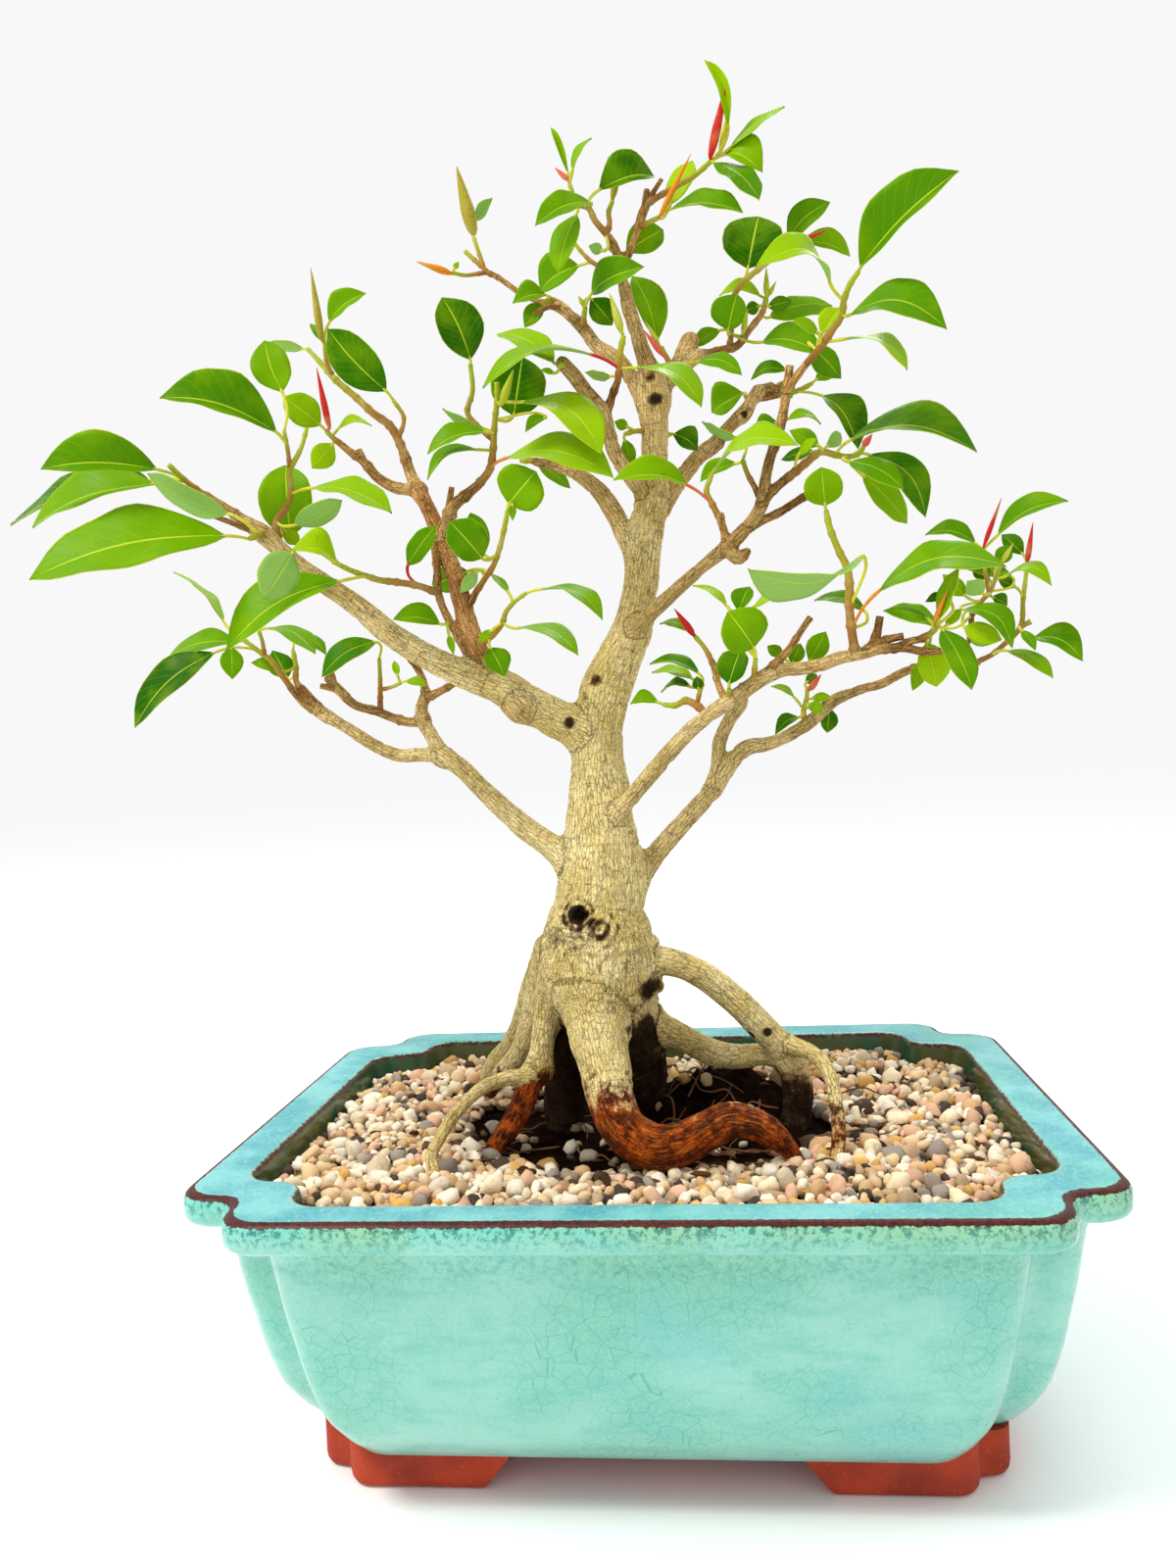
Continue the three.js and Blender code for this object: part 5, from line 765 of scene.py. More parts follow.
        [3, 611, 194, -8, 668, 179, -2, 26, 6, 3, "d"], [5, 580, 178, -12, 562, 130, -10, 3.5, 3.5, -2, "b"],
        [5, 584, 175, -13, 602, 140, -16, 3.5, 3.5, 3, "b"], [1, 639, 257, 3, 677, 234, 7, 18, 14, 0, ""],
        [1, 615, 256, -12, 601, 251, -15, 6, 6, 0, "u"]
    ], "spears": [
        [9, 625, 203, -4, 632, 166, -5, 2.3, "olive"], [5, 580, 184, -12, 566, 171, -13, 1.8, "pink"]
    ]},
    "shoot_top_right": {"stems": [
        [[659, 209, -0.3, 2.2], [668, 203, -2, 2], [690, 190, -4, 1.8], [710, 178, -6, 1.7],
         [726, 164, -7, 1.6]]
    ], "leaves": [
        [4, 743, 130, -9, 718, 60, -11, 6, 6, -9, "b"], [4, 745, 151, -8, 800, 108, -13, 4, 4, 0, "b"],
        [4, 741, 157, -6, 778, 174, -10, 22, 6, 3, "b"], [4, 729, 166, -10, 775, 203, -20, 10, 11, 3, ""]
    ], "spears": [
        [4, 725, 160, -9, 742, 82, -13, 2.8, "red"], [4, 735, 155, -7, 746, 104, -8, 2.2, "yellow"]
    ]},
    "shoot_top_right_low": {"stems": [
        [[651, 232, -2.4, 2], [662, 227, -5, 1.7], [672, 222, -7, 1.5]]
    ], "leaves": [
        [2, 685, 213, -9, 758, 216, -18, 13, 4, 3, ""], [2, 684, 209, 4, 706, 162, 8, 11, 12, 0, "b"]
    ], "spears": [
        [2, 674, 219, -9, 705, 157, -12, 2, "orange"]
    ]},
    "shoot_centre": {"stems": [
        [[685, 385, 1.2, 2], [683, 371, -3, 1.8], [674, 354, -5, 1.6]]
    ], "leaves": [
        [2, 671, 347, 4, 645, 281, 9, 12, 19, -3, ""], [1, 712, 369, -4, 757, 381, -9, 8, 8, 5, ""]
    ], "spears": [
        [1, 676, 362, -7, 657, 337, -10, 2, "pink"], [2, 671, 349, -8, 658, 327, -9, 1.6, "green"]
    ]},
    "shoot_upper_twig": {"stems": [
        [[630, 391, -14.8, 2.1], [632, 376, -16, 2], [633, 360, -17, 1.9], [636, 343, -17, 1.7]]
    ], "leaves": [
        [1, 604, 362, -21, 492, 394, -34, 3, 7, -13, "b", "red"],
        [1, 650, 375, -19, 716, 415, -30, 12, 8, 10, "b"], [1, 624, 384, -11, 597, 380, -8, 5, 5, 0, "u"]
    ], "spears": [
        [3, 634, 338, -17, 622, 299, -17, 2.6, "green"]
    ]},
    "shoot_upper_knob": {"stems": [
        [[581, 378, -20.4, 2.6], [571, 371, -23, 1.6]]
    ], "leaves": [
        [1, 565, 370, -20, 507, 338, -12, 11, 12, -4, "b"], [1, 566, 381, -23, 552, 377, -25, 3, 3, 0, "b"]
    ]},
    "shoot_upper_end": {"stems": [
        [[567, 311, 15.7, 2.4], [560, 303, 13, 1.6]]
    ], "leaves": [
        [1, 557, 301, 14, 523, 309, 11, 5, 15, -2, ""], [1, 554, 310, 13, 535, 334, 13, 8, 11, 0, ""]
    ]},
    "shoot_leader_side": {"stems": [
        [[613, 272, -1.4, 1.5], [605, 268, 0, 1.4], [596, 260, 1, 1.3], [586, 248, 2, 1.3]]
    ], "leaves": [
        [1, 591, 271, 3, 551, 297, 7, 10, 22, -3, ""]
    ]},
    "shoot_upper_fruiting": {"stems": [
        [[595, 335, 12, 2], [596, 322, 6, 1.8], [597, 314, 3, 1.7]]
    ], "leaves": [
        [2, 604, 299, -4, 657, 272, -18, 19, 9, 3, ""], [2, 603, 305, 6, 625, 332, 9, 15, 13, 0, "d"]
    ], "spears": [
        [2, 596, 312, 3, 590, 302, 2, 1.8, "green"]
    ]},
    "shoot_top_right_end": {"stems": [
        [[774, 325, 19.2, 2.2], [779, 316, 20, 1.8], [782, 304, 20, 1.6]]
    ], "leaves": [
        [1, 783, 313, 23, 808, 307, 26, 8, 8, 0, "d"], [1, 775, 312, 23, 760, 317, 22, 7, 7, 0, "d"],
        [1, 785, 324, 26, 850, 310, 32, 10, 13, 3, ""], [2, 776, 302, 23, 734, 300, 25, 3, 9, -5, "b"]
    ], "spears": [
        [2, 782, 302, 19, 782, 273, 17, 2, "green"], [2, 784, 302, 20, 792, 287, 20, 1.6, "green"]
    ]},
    "shoot_right_crown": {"stems": [
        [[744, 356, 11.3, 2], [746, 341, 12, 1.8], [747, 320, 13, 1.8], [749, 303, 12, 1.9],
         [757, 289, 10, 2], [766, 281, 9, 1.9], [778, 272, 8, 1.7], [790, 262, 7, 1.6], [801, 251, 6, 1.5]]
    ], "leaves": [
        [4, 763, 274, 12, 774, 220, 17, 30, 28, 0, "rd"], [8, 804, 245, 5, 847, 206, 0, 16, 10, 4, ""],
        [8, 818, 246, 9, 868, 260, 11, 15, 4, 2, "b"], [1, 743, 337, 7, 752, 300, 4, 21, 13, 0, "r"],
        [1, 735, 337, 16, 707, 355, 17, 7, 9, -2, ""], [1, 778, 349, 5, 840, 361, -4, 18, 8, 5, ""]
    ], "spears": [
        [8, 805, 251, 4, 846, 234, -3, 1.7, "red"], [1, 758, 340, 9, 763, 315, 9, 2, "green"]
    ]},
    "shoot_middle_right_inner": {"stems": [
        [[766, 411, 26, 2], [760, 403, 30, 1.5]]
    ], "leaves": [
        [1, 758, 401, 33, 726, 421, 38, 10, 22, 0, ""]
    ]},
    "shoot_middle_right_stub": {"stems": [
        [[789, 396.5, 30.5, 2], [800, 390, 31, 1.5], [806, 384, 31, 1.3]]
    ], "leaves": [
        [2, 803, 378, 33, 766, 387, 38, 5, 8, -5, "d"], [1, 801, 393, 27, 808, 406, 22, 8, 7, 0, "b"]
    ]},
    "shoot_middle_right_end": {"stems": [
        [[799, 402, 32.2, 2], [812, 399.5, 34.5, 1.8], [822, 395, 36, 1.7], [829, 391, 36, 1.5]]
    ], "leaves": [
        [1, 839, 404, 29, 876, 458, 21, 22, 7, 5, "d"], [3, 832, 388, 37, 856, 373, 39, 9, 8, 0, ""]
    ]},
    "shoot_right_top": {"stems": [
        [[823, 371, -41.2, 2.1], [834, 358, -43.5, 2], [841, 349, -45, 2.3], [851, 334, -47, 2],
         [859, 322, -48, 1.8], [861, 307, -49, 1.7], [868, 289, -50, 1.6], [876, 277, -51, 1.5]]
    ], "leaves": [
        [7, 878, 273, -52, 977, 173, -66, 34, 8, 2, ""], [4, 868, 321, -51, 966, 333, -63, 22, 12, 15, ""],
        [2, 862, 346, -48, 927, 374, -57, 6, 5, 10, "b"], [1, 838, 341, -44, 857, 314, -41, 13, 9, 0, "b"],
        [1, 835, 340, -48, 809, 326, -53, 5, 7, 0, "b"], [5, 847, 289, -52, 773, 268, -66, 5, 13, -20, "b"],
        [1, 827, 352, -38, 859, 386, -35, 12, 15, 0, ""]
    ]},
    "shoot_right_dark": {"stems": [
        [[798, 492, -31.3, 2.7], [812, 481, -30.5, 2.5], [824, 471, -29.5, 2.4], [838, 461, -28, 2.2],
         [852, 464, -27, 1.9], [864, 466, -27, 1.7], [877, 462, -26, 1.6], [881, 456, -26, 1.5]]
    ], "leaves": [
        [4, 868, 449, -31, 997, 455, -46, 22, 5, 12, "d", "yellow"],
        [6, 886, 464, -25, 946, 526, -26, 17, 15, 12, "d"], [5, 866, 471, -34, 922, 499, -42, 10, 12, 4, ""],
        [5, 880, 485, -19, 926, 534, -14, 14, 12, 0, "b"], [3, 843, 456, -22, 858, 442, -16, 7, 8, 0, "u"],
        [3, 835, 455, -33, 806, 439, -36, 9, 10, 0, ""], [1, 815, 464, -34, 833, 447, -40, 5, 5, 0, "b"],
        [3, 831, 461, -22, 797, 469, -16, 6, 7, 0, "d"]
    ], "spears": [
        [7, 881, 455, -26, 890, 443, -27, 2.4, "pink"]
    ]},
    "shoot_right_upright": {"stems": [
        [[799, 421, -36, 2], [798, 428, -32, 1.5]]
    ], "leaves": [
        [1, 794, 432, -30, 770, 441, -27, 4, 11, -3, ""], [1, 803, 428, -30, 838, 432, -26, 5, 4, 6, ""]
    ]},
    "shoot_right_small": {"stems": [
        [[735, 530, -25.2, 2.1], [726, 513, -24, 1.8], [721, 502, -24, 1.6], [726, 485, -26, 1.4]]
    ], "leaves": [
        [3, 728, 481, -29, 814, 454, -45, 12, 7, 15, "b"],
        [1, 701, 495, -28, 627, 487, -37, 5, 18, -4, "b", "pink"]
    ]},
    "shoot_right_thin": {"stems": [
        [[770, 497, -31.8, 1.7], [762, 482, -31, 1.5], [758, 470, -30, 1.4]]
    ], "leaves": [
        [2, 752, 473, -24, 714, 491, -18, 4, 11, -2, ""], [2, 752, 447, -24, 716, 431, -20, 5, 5, 0, "u"]
    ]},
    "shoot_trunk_left": {"stems": [
        [[666, 441, 0, 2], [648, 440, -4, 1.6], [637, 443, -5, 1.4]]
    ], "leaves": [
        [2, 637, 448, -5, 645, 477, -3, 8, 7, 0, ""], [1, 641, 436, -6, 627, 430, -8, 6, 6, 0, "b"]
    ]},
    "shoot_trunk_right": {"stems": [
        [[668, 445, 0, 2], [684, 443, 8, 1.5]]
    ], "leaves": [
        [1, 687, 443, 9, 712, 459, 11, 15, 9, 2, "d"]
    ]},
    "shoot_riser": {"stems": [
        [[873, 669, -35, 2.8], [869, 642, -36, 2.6], [867, 621, -37, 2.5], [867, 601, -38, 2.4],
         [864, 578, -39, 2.2], [857, 564, -39, 2], [851, 550, -39, 1.9], [846, 536, -39, 1.8],
         [843, 521, -39, 1.5]]
    ], "leaves": [
        [8, 842, 516, -40, 838, 477, -45, 19, 19, 0, "rb"],
        [2, 878, 568, -52, 764, 584, -76, 14, 9, 13, "u", "yellow"],
        [1, 883, 624, -31, 831, 612, -27, 5, 8, -5, "d"],
        [1, 897, 603, -42, 1026, 575, -54, 17, 14, 15, "", "orange"]
    ]},
    "shoot_far_right": {"stems": [
        [[994, 676.5, 34.8, 1.9], [1012, 668, 35, 1.8], [1024, 658, 35, 1.8], [1041, 640, 35, 1.8],
         [1044, 612, 34, 1.6], [1048, 577, 33, 1.4]],
        [[1041, 640, 35, 1.8], [1052, 634, 34, 1.8]]
    ], "leaves": [
        [5, 1044, 566, 34, 1022, 545, 37, 8, 10, 0, "d"], [3, 1054, 651, 34, 1105, 674, 26, 18, 8, 8, ""],
        [1, 1028, 664, 30, 1075, 691, 23, 7, 7, 4, "b"], [3, 1042, 643, 30, 1057, 663, 25, 6, 5, 0, ""],
        [4, 1036, 599, 31, 1018, 590, 29, 6, 6, 0, "d"]
    ], "spears": [
        [5, 1048, 575, 33, 1054, 533, 31, 2, "red"]
    ]},
    "shoot_far_right_inner": {"stems": [
        [[992, 628, 30.3, 1.8], [1002, 613, 29, 1.7], [1010, 604, 28, 1.6], [1016, 590, 27, 1.4],
         [1023, 573, 27, 1.3]],
        [[1009, 605, 28, 1.4], [1006, 588, 24, 1.3], [1003, 561, 22, 1.3]]
    ], "leaves": [
        [7, 1018, 546, 20, 1090, 511, 10, 15, 5, 6, ""], [7, 996, 555, 24, 944, 545, 28, 4, 12, -6, ""],
        [3, 1026, 588, 24, 1073, 597, 15, 7, 6, 12, "b"], [1, 985, 608, 24, 962, 586, 20, 9, 9, 0, "b"],
        [2, 1034, 590, 30, 982, 577, 36, 6, 7, 0, ""], [0, 984, 640, 27, 1022, 653, 20, 11, 11, 0, "b"],
        [0, 960, 640, 32, 905, 622, 30, 8, 9, -3, ""], [3, 1018, 576, 31, 1030, 556, 33, 9, 9, 0, ""],
        [2, 1009, 591, 31, 994, 575, 34, 9, 9, 0, "d"], [2, 1003, 606, 24, 987, 593, 19, 10, 11, 0, "ub"],
        [2, 1012, 609, 32, 1028, 618, 34, 9, 6, 0, "d"], [1, 982, 622, 22, 1034, 660, 14, 13, 9, 12, ""],
        [1, 984, 640, 33, 1018, 655, 36, 11, 12, 0, "u"]
    ], "spears": [
        [7, 1004, 557, 21, 1022, 508, 19, 1.7, "red"], [4, 1024, 572, 26, 1034, 554, 25, 1.6, "yellow"]
    ]},
    "shoot_lower_right_end": {"stems": [
        [[938, 652.5, -40.3, 2.1], [950, 646, -42, 1.8], [957, 638, -43, 1.6]]
    ], "leaves": [
        [2, 961, 642, -46, 993, 702, -54, 15, 13, 0, ""], [1, 945, 656, -36, 956, 701, -34, 18, 14, 0, "b"],
        [1, 943, 672, -31, 931, 705, -27, 9, 7, 0, "b"], [1, 948, 632, -44, 902, 622, -46, 9, 6, 0, ""],
        [2, 958, 632, -47, 978, 580, -52, 8, 8, 0, "b"], [2, 967, 611, -38, 944, 614, -36, 4, 6, -2, "d"],
        [2, 965, 639, -40, 981, 621, -38, 6, 6, 0, "b"]
    ], "spears": [
        [2, 954, 633, -47, 967, 602, -52, 1.6, "orange"]
    ]},
    "shoot_inner_right_tip": {"stems": [
        [[730, 683, -15, 2], [719, 661, -13, 1.5], [709, 649, -12, 1.4]]
    ], "leaves": [
        [2, 702, 644, -9, 673, 635, -2, 5, 6, -3, "b"]
    ], "spears": [
        [2, 708, 648, -12.5, 688, 621, -18, 2.3, "red"]
    ]},
    "shoot_inner_right": {"stems": [
        [[769, 698, -27, 2], [770, 683, -30, 1.6], [771, 672, -32, 1.4]]
    ], "leaves": [
        [2, 769, 661, -33, 743, 624, -37, 22, 26, 0, "r"], [2, 754, 624, -28, 765, 598, -25, 14, 8, 0, ""],
        [2, 768, 620, -30, 824, 602, -36, 6, 6, 4, "b"], [2, 742, 619, -30, 707, 597, -28, 3.5, 4.5, -3, "b"]
    ]},
    "shoot_inner_right_dark": {"stems": [
        [[743, 716, -24, 2], [744, 703, -28, 1.4]]
    ], "leaves": [
        [1, 744, 698, -28, 756, 663, -26, 17, 12, 0, "rd"]
    ]},
    "shoot_inner_right_low": {"stems": [
        [[722, 730, -22, 2.6], [711, 720, -19, 2.4], [700, 715, -17, 2.2], [688, 720, -15, 1.8],
         [677, 719, -14, 1.3]],
        [[711, 720, -19, 1.6], [714, 706, -18, 1.4], [717, 698, -17, 1.3]]
    ], "leaves": [
        [4, 672, 717, -14, 643, 718, -11, 3, 11, -2, "b"], [6, 713, 704, -22, 711, 690, -24, 6, 6, 0, "d"],
        [7, 705, 701, -14, 674, 705, -9, 2, 6, -4, "d"], [7, 707, 693, -12, 665, 686, -7, 5, 5, -4, "b"],
        [7, 714, 688, -18, 663, 677, -16, 3, 8, -5, "d"]
    ]},
    "shoot_lowest_right": {"stems": [
        [[822, 739, 21, 2], [820, 725, 20, 1.7], [823, 713, 19, 1.5], [824, 702, 18, 1.4]]
    ], "leaves": [
        [2, 828, 713, 21, 849, 711, 24, 5, 5, 0, "b"], [1, 826, 718, 15, 840, 727, 11, 7, 6, 0, "b"],
        [3, 822, 697, 20, 834, 688, 22, 6, 6, 0, "d"], [1, 811, 712, 18, 787, 700, 16, 3, 4, -2, "b"],
        [1, 815, 732, 14, 791, 749, 8, 5, 9, -3, "d"], [1, 846, 722, 29, 844, 748, 32, 10, 8, 0, "d"]
    ], "spears": [
        [3, 826, 704, 17, 838, 688, 16, 2.4, "red"]
    ]},
    "shoot_lower_right_back": {"stems": [
        [[808, 684, -30, 2], [810, 680, -24, 1.5]]
    ], "leaves": [
        [1, 808, 678, -20, 817, 656, -16, 9, 9, 0, ""], [1, 826, 675, -21, 843, 644, -19, 12, 12, 0, ""],
        [1, 799, 671, -22, 783, 659, -20, 6, 7, 0, ""]
    ]},
}


# Pieces

class Piece:
    """The points, faces and painted values of one piece of the object while it is being made."""

    def __init__(self, name, looks, values=()):
        self.name = name
        self.looks = looks
        self.points = []
        self.faces = []
        self.face_looks = []
        self.values = {value: [] for value in values}

    def add(self, points, faces, look=0, **values):
        start = len(self.points)
        self.points.extend(points)
        self.faces.extend([tuple(corner + start for corner in face) for face in faces])
        self.face_looks.extend([look] * len(faces))
        for name, kept in self.values.items():
            value = values.get(name, 0.0)
            kept.extend(value if hasattr(value, "__len__") else [value] * len(points))

    def set_down(self, slot, *nodes):
        """Make the object, in the place of these solids."""
        mesh = bpy.data.meshes.new(self.name)
        points = np.array(self.points, float) / 1000 + np.array(POT_MIDDLE)
        mesh.from_pydata(points.tolist(), [], self.faces)
        for finish in self.looks:
            mesh.materials.append(finish)
        mesh.polygons.foreach_set("material_index", self.face_looks)
        mesh.polygons.foreach_set("use_smooth", [True] * len(self.faces))
        for name, kept in self.values.items():
            kept = np.array(kept, np.float32)
            kind, field = ("FLOAT_VECTOR", "vector") if kept.ndim == 2 else ("FLOAT", "value")
            mesh.attributes.new(name, kind, "POINT").data.foreach_set(field, kept.ravel())
        mesh.update()
        made = bpy.data.objects.new(self.name, mesh)
        bpy.context.scene.collection.objects.link(made)
        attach(made, "root")
        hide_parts(*nodes)
        return made


def smooth_path(rows, step):
    """Rows that start with x, y, z, joined by a smooth curve and read about every `step` millimetres."""
    rows = np.asarray(rows, float)
    lengths = np.r_[0, np.cumsum(np.linalg.norm(np.diff(rows[:, :3], axis=0), axis=1))]
    slopes = np.gradient(rows, lengths, axis=0)
    at = np.linspace(0, lengths[-1], max(int(lengths[-1] / step), 2) + 1)
    start = np.clip(np.searchsorted(lengths, at, side="right") - 1, 0, len(rows) - 2)
    span = (lengths[start + 1] - lengths[start])[:, None]
    t = (at - lengths[start])[:, None] / span
    first = (2 * t ** 3 - 3 * t ** 2 + 1) * rows[start] + (t ** 3 - 2 * t ** 2 + t) * span * slopes[start]
    second = (3 * t ** 2 - 2 * t ** 3) * rows[start + 1] + (t ** 3 - t ** 2) * span * slopes[start + 1]
    return first + second


def frames_along(points):
    """Two directions across the path at each of its points, turned as little as they can be."""
    ways = np.gradient(points, axis=0)
    ways /= np.linalg.norm(ways, axis=1)[:, None]
    aside = np.cross(ways[0], (0, 0, 1) if abs(ways[0][2]) < 0.9 else (1, 0, 0))
    sides, ups = [], []
    for way in ways:
        aside = aside - way * np.dot(aside, way)
        aside = aside / np.linalg.norm(aside)
        sides.append(aside)
        ups.append(np.cross(way, aside))
    return np.array(sides), np.array(ups), ways


def sleeve(rings):
    """The points and faces of a skin over rings of as many points each. Its two ends are the last faces."""
    rings = np.asarray(rings)
    count, sides = rings.shape[:2]
    faces = []
    for ring in range(count - 1):
        low, high = ring * sides, (ring + 1) * sides
        for side in range(sides):
            after = (side + 1) % sides
            faces.append((low + side, low + after, high + after, high + side))
    faces.append(tuple(reversed(range(sides))))
    faces.append(tuple(range((count - 1) * sides, count * sides)))
    return rings.reshape(-1, 3), faces


def round_tube(path, sides):
    """Rings about a path whose rows are x, y, z, radius."""
    across, up, _ = frames_along(path[:, :3])
    turns = np.linspace(0, 2 * math.pi, sides, endpoint=False)
    circle = (np.cos(turns)[None, :, None] * across[:, None] + np.sin(turns)[None, :, None] * up[:, None])
    return path[:, None, :3] + circle * path[:, 3][:, None, None]


def with_scars(path, draw, spacing, height):
    """The path with the rings that fallen leaves and buds leave on it."""
    lengths = np.r_[0, np.cumsum(np.linalg.norm(np.diff(path[:, :3], axis=0), axis=1))]
    path = path.copy()
    at = spacing * draw.uniform(0.3, 0.9)
    while at < lengths[-1]:
        swell = np.exp(-((lengths - at) / (0.35 + path[0, 3] * 0.22)) ** 2)
        path[:, 3] *= 1 + height * draw.uniform(0.5, 1.4) * swell
        at += spacing * draw.uniform(0.6, 1.6)
    return path


# The pot

def arc(x, y, radius, start, end, steps):
    """Points along part of a circle, from one angle to another, in degrees."""
    turns = np.radians(np.linspace(start, end, steps + 1))
    return [(x + radius * math.cos(turn), y + radius * math.sin(turn)) for turn in turns]


def pot_plan(half_width, half_depth):
    """The pot's outline from above, anticlockwise: at each corner two lobes with a bite between them."""
    lobe_gap = (CORNER_RUN - LOBE_RADIUS) / math.sqrt(2)
    reach = math.sqrt((LOBE_RADIUS + BITE_RADIUS) ** 2 - lobe_gap ** 2)
    inset = (CORNER_RUN + LOBE_RADIUS) / 2 - reach / math.sqrt(2)
    lean = math.degrees(math.atan2(LOBE_RADIUS - inset, CORNER_RUN - inset))
    side_lobe = arc(half_width - LOBE_RADIUS, half_depth - CORNER_RUN, LOBE_RADIUS, 0, 90 - lean, ARC_STEPS)
    bite = arc(half_width - inset, half_depth - inset, BITE_RADIUS, 270 - lean, 180 + lean, ARC_STEPS)
    end_lobe = arc(half_width - CORNER_RUN, half_depth - LOBE_RADIUS, LOBE_RADIUS, lean, 90, ARC_STEPS)
    corner = side_lobe + bite[1:] + end_lobe[1:]
    mirrored = corner[::-1]
    quarters = ((corner, 1, 1), (mirrored, -1, 1), (corner, -1, -1), (mirrored, 1, -1))
    return np.array([(x * across, y * along) for part, across, along in quarters for x, y in part])


# Height, and how far the skin stands in from the rim to the sides and to the front and back
BODY_ROWS = [
    (12.5, 23.5, 36.9), (14, 22.5, 34.4), (17, 21.1, 31.4), (20, 19.8, 28.5), (23, 19.0, 25.9),
    (26.5, 17.4, 23.5), (30, 16.4, 21.4), (36, 15.0, 19.0), (42, 13.8, 17.0), (48, 12.9, 15.4),
    (54, 12.0, 14.1), (60, 11.0, 12.6), (66, 10.2, 11.4), (72, 9.5, 10.4), (77, 8.8, 9.5), (80.4, 8.1, 8.7),
    (81.8, 7.2, 7.7), (82.9, 4.6, 4.9), (83.6, 2.6, 2.8)]
# The same for the rim's band, and then how brown the glaze breaks there
RIM_ROWS = [
    (84.0, 1.5, 0.1), (84.7, 0.6, 0.0), (85.8, 0.1, 0.0), (87.5, 0.0, 0.0), (89.4, 0.0, 0.0),
    (90.6, 0.1, 0.1), (91.4, 0.5, 0.55), (92.0, 1.1, 1.0), (92.35, 1.9, 0.9), (92.4, 2.8, 0.25),
    (92.35, 4.0, 0.0),
    (92.25, 7.5, 0.0), (92.2, 11.6, 0.0), (92.1, 12.9, 0.1), (91.8, 13.8, 0.45), (91.2, 14.4, 0.62),
    (90.2, 14.7, 0.4), (88.5, 14.9, 0.0)]
# The same for the inner wall, down to the floor
INNER_ROWS = [(84.4, 15.7, 15.7), (76, 17.0, 17.4), (58, 19, 21), (34, 23, 27.6), (20, 30, 39)]


def pot_piece(finish, clay):
    rows = [(z, x, y, 0, 0.35 * eased(z, 68, 82), 0, 0) for z, x, y in BODY_ROWS]
    rows += [(z, inset, inset, edge, eased(z, 84, 91) * (inset < 1.5), eased(inset, 1.0, 3.4) * (z > 92),
              eased(inset, 13.6, 14.6)) for z, inset, edge in RIM_ROWS]
    rows += [(z, x, y, 0, 0, 0, 1) for z, x, y in INNER_ROWS]
    rings, painted = [], []
    for z, in_x, in_y, *values in rows:
        outline = pot_plan(POT_WIDTH / 2 - in_x, POT_DEPTH / 2 - in_y)
        rings.append([(x, y, z) for x, y in outline])
        painted.extend([values] * len(outline))
    edge, apron, flat, inner = np.array(painted, float).T.tolist()
    pot = Piece("glazed_body", [finish, clay], ("edge", "apron", "flat", "inner"))
    points, faces = sleeve(rings)
    pot.add(points, faces, edge=edge, apron=apron, flat=flat, inner=inner)
    made = pot.set_down("glazed_pot", "pot")
    # The underside is bare clay
    made.data.polygons[len(faces) - 2].material_index = 1
    for sign in (-1, 1):
        drill(made, (sign * DRAIN_SPREAD / 2, 0, FLOOR_TOP), DRAIN_RADIUS, 2 * FLOOR_TOP)
    settle(made)
    return made


def drill(made, middle, radius, depth):
    """Cut a round hole through an object."""
    turns = np.linspace(0, 2 * math.pi, DRAIN_SIDES, endpoint=False)
    circle = [(middle[0] + radius * math.cos(turn), middle[1] + radius * math.sin(turn)) for turn in turns]
    rings = [[(x, y, middle[2] + rise) for x, y in circle] for rise in (-depth / 2, depth / 2)]
    points, faces = sleeve(rings)
    mesh = bpy.data.meshes.new("drill")
    mesh.from_pydata((np.array(points) / 1000 + np.array(POT_MIDDLE)).tolist(), [], faces)
    cutter = bpy.data.objects.new("drill", mesh)
    bpy.context.scene.collection.objects.link(cutter)
    cutter.hide_render = True
    cut = made.modifiers.new("hole", "BOOLEAN")
    cut.operation = "DIFFERENCE"
    cut.solver = "EXACT"
    cut.object = cutter


def settle(made):
    """Cut an object's holes into its mesh, and take away what cut them."""
    tools = [modifier.object for modifier in made.modifiers if modifier.type == "BOOLEAN"]
    bpy.context.view_layer.update()
    evaluated = made.evaluated_get(bpy.context.evaluated_depsgraph_get())
    finished = bpy.data.meshes.new_from_object(evaluated)
    made.modifiers.clear()
    made.data = finished
    for tool in tools:
        bpy.data.objects.remove(tool)


# One foot from above: an L whose outer corner has two lobes with a notch between them
FOOT_INNER_X = 49
FOOT_INNER_Y = 24
FOOT_PLAN = ([(FOOT_INNER_X, 60)] + arc(81.5, 53, 7, 90, 12, 7) + [(88.9, 51.8), (90.6, 50.8)]
             + arc(93, 44.7, 5.5, 80, 0, 6)
             + [(98.5, FOOT_INNER_Y), (83.5, FOOT_INNER_Y), (83.5, 45), (FOOT_INNER_X, 45)])
# How far up the foot's slope each ring of its skin lies, and how far its lower edge is rounded in
FOOT_RINGS = [(0, 2.8), (0.25, 1.9), (0.9, 0.9), (2, 0.25), (3.6, 0), (14, 0)]
FOOT_SLOPE = 11


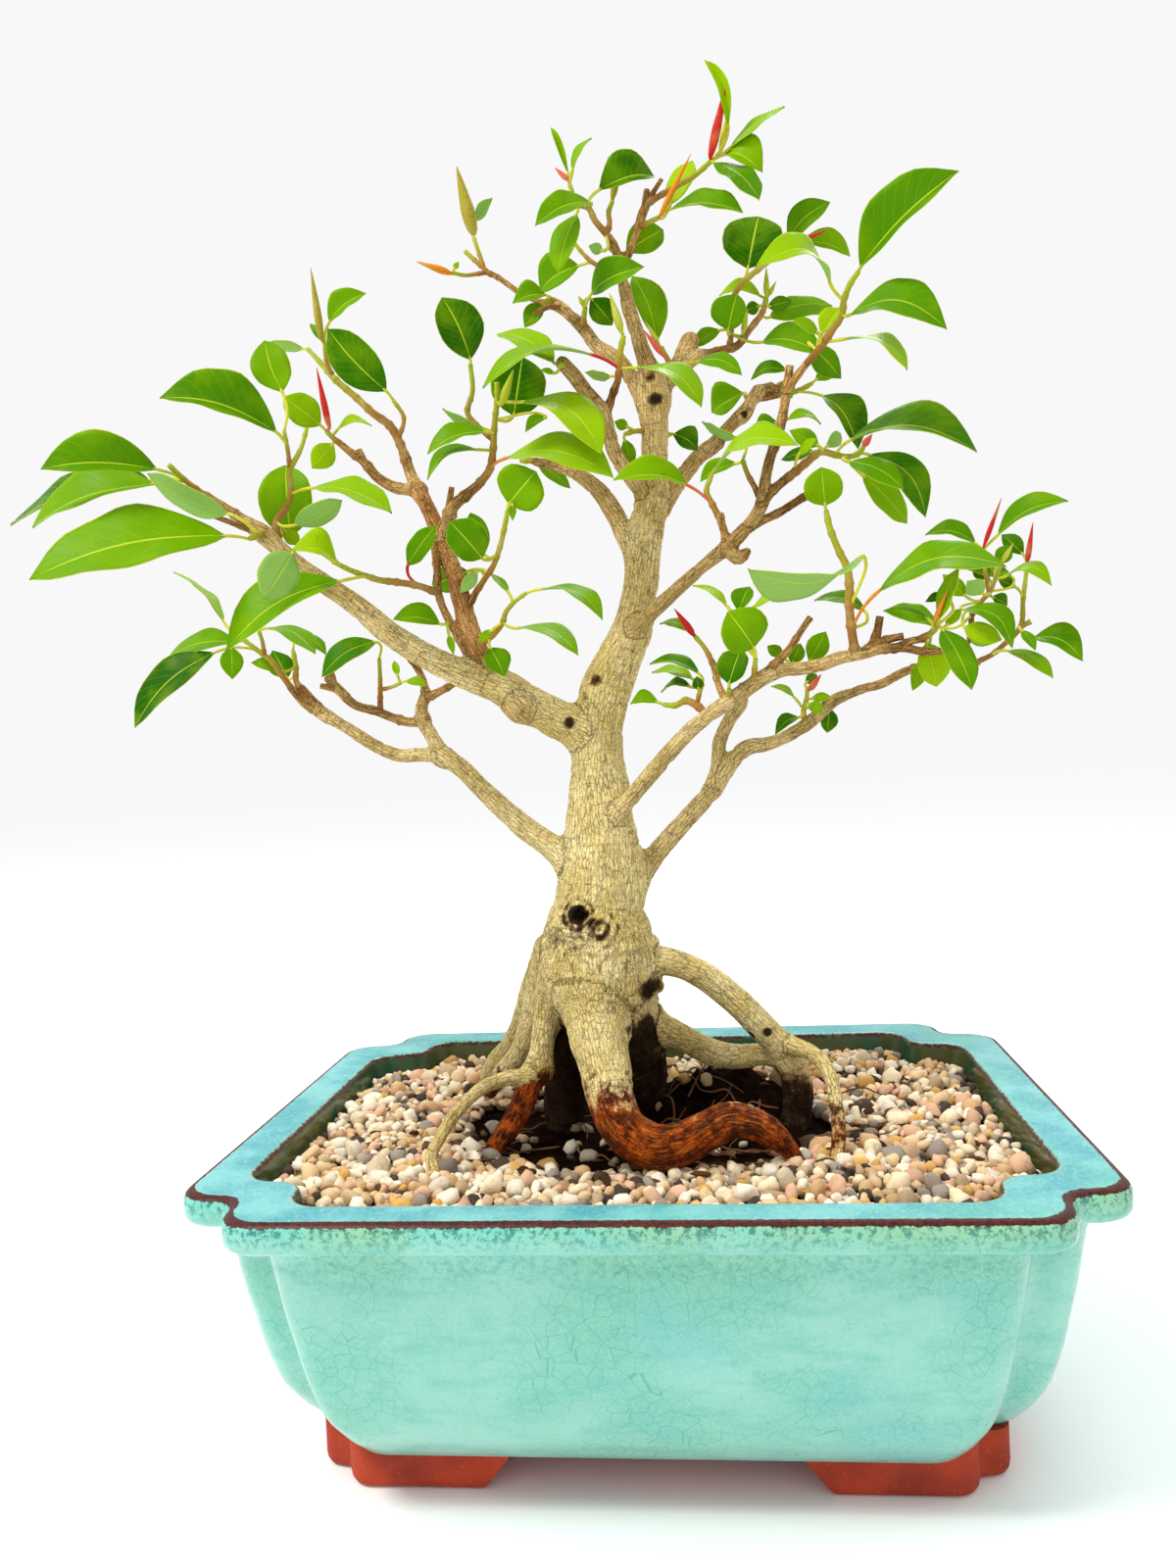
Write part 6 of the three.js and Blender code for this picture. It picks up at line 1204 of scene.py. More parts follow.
def feet_piece(finish):
    feet = Piece("pot_feet", [finish])
    before, after = FOOT_PLAN[-1:] + FOOT_PLAN[:-1], FOOT_PLAN[1:] + FOOT_PLAN[:1]
    for sign_x, sign_y in ((1, 1), (-1, 1), (-1, -1), (1, -1)):
        rings = []
        for z, pull in FOOT_RINGS:
            slope = FOOT_SLOPE * z / FOOT_RINGS[-1][0]
            ring = []
            for (x, y), (before_x, before_y), (after_x, after_y) in zip(FOOT_PLAN, before, after):
                run = math.hypot(after_x - before_x, after_y - before_y)
                inward_x = pull * (after_y - before_y) / run
                inward_y = pull * (before_x - after_x) / run
                ring.append(((x - slope * (x == FOOT_INNER_X) + inward_x) * sign_x,
                             (y - slope * (y == FOOT_INNER_Y) + inward_y) * sign_y, z))
            rings.append(ring if sign_x * sign_y < 0 else ring[::-1])
        feet.add(*sleeve(rings))
    made = feet.set_down("glazed_pot", "pot")
    made.data.set_sharp_from_angle(angle=math.radians(SHARP_TURN))
    return made


# The bed

PEBBLE_SIZES = (2.8, 3.2, 3.6, 4.0, 4.4, 5.0, 5.8, 6.8)
# How far the middle of each corner's bite lies in from the two walls
BITE_INSET = 10.5
# The bare patch, an oval: its middle, and its half width and half depth
PATCH = (-4, 13, 60, 50)
# The mound of soil under the roots, an oval too, and how high it rises
MOUND = (22, 24, 40, 31)
MOUND_HEIGHT = 15.5


def soil_height(x, y):
    """The top of the soil: rough and crumbly, with a steep mound of old soil under the roots."""
    out = math.hypot((x - MOUND[0]) / MOUND[2], (y - MOUND[1]) / MOUND[3])
    mound = MOUND_HEIGHT * (1 - eased(out, 0.12, 1.0))
    rough = noise.noise(Vector((x, y, 0)) / 9) * 1.3 + noise.noise(Vector((x, y, 4)) / 2.6) * 0.7
    crumbs = noise.noise(Vector((x, y, 9)) / 1.3) * 0.45
    return SOIL_TOP + mound + rough * (1 + mound / 8) + crumbs


def bareness(x, y):
    """0 in the middle of the bare patch, 1 at its edge, and more beyond it."""
    return math.hypot((x - PATCH[0]) / PATCH[2], (y - PATCH[1]) / PATCH[3])


def inside_bed(x, y, margin):
    """True where a place lies inside the pot's opening, this far from its wall."""
    from_side = POT_WIDTH / 2 - BED_INSET - margin - abs(x)
    from_front = POT_DEPTH / 2 - BED_INSET - margin - abs(y)
    near, far = sorted((from_side, from_front))
    if near < 0 or far > CORNER_RUN:
        return near > 0
    if far > CORNER_RUN - LOBE_RADIUS:
        return near > LOBE_RADIUS or math.hypot(LOBE_RADIUS - near, CORNER_RUN - far) < LOBE_RADIUS
    return near > BITE_INSET and math.hypot(near - BITE_INSET, far - BITE_INSET) > BITE_RADIUS


def soil_piece(finish):
    soil = Piece("damp_soil", [finish])
    across = np.arange(-BED_REACH[0], BED_REACH[0], SOIL_STEP)
    along = np.arange(-BED_REACH[1], BED_REACH[1], SOIL_STEP)
    number = {}
    points, faces = [], []

    def corner(i, j):
        if (i, j) not in number:
            number[i, j] = len(points)
            x, y = across[i], along[j]
            points.append((x, y, soil_height(x, y)))
        return number[i, j]

    for i in range(len(across) - 1):
        for j in range(len(along) - 1):
            if inside_bed(across[i] + SOIL_STEP / 2, along[j] + SOIL_STEP / 2, -SOIL_UNDER_WALL):
                faces.append((corner(i, j), corner(i + 1, j), corner(i + 1, j + 1), corner(i, j + 1)))
    soil.add(points, faces)
    return soil.set_down("potting_soil", "soil")


def stone_pattern():
    """The points and faces of a ball with eighty faces."""
    mesh = bpy.data.meshes.new("stone_pattern")
    shape = bmesh.new()
    bmesh.ops.create_icosphere(shape, subdivisions=2, radius=1)
    shape.to_mesh(mesh)
    shape.free()
    points = np.array([tuple(vertex.co) for vertex in mesh.vertices])
    faces = [tuple(face.vertices) for face in mesh.polygons]
    bpy.data.meshes.remove(mesh)
    return points, faces


def turned(draw):
    """A random turn in space."""
    turn = draw.uniform(0, FULL_TURN)
    axis = Vector((draw.uniform(-1, 1), draw.uniform(-1, 1), draw.uniform(-1, 1) + 1e-3))
    return np.array(Matrix.Rotation(turn, 3, axis.normalized()))


def pebble_piece(name, finish, wanted, lift, strays):
    """A layer of pebbles around the bare patch, with a few strays in it."""
    draw = random.Random(wanted)
    pebbles = Piece(name, [finish], ("tone", "soiled"))
    ball, faces = stone_pattern()
    placed = {}
    made = 0
    for _ in range(PEBBLE_TRIES):
        if made >= wanted:
            break
        x = draw.uniform(-PEBBLE_REACH[0], PEBBLE_REACH[0])
        y = draw.uniform(-PEBBLE_REACH[1], PEBBLE_REACH[1])
        size = draw.choice(PEBBLE_SIZES) * draw.uniform(0.9, 1.1)
        if not inside_bed(x, y, size * 0.4):
            continue
        bare = bareness(x, y)
        if draw.random() > eased(bare + noise.noise(Vector((x, y, 7)) / 14) * 0.16, 0.95, 1.12) + strays:
            continue
        cell = (round(x / PEBBLE_CELL), round(y / PEBBLE_CELL))
        near = [there for i in (-1, 0, 1) for j in (-1, 0, 1)
                for there in placed.get((cell[0] + i, cell[1] + j), ())]
        if any(math.hypot(x - there[0], y - there[1]) < (size + there[2]) * PEBBLE_SPACE for there in near):
            continue
        placed.setdefault(cell, []).append((x, y, size))
        z = soil_height(x, y) + size * 0.2 + (lift + 3.4 * eased(bare, 1.0, 1.6)) * eased(bare, 0.9, 1.1)
        shape = np.array([draw.uniform(0.85, 1.25), draw.uniform(0.7, 1.05), draw.uniform(0.5, 0.8)])
        lumps = np.array([draw.gauss(1, 0.09) for _ in range(len(ball))])
        worn = np.sign(ball) * np.abs(ball) ** draw.uniform(0.65, 1.1)
        points = (worn * lumps[:, None] * shape * size / 2) @ turned(draw).T
        soiled = min(0.85, max(0, draw.gauss(0.08, 0.12)) + (1 - eased(bare, 0.8, 1.1)) * 0.5)
        pebbles.add(points + (x, y, z), faces, tone=draw.random(), soiled=soiled)
        made += 1
    return pebbles.set_down("pebble_bed", "gravel")


def litter_piece(finish):
    """Flat bits of bark and short fine roots that lie on the bed."""
    draw = random.Random(23)
    litter = Piece("bark_litter", [finish], ("tone",))
    ball, faces = stone_pattern()
    for _ in range(BARK_BITS):
        x = draw.uniform(-LITTER_REACH[0], LITTER_REACH[0])
        y = draw.uniform(-LITTER_REACH[1], LITTER_REACH[1])
        if not inside_bed(x, y, 4):
            continue
        z = soil_height(x, y) + 0.6 + 5.8 * eased(bareness(x, y), 0.9, 1.3)
        size = np.array([draw.uniform(3, 8), draw.uniform(2, 4), draw.uniform(0.7, 1.6)]) / 2
        lumps = np.array([draw.gauss(1, 0.14) for _ in range(len(ball))])
        lean = Matrix.Rotation(draw.uniform(-0.35, 0.35), 3, "X")
        lean = np.array(lean @ Matrix.Rotation(draw.uniform(0, FULL_TURN), 3, "Z"))
        bit = (ball * lumps[:, None] * size) @ lean.T + (x, y, z)
        litter.add(bit, faces, tone=draw.random() * 0.5)
    for _ in range(ROOTLETS):
        x, y = draw.uniform(-62, 60), draw.uniform(-40, 40)
        way = draw.uniform(0, FULL_TURN)
        rows = []
        for step in range(7):
            z = soil_height(x, y) + 1 + 5 * eased(bareness(x, y), 0.9, 1.3)
            rows.append((x, y, z + draw.uniform(-0.4, 1.6), 0.42 - 0.04 * step))
            way += draw.uniform(-0.7, 0.7)
            x, y = x + math.cos(way) * 4.5, y + math.sin(way) * 4.5
        points, tube_faces = sleeve(round_tube(smooth_path(rows, WOOD_STEP), ROOTLET_SIDES))
        litter.add(points, tube_faces, tone=0.4 + draw.random() * 0.4)
    return litter.set_down("pebble_bed", "gravel")


# The wood

# How far apart a knot's rings of bark stand
RING_GAP = 2.7
# Knots: where they are seen, how wide and how deep their holes are, and how high their rings stand
KNOTS = [((591, 934, -13.5), 2.6, 3.4, 0.9), ((611, 949, -15.5), 0.8, 0.9, 0.8)]
# Dark places on the bark, mostly painted shade in crotches, in the knot hole and in the hollows under the
# trunk, and partly dark marks of the bark: where they are seen, how wide in millimetres, and how dark
DARK_PLACES = [
    ((668, 408, -4), 2.4, 0.9), ((664, 386, -3), 2.2, 0.9), ((608, 694, -4), 2.6, 0.9),
    ((581, 738, -7), 2.4, 0.9), ((671, 1004, -9), 3, 0.6), ((660, 1012, -8), 3.4, 0.6),
    ((583, 992, -10), 1.6, 0.8), ((578, 1006, -8), 1.8, 0.9), ((783, 1053, 0), 1.8, 1),
    ((766, 1057, 2), 1.8, 1), ((761, 423, 20), 1.8, 0.9), ((655, 1070, -4), 6, 0.8),
    ((664, 1045, -6), 4, 0.6), ((591, 934, -13), 2.7, 2.2), ((640, 1052, -14), 3, 0.5),
    ((634, 1080, -18), 3, 0.4)]
# The boxes that hold the lower and the upper wood, which overlap by one step of the grain
LOWER_WOOD = ((-84, -66, 74), (102, 74, 170.3))
UPPER_WOOD = ((-150, -62, 169.7), (150, 62, 402))
# How young the bark looks on the thinner lengths of each kind of wood, apart from the roots
YOUNG = {"limb": 0.22, "branch": 0.36, "twig": 0.4}
# Stains and painted shade on the lower wood: the picture row where they start and where they are full, how
# orange, and how dark, the dark share being partly dark bark near the soil and partly painted shade under the
# trunk
STAINS_AND_SHADE = {
    "root_front": (1066, 1160, 1, 0.3), "root_orange": (1084, 1108, 1, 0.15),
    "root_left": (1066, 1104, 0.8, 0.25), "root_left_middle": (1070, 1100, 0.6, 0.4),
    "root_left_back": (1092, 1120, 0.7, 0.4),
    "root_left_runner": (1180, 1215, 0.7, 0.3), "root_arch": (1078, 1110, 0.5, 0.75),
    "root_arch_front": (1088, 1150, 0.6, 0.3), "root_inner": (1085, 1112, 0.4, 0.5),
    "stump": (1012, 1085, 0.5, 0.75), "trunk": (1012, 1060, 0.3, 0.6), "root_core": (1020, 1060, 0.5, 0.9)}
# Wood that is reddish all along
RUDDY = {"branch_red", "twig_red_side", "twig_red_high", "twig_red_left", "stub_red_left", "branch_red_right"}
# Ridges around the front of the lower trunk: the wood they lie on, the picture row of each and how high it
# is, and the column and the place front to back where the rows are read
RIDGED = {"trunk", "stump"}
RIDGES = [(960, 0.7), (975, 0.6), (1003, 0.4), (1040, 0.6)]
TRUNK_FRONT = (612, -15)


class Strand:
    """One length of wood: its smoothed path, and where it starts counting its length."""

    def __init__(self, name, kind, rows):
        places = [tuple(spot(row)) + (row[3] / 2,) for row in rows]
        self.name = name
        self.kind = kind
        self.path = smooth_path(places, WOOD_STEP)
        self.path[:, 3] = np.maximum(self.path[:, 3], min(row[3] for row in rows) / 2)
        steps = np.linalg.norm(np.diff(self.path[:, :3], axis=0), axis=1)
        self.lengths = np.r_[0, np.cumsum(steps)]
        self.sides, self.ups, self.ways = frames_along(self.path[:, :3])
        self.root = name.startswith("root") or name == "stump"

    def grain(self, points):
        """For each point: its place unrolled along the strand, in millimetres, and the girth there."""
        nearest = np.empty(len(points), int)
        for start in range(0, len(points), MEASURED_AT_ONCE):
            part = slice(start, start + MEASURED_AT_ONCE)
            gaps = np.linalg.norm(points[part, None] - self.path[None, :, :3], axis=2)
            nearest[part] = gaps.argmin(axis=1)
        out = points - self.path[nearest, :3]
        along = self.lengths[nearest] + (out * self.ways[nearest]).sum(axis=1)
        across = (out * self.sides[nearest]).sum(axis=1)
        up = (out * self.ups[nearest]).sum(axis=1)
        return np.column_stack((across, up, along)), self.path[nearest, 3]


def wood_field(strands, low, high):
    """How far each grid point is from the wood, with the joints filled out, whose wood it is nearest to,
    and how deep it lies in a crotch."""
    shape = np.ceil((np.array(high) - low) / GRAIN_STEP).astype(int) + 1
    axes = [low[axis] + np.arange(shape[axis]) * GRAIN_STEP for axis in range(3)]
    field = np.full(shape, SKIN_BAND, np.float32)
    owner = np.full(shape, -1, np.int16)
    crotch = np.zeros(shape, np.float16)
    for number, strand in enumerate(strands):
        path = strand.path[strand.path[:, 3] > TUBE_BELOW * 0.8]
        if len(path) < 2:
            continue
        reach = path[:, 3].max() + SKIN_BAND
        first = np.maximum(((path[:, :3].min(axis=0) - reach - low) / GRAIN_STEP).astype(int), 0)
        last = np.minimum(((path[:, :3].max(axis=0) + reach - low) / GRAIN_STEP).astype(int) + 1, shape)
        if (last <= first).any():
            continue
        local = np.full(last - first, SKIN_BAND, np.float32)
        for here, there in zip(path[:-1], path[1:]):
            measure_segment(local, first, axes, here, there)
        window = tuple(slice(start, end) for start, end in zip(first, last))
        fillet = min(max(strand.path[0, 3] * 0.7, 0.9), 6.0)
        merge(field[window], owner[window], crotch[window], local, number, fillet)
    return field, owner, crotch


def measure_segment(local, first, axes, here, there):
    """Lower the local distances to those of one tapered length of wood."""
    reach = max(here[3], there[3]) + SKIN_BAND
    starts, ends = [], []
    for axis in range(3):
        low = min(here[axis], there[axis]) - reach
        high = max(here[axis], there[axis]) + reach
        origin = axes[axis][0]
        starts.append(max(int((low - origin) / GRAIN_STEP), first[axis]))
        ends.append(min(int((high - origin) / GRAIN_STEP) + 2, first[axis] + local.shape[axis]))
    if any(end <= start for start, end in zip(starts, ends)):
        return
    spans = [axes[axis][starts[axis]:ends[axis]] for axis in range(3)]
    grid = np.meshgrid(*spans, indexing="ij", sparse=True)
    way = there[:3] - here[:3]
    share = sum((grid[axis] - here[axis]) * way[axis] for axis in range(3)) / max(np.dot(way, way), 1e-9)
    share = np.clip(share, 0, 1)
    squared = sum((grid[axis] - here[axis] - share * way[axis]) ** 2 for axis in range(3))
    gap = np.sqrt(squared) - (here[3] + share * (there[3] - here[3]))
    window = tuple(slice(starts[axis] - first[axis], ends[axis] - first[axis]) for axis in range(3))
    np.minimum(local[window], gap, out=local[window])


def merge(field, owner, crotch, local, number, fillet):
    """Join one strand to the wood that is there, with a fillet where the two meet."""
    depth = np.clip(1 - np.abs(field - local) / fillet, 0, 1)
    depth[(field > JOINED_WITHIN) | (local > JOINED_WITHIN)] = 0
    nearer = local < field
    np.copyto(owner, number, where=nearer)
    np.copyto(crotch, np.maximum(crotch, depth.astype(np.float16)))
    np.copyto(field, np.minimum(field, local) - depth ** 2 * fillet / 4)


def carve_knots(field, low):
    """Cut the knot holes into the wood, each within rings of raised bark."""
    for place, radius, depth, swirl in KNOTS:
        middle = np.array(spot(place))
        first = np.maximum(((middle - low - KNOT_REACH) / GRAIN_STEP).astype(int), 0)
        last = np.minimum(((middle - low + KNOT_REACH) / GRAIN_STEP).astype(int), field.shape)
        if (last <= first).any():
            continue
        window = tuple(slice(start, end) for start, end in zip(first, last))
        spans = [low[axis] + np.arange(first[axis], last[axis]) * GRAIN_STEP for axis in range(3)]
        grid = np.meshgrid(*spans, indexing="ij", sparse=True)
        out = np.sqrt(sum((grid[axis] - middle[axis]) ** 2 for axis in (0, 2)))
        inward = (grid[1] - middle[1]) / depth
        gap = (np.sqrt((out / radius) ** 2 + inward ** 2) - 1) * radius
        rings = np.cos((out - radius - 1.2) * 2 * math.pi / RING_GAP) * np.exp(-out / 5.5) * swirl
        field[window] -= (rings * (np.abs(grid[1] - middle[1]) < RINGS_REACH_BACK)).astype(np.float32)
        np.copyto(field[window], np.maximum(field[window], -gap.astype(np.float32)))


def wood_piece(name, strands, low, high, finish, thin):
    """The wood within a box, as one skin, with the thin ends and twigs as round tubes."""
    low = np.array(low, float)
    field, owner, crotch = wood_field(strands, low, high)
    carve_knots(field, low)
    grid = openvdb.FloatGrid(SKIN_BAND)
    grid.copyFromArray(np.clip(field, -SKIN_BAND, SKIN_BAND))
    cells, quads = grid.convertToQuads(0.0)
    cells = np.asarray(cells, float)
    nearest = np.clip(np.rint(cells).astype(int), 0, np.array(field.shape) - 1)
    owners = owner[tuple(nearest.T)]
    creases = crotch[tuple(nearest.T)].astype(float)
    points = low + cells * GRAIN_STEP
    wood = Piece(name, [finish], ("grain", "orange", "soot", "young", "ruddy"))
    grain = np.zeros((len(points), 3))
    girth = np.ones(len(points))
    for number, strand in enumerate(strands):
        mine = owners == number
        if mine.any():
            grain[mine], girth[mine] = strand.grain(points[mine])
    out = outward(points, quads)
    points = points + out * relief_of(points, grain, girth, owners, strands)[:, None]
    tones = tones_of(points, grain, girth, owners, strands, creases)
    faces = [tuple(face[::-1]) for face in quads.tolist()]
    wood.add(points.tolist(), faces, grain=(grain / 1000).tolist(), **tones)
    if thin:
        add_twigs(wood, strands)
    return wood.set_down("fig_bark", "tree")


def outward(points, quads):
    """The direction out of the skin at each of its points."""
    first, second = points[quads[:, 2]] - points[quads[:, 0]], points[quads[:, 3]] - points[quads[:, 1]]
    normals = np.cross(second, first)
    out = np.zeros_like(points)
    for corner in range(4):
        np.add.at(out, quads[:, corner], normals)
    return out / np.maximum(np.linalg.norm(out, axis=1), 1e-9)[:, None]


def relief_of(points, grain, girth, owners, strands):
    """Millimetres that the bark stands out: long fibres, rings and lumps."""
    relief = np.zeros(len(points))
    ridges = [(spot((TRUNK_FRONT[0], down, TRUNK_FRONT[1])).z, height) for down, height in RIDGES]
    for index, (place, unrolled, radius) in enumerate(zip(points, grain, girth)):
        across, up, along = unrolled
        fibre = noise.noise(Vector((across * 0.55, up * 0.55, along * 0.11 + owners[index] * 7)))
        lump = noise.noise(Vector(place) * 0.11)
        fine = noise.noise(Vector((across * 1.3, up * 1.3, along * 0.35)))
        ring = noise.noise(Vector((along * 0.55, owners[index] * 3.1, 0)))
        swell = min(radius, 12)
        relief[index] = fibre * swell * 0.04 + lump * swell * 0.08 + fine * swell * 0.022
        relief[index] += max(ring - 0.25, 0) * swell * 0.1
        if not strands[owners[index]].root:
            knob = noise.noise(Vector(place) * 0.3)
            relief[index] += max(knob - 0.16, 0) * min(radius, 3.5) * 0.3
        if strands[owners[index]].name in RIDGED and place[1] < 10:
            for height, rise in ridges:
                relief[index] += rise * math.exp(-((place[2] - height + fine * 2) / 0.9) ** 2)
    return relief


def tones_of(points, grain, girth, owners, strands, creases):
    """How orange, young and ruddy the bark is at each point, and how dark with its stains and with painted
    shade.
    """
    down = rows_down(points)
    orange = np.zeros(len(points))
    ruddy = np.clip((points[:, 2] - 215) / 90, 0, 1) * 0.3
    # Painted shade in the crotches where two lengths of wood meet.
    soot = creases ** 2 * 0.22
    young = np.clip((2.4 - girth) / 1.6, 0, 1) * 0.8
    for number, strand in enumerate(strands):
        mine = owners == number
        # Orange and darker towards the bottom of the picture: the dark share is dark bark near the soil and
        # painted shade under the trunk.
        if strand.name in STAINS_AND_SHADE:
            start, full, most_orange, most_shade_and_stain = STAINS_AND_SHADE[strand.name]
            share = np.clip((down[mine] - start) / (full - start), 0, 1)
            orange[mine] = share * most_orange
            soot[mine] += share * most_shade_and_stain
        if strand.name in RUDDY:
            ruddy[mine] = 0.3 + np.clip((grain[mine, 2] - 8) / 16, 0, 1) * 0.6
        if not strand.root:
            young[mine] += YOUNG.get(strand.kind, 0) * np.clip((4.6 - girth[mine]) / 1.6, 0, 1)
    for place, width, strength in DARK_PLACES:
        gap = np.linalg.norm(points - np.array(spot(place)), axis=1)
        soot += np.exp(-(gap / width) ** 2) * strength
    # Painted shade in the grooves between the raised rings around each knot.
    for place, radius, _, _ in KNOTS:
        gap = np.linalg.norm(points - np.array(spot(place)), axis=1) - radius
        rings = 0.5 - 0.5 * np.cos((gap - 1.2) * 2 * math.pi / RING_GAP)
        soot += rings * np.exp(-np.maximum(gap, 0) / 4.5) * 0.6
    return {"orange": orange.tolist(), "soot": np.clip(soot, 0, 1).tolist(),
            "young": np.clip(young, 0, 1).tolist(), "ruddy": ruddy.tolist()}


def add_twigs(wood, strands):
    """Round tubes for all the twigs, and for the ends of limbs that have grown thin."""
    draw = random.Random(5)
    for number, strand in enumerate(strands):
        thin = strand.path[:, 3] <= TUBE_BELOW
        if strand.kind == "twig":
            thin[:] = True
        if not thin.any():
            continue
        start = max(int(np.argmax(thin)) - 3, 0)
        path = strand.path[start:]
        if len(path) < 3:
            continue
        scarred = with_scars(path, draw, 4.5 + path[0, 3] * 2, BUD_SCARS)
        points, faces = sleeve(round_tube(scarred, TWIG_SIDES))
        owners = np.full(len(points), number)
        unrolled, girth = strand.grain(points)
        tones = tones_of(points, unrolled, girth, owners, strands, np.zeros(len(points)))
        wood.add(points.tolist(), faces, grain=(unrolled / 1000).tolist(), **tones)


# The leafy shoots

# Where each hue stands on the ramp of the shoots' finish
HUES = {"brown": 0.1, "olive": 0.3, "green": 0.45, "yellow": 0.6, "orange": 0.76, "red": 0.88, "pink": 1.0}
# How wide a leaf is along its length, and a young leaf's rolled sheath
OVAL = [(0, 0.03), (0.06, 0.3), (0.14, 0.58), (0.25, 0.84), (0.38, 0.98), (0.52, 1.0), (0.66, 0.93),
        (0.78, 0.76), (0.87, 0.52), (0.93, 0.29), (0.97, 0.12), (1, 0)]
ROUND = [(0, 0.04), (0.05, 0.38), (0.12, 0.68), (0.25, 0.94), (0.42, 1.04), (0.6, 1.03), (0.75, 0.9),
         (0.86, 0.66), (0.93, 0.4), (0.97, 0.18), (1, 0)]
SMALL = [(0, 0.05), (0.1, 0.4), (0.28, 0.86), (0.48, 1.0), (0.68, 0.84), (0.84, 0.48), (0.94, 0.18), (1, 0)]
SMALL_LENGTH = 13
SPEAR = [(0, 0.5), (0.12, 0.85), (0.3, 1), (0.6, 0.72), (0.85, 0.34), (1, 0.08)]
# How thick a leaf's stalk is at the stem, halfway, at the leaf and inside it
STALK = (SHOOT_START, 0.48, 0.5, 0.4)
# How light a leaf is, by its look
LIGHTS = {"b": 0.76, "d": 0.2, "": 0.5}


def blade(row, draw):
    """A leaf: its two faces as grids of points, how light it is, its base, the way it sets out from there,
    and whether the first of its faces is the underside."""
    _, base_x, base_y, base_behind, tip_x, tip_y, tip_behind, left, right, bow, look = row[:11]
    base = spot((base_x, base_y, base_behind))
    tip = spot((tip_x, tip_y, tip_behind))
    along = tip - base
    middle = (base + tip) / 2
    pixel = pixel_at(middle)
    sight = (middle - EYE).normalized()
    leftward = along.cross(sight).normalized()
    nearward = along.cross(leftward).normalized()
    half = max(LEAST_HALF_WIDTH * along.length, left * pixel, right * pixel)
    under_seen = "u" in look

    def edge(seen, sign):
        rise = leftward.z * sign
        towards = 0.6 if abs(rise) < 0.35 else -math.copysign(1, rise)
        depth = math.sqrt(max(half ** 2 - seen ** 2, 0)) * towards * (-1 if under_seen else 1)
        return leftward * seen * sign + nearward * depth

    left_edge, right_edge = edge(left * pixel, 1), edge(right * pixel, -1)
    across = (left_edge - right_edge).normalized()
    upper = along.cross(across).normalized()
    swapped = under_seen and upper.dot(sight) < 0
    shift = left_edge.lerp(right_edge, left / (left + right)) * (1 - FOLD)
    outline = ROUND if "r" in look else SMALL if along.length < SMALL_LENGTH else OVAL
    rows, columns = LONG_LEAF_GRID if along.length > LONG_LEAF else SHORT_LEAF_GRID
    phase, waves = draw.uniform(0, FULL_TURN), draw.uniform(1.2, 2.4)
    ripple = along.length * draw.uniform(0.008, 0.022)
    trough = along.length * draw.uniform(0.015, 0.04)
    curl = along.length * draw.uniform(0.0, 0.05)
    faces = []
    for turn in (1, -1):
        grid = []
        for row_number in range(rows + 1):
            t = row_number / rows
            share = between(outline, t)
            bulge = math.sin(math.pi * t)
            centre = base + along * t + leftward * (bow * pixel * bulge)
            centre += upper * (BLADE_ARCH * along.length * bulge)
            centre -= upper * (curl * t ** 3)
            line = []
            for column in range(-columns, columns + 1):
                out = abs(column) / columns
                rim = (left_edge if column > 0 else right_edge) * share
                point = centre + (shift * share).lerp(rim, out)
                sway = math.sin(phase + waves * FULL_TURN * t + (2 if column > 0 else 0))
                lift = trough * share * (out ** 1.5 - 0.4)
                lift += ripple * out ** 2 * sway * bulge
                thick = BLADE_THICK / 2 * (1.1 - 0.7 * out) + 0.12 * max(1 - out * columns, 0) * (turn < 0)
                line.append(tuple(point + upper * (lift + turn * thick)))
            grid.append(line)
        faces.append(grid)
    light = LIGHTS[look.strip("ru")] + draw.uniform(-0.12, 0.14)
    start_way = (Vector(faces[0][1][columns]) - Vector(faces[0][0][columns])).normalized()
    return faces, light, base, start_way, swapped


def add_leaf(shoot, start, row, draw):
    """A leaf, and the stalk that holds it to its stem."""
    grids, light, base, way, swapped = blade(row, draw)
    rows, width = len(grids[0]), len(grids[0][0])
    points, out, length, under = [], [], [], []
    for side, grid in enumerate(grids):
        for row_number, line in enumerate(grid):
            for column, point in enumerate(line):
                points.append(point)
                out.append(abs(column - (width - 1) / 2) / ((width - 1) / 2))
                length.append(row_number / (rows - 1))
                under.append(1 - side if swapped else side)
    faces = []
    sheet = rows * width

    def corner(side, row_number, column):
        return side * sheet + row_number * width + column

    for row_number in range(rows - 1):
        for column in range(width - 1):
            quad = [(row_number, column), (row_number, column + 1), (row_number + 1, column + 1),
                    (row_number + 1, column)]
            faces.append(tuple(corner(0, *place) for place in reversed(quad)))
            faces.append(tuple(corner(1, *place) for place in quad))
        for column, turn in ((0, 1), (width - 1, -1)):
            ring = [corner(0, row_number, column), corner(0, row_number + 1, column),
                    corner(1, row_number + 1, column), corner(1, row_number, column)]
            faces.append(tuple(ring[::-turn]))
    for row_number, turn in ((0, -1), (rows - 1, 1)):
        for column in range(width - 1):
            ring = [corner(0, row_number, column), corner(0, row_number, column + 1),
                    corner(1, row_number, column + 1), corner(1, row_number, column)]
            faces.append(tuple(ring[::-turn]))
    shoot.add(points, faces, look=0, out=out, length=length, under=under, light=light)
    hue = HUES[row[11]] if len(row) > 11 else draw.uniform(0.46, 0.62)
    reach = (base - start).length
    halfway = start.lerp(base, 0.5).lerp(base - way * reach * 0.5, 0.45)
    places = (start, halfway, base, base + way * 1.2)
    stalk = [(*place, thick) for place, thick in zip(places, STALK)]
    stalk_points, stalk_faces = sleeve(round_tube(smooth_path(stalk, 0.9), STALK_SIDES))
    shoot.add(stalk_points.tolist(), stalk_faces, look=1, hue=hue)


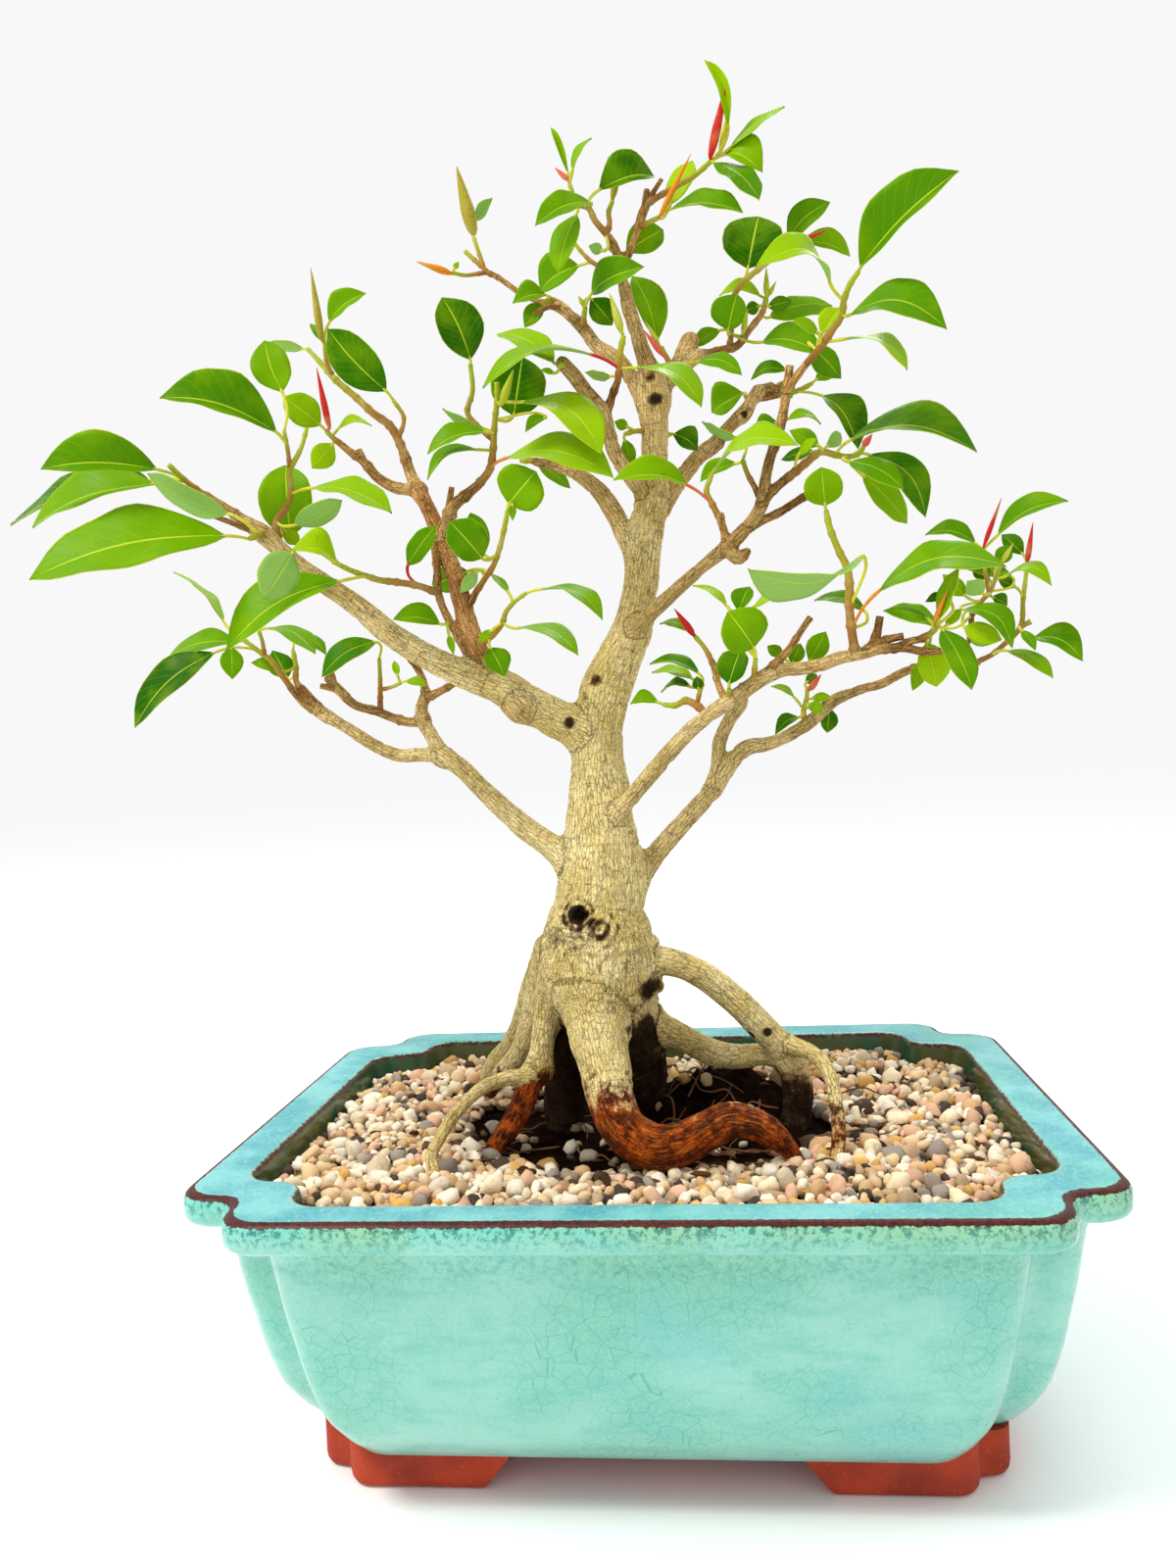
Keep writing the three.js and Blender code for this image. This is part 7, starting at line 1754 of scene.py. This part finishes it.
def add_spear(shoot, start, row):
    """The rolled sheath around the newest leaf."""
    _, base_x, base_y, base_behind, tip_x, tip_y, tip_behind, thick, hue = row
    base = spot((base_x, base_y, base_behind))
    tip = spot((tip_x, tip_y, tip_behind))
    rows = [(*base.lerp(tip, t), thick / 2 * share) for t, share in SPEAR]
    path = smooth_path([(*start, SHOOT_START)] + rows, 0.9)
    path[:, 3] = np.maximum(path[:, 3], 0.1)
    points, faces = sleeve(round_tube(path, SPEAR_SIDES))
    shoot.add(points.tolist(), faces, look=1, hue=HUES[hue])


def shoot_piece(name, parts, seed, finishes):
    draw = random.Random(seed)
    shoot = Piece(name.replace("shoot", "leaves"), finishes, ("out", "length", "under", "light", "hue"))
    stem_points = []
    for rows in parts["stems"]:
        places = [spot(row) for row in rows]
        stem_points.extend(places)
        tapered = [(*place, row[3] / 2) for place, row in zip(places, rows)]
        path = with_scars(smooth_path(tapered, 0.7), draw, STEM_SCAR_SPACING, STEM_SCARS)
        points, faces = sleeve(round_tube(path, STEM_SIDES))
        hues = np.repeat(np.linspace(0.1, 0.42, len(path)), STEM_SIDES)
        shoot.add(points.tolist(), faces, look=1, hue=hues.tolist())
    for row in parts["leaves"]:
        add_leaf(shoot, stem_points[row[0]], row, draw)
    for row in parts.get("spears", ()):
        add_spear(shoot, stem_points[row[0]], row)
    return shoot.set_down("fig_leaf", name)


# Everything in its place

clay = clay_finish()
pot_piece(glaze_finish(), clay)
feet_piece(clay)
for node in ("drain_screen_left", "drain_screen_right"):
    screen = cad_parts[node]
    screen.data.materials.clear()
    screen.data.materials.append(mesh_finish())
soil_piece(soil_finish())
pebble_look = pebble_finish()
pebble_piece("pebbles_below", pebble_look, PEBBLES_BELOW, 0, 0)
pebble_piece("pebbles_above", pebble_look, PEBBLES_ABOVE, 2.4, 0.008)
litter_piece(litter_finish())

strands = [Strand(name, kind, rows) for name, (kind, rows) in WOOD.items()]
bark = bark_finish()
wood_piece("trunk_and_roots", strands, *LOWER_WOOD, bark, False)
wood_piece("limbs", strands, *UPPER_WOOD, bark, True)

leaf_looks = [leaf_finish(), shoot_finish()]
for number, (name, parts) in enumerate(SHOOTS.items()):
    shoot_piece(name, parts, number, leaf_looks)


# The floor, the light and the camera

FLOOR_REACH = 12.0
LAMPS_AIM_AT = Vector((0, 0, 0.2))
SENSOR = 36


def lamp(name, place, size, power, colour):
    light = bpy.data.lights.new(name, "AREA")
    light.size = size
    light.energy = power
    light.color = colour
    made = bpy.data.objects.new(name, light)
    made.location = place
    made.rotation_euler = (LAMPS_AIM_AT - Vector(place)).to_track_quat("-Z", "Y").to_euler()
    bpy.context.scene.collection.objects.link(made)


floor_mesh = bpy.data.meshes.new("floor")
corners = [(FLOOR_REACH * x, FLOOR_REACH * y, 0) for x, y in ((-1, -1), (1, -1), (1, 1), (-1, 1))]
floor_mesh.from_pydata(corners, [], [(0, 1, 2, 3)])
floor_mesh.materials.append(floor_finish())
floor = bpy.data.objects.new("floor", floor_mesh)
bpy.context.scene.collection.objects.link(floor)

lamp("key", (-0.8, -0.7, 1.55), 0.4, 20, (1, 0.985, 0.94))
lamp("back", (0.3, 1.1, 1.3), 0.6, 7, (1, 0.99, 0.96))

world = bpy.data.worlds.new("studio")
bpy.context.scene.world = world
world.use_nodes = True
world.node_tree.nodes["Background"].inputs["Color"].default_value = (1, 1, 1, 1)
world.node_tree.nodes["Background"].inputs["Strength"].default_value = 0.94
bpy.context.scene.view_settings.view_transform = "Standard"

camera = bpy.data.cameras.new("camera")
camera.sensor_fit = "VERTICAL"
camera.sensor_height = SENSOR
camera.lens = SENSOR * FOCAL / PICTURE[1]
camera.clip_start = 0.01
eye = bpy.data.objects.new("camera", camera)
turn = Matrix((PICTURE_RIGHT, PICTURE_UP, -AHEAD)).transposed()
eye.matrix_world = Matrix.Translation(EYE / 1000 + POT_MIDDLE) @ turn.to_4x4()
bpy.context.scene.collection.objects.link(eye)
bpy.context.scene.camera = eye
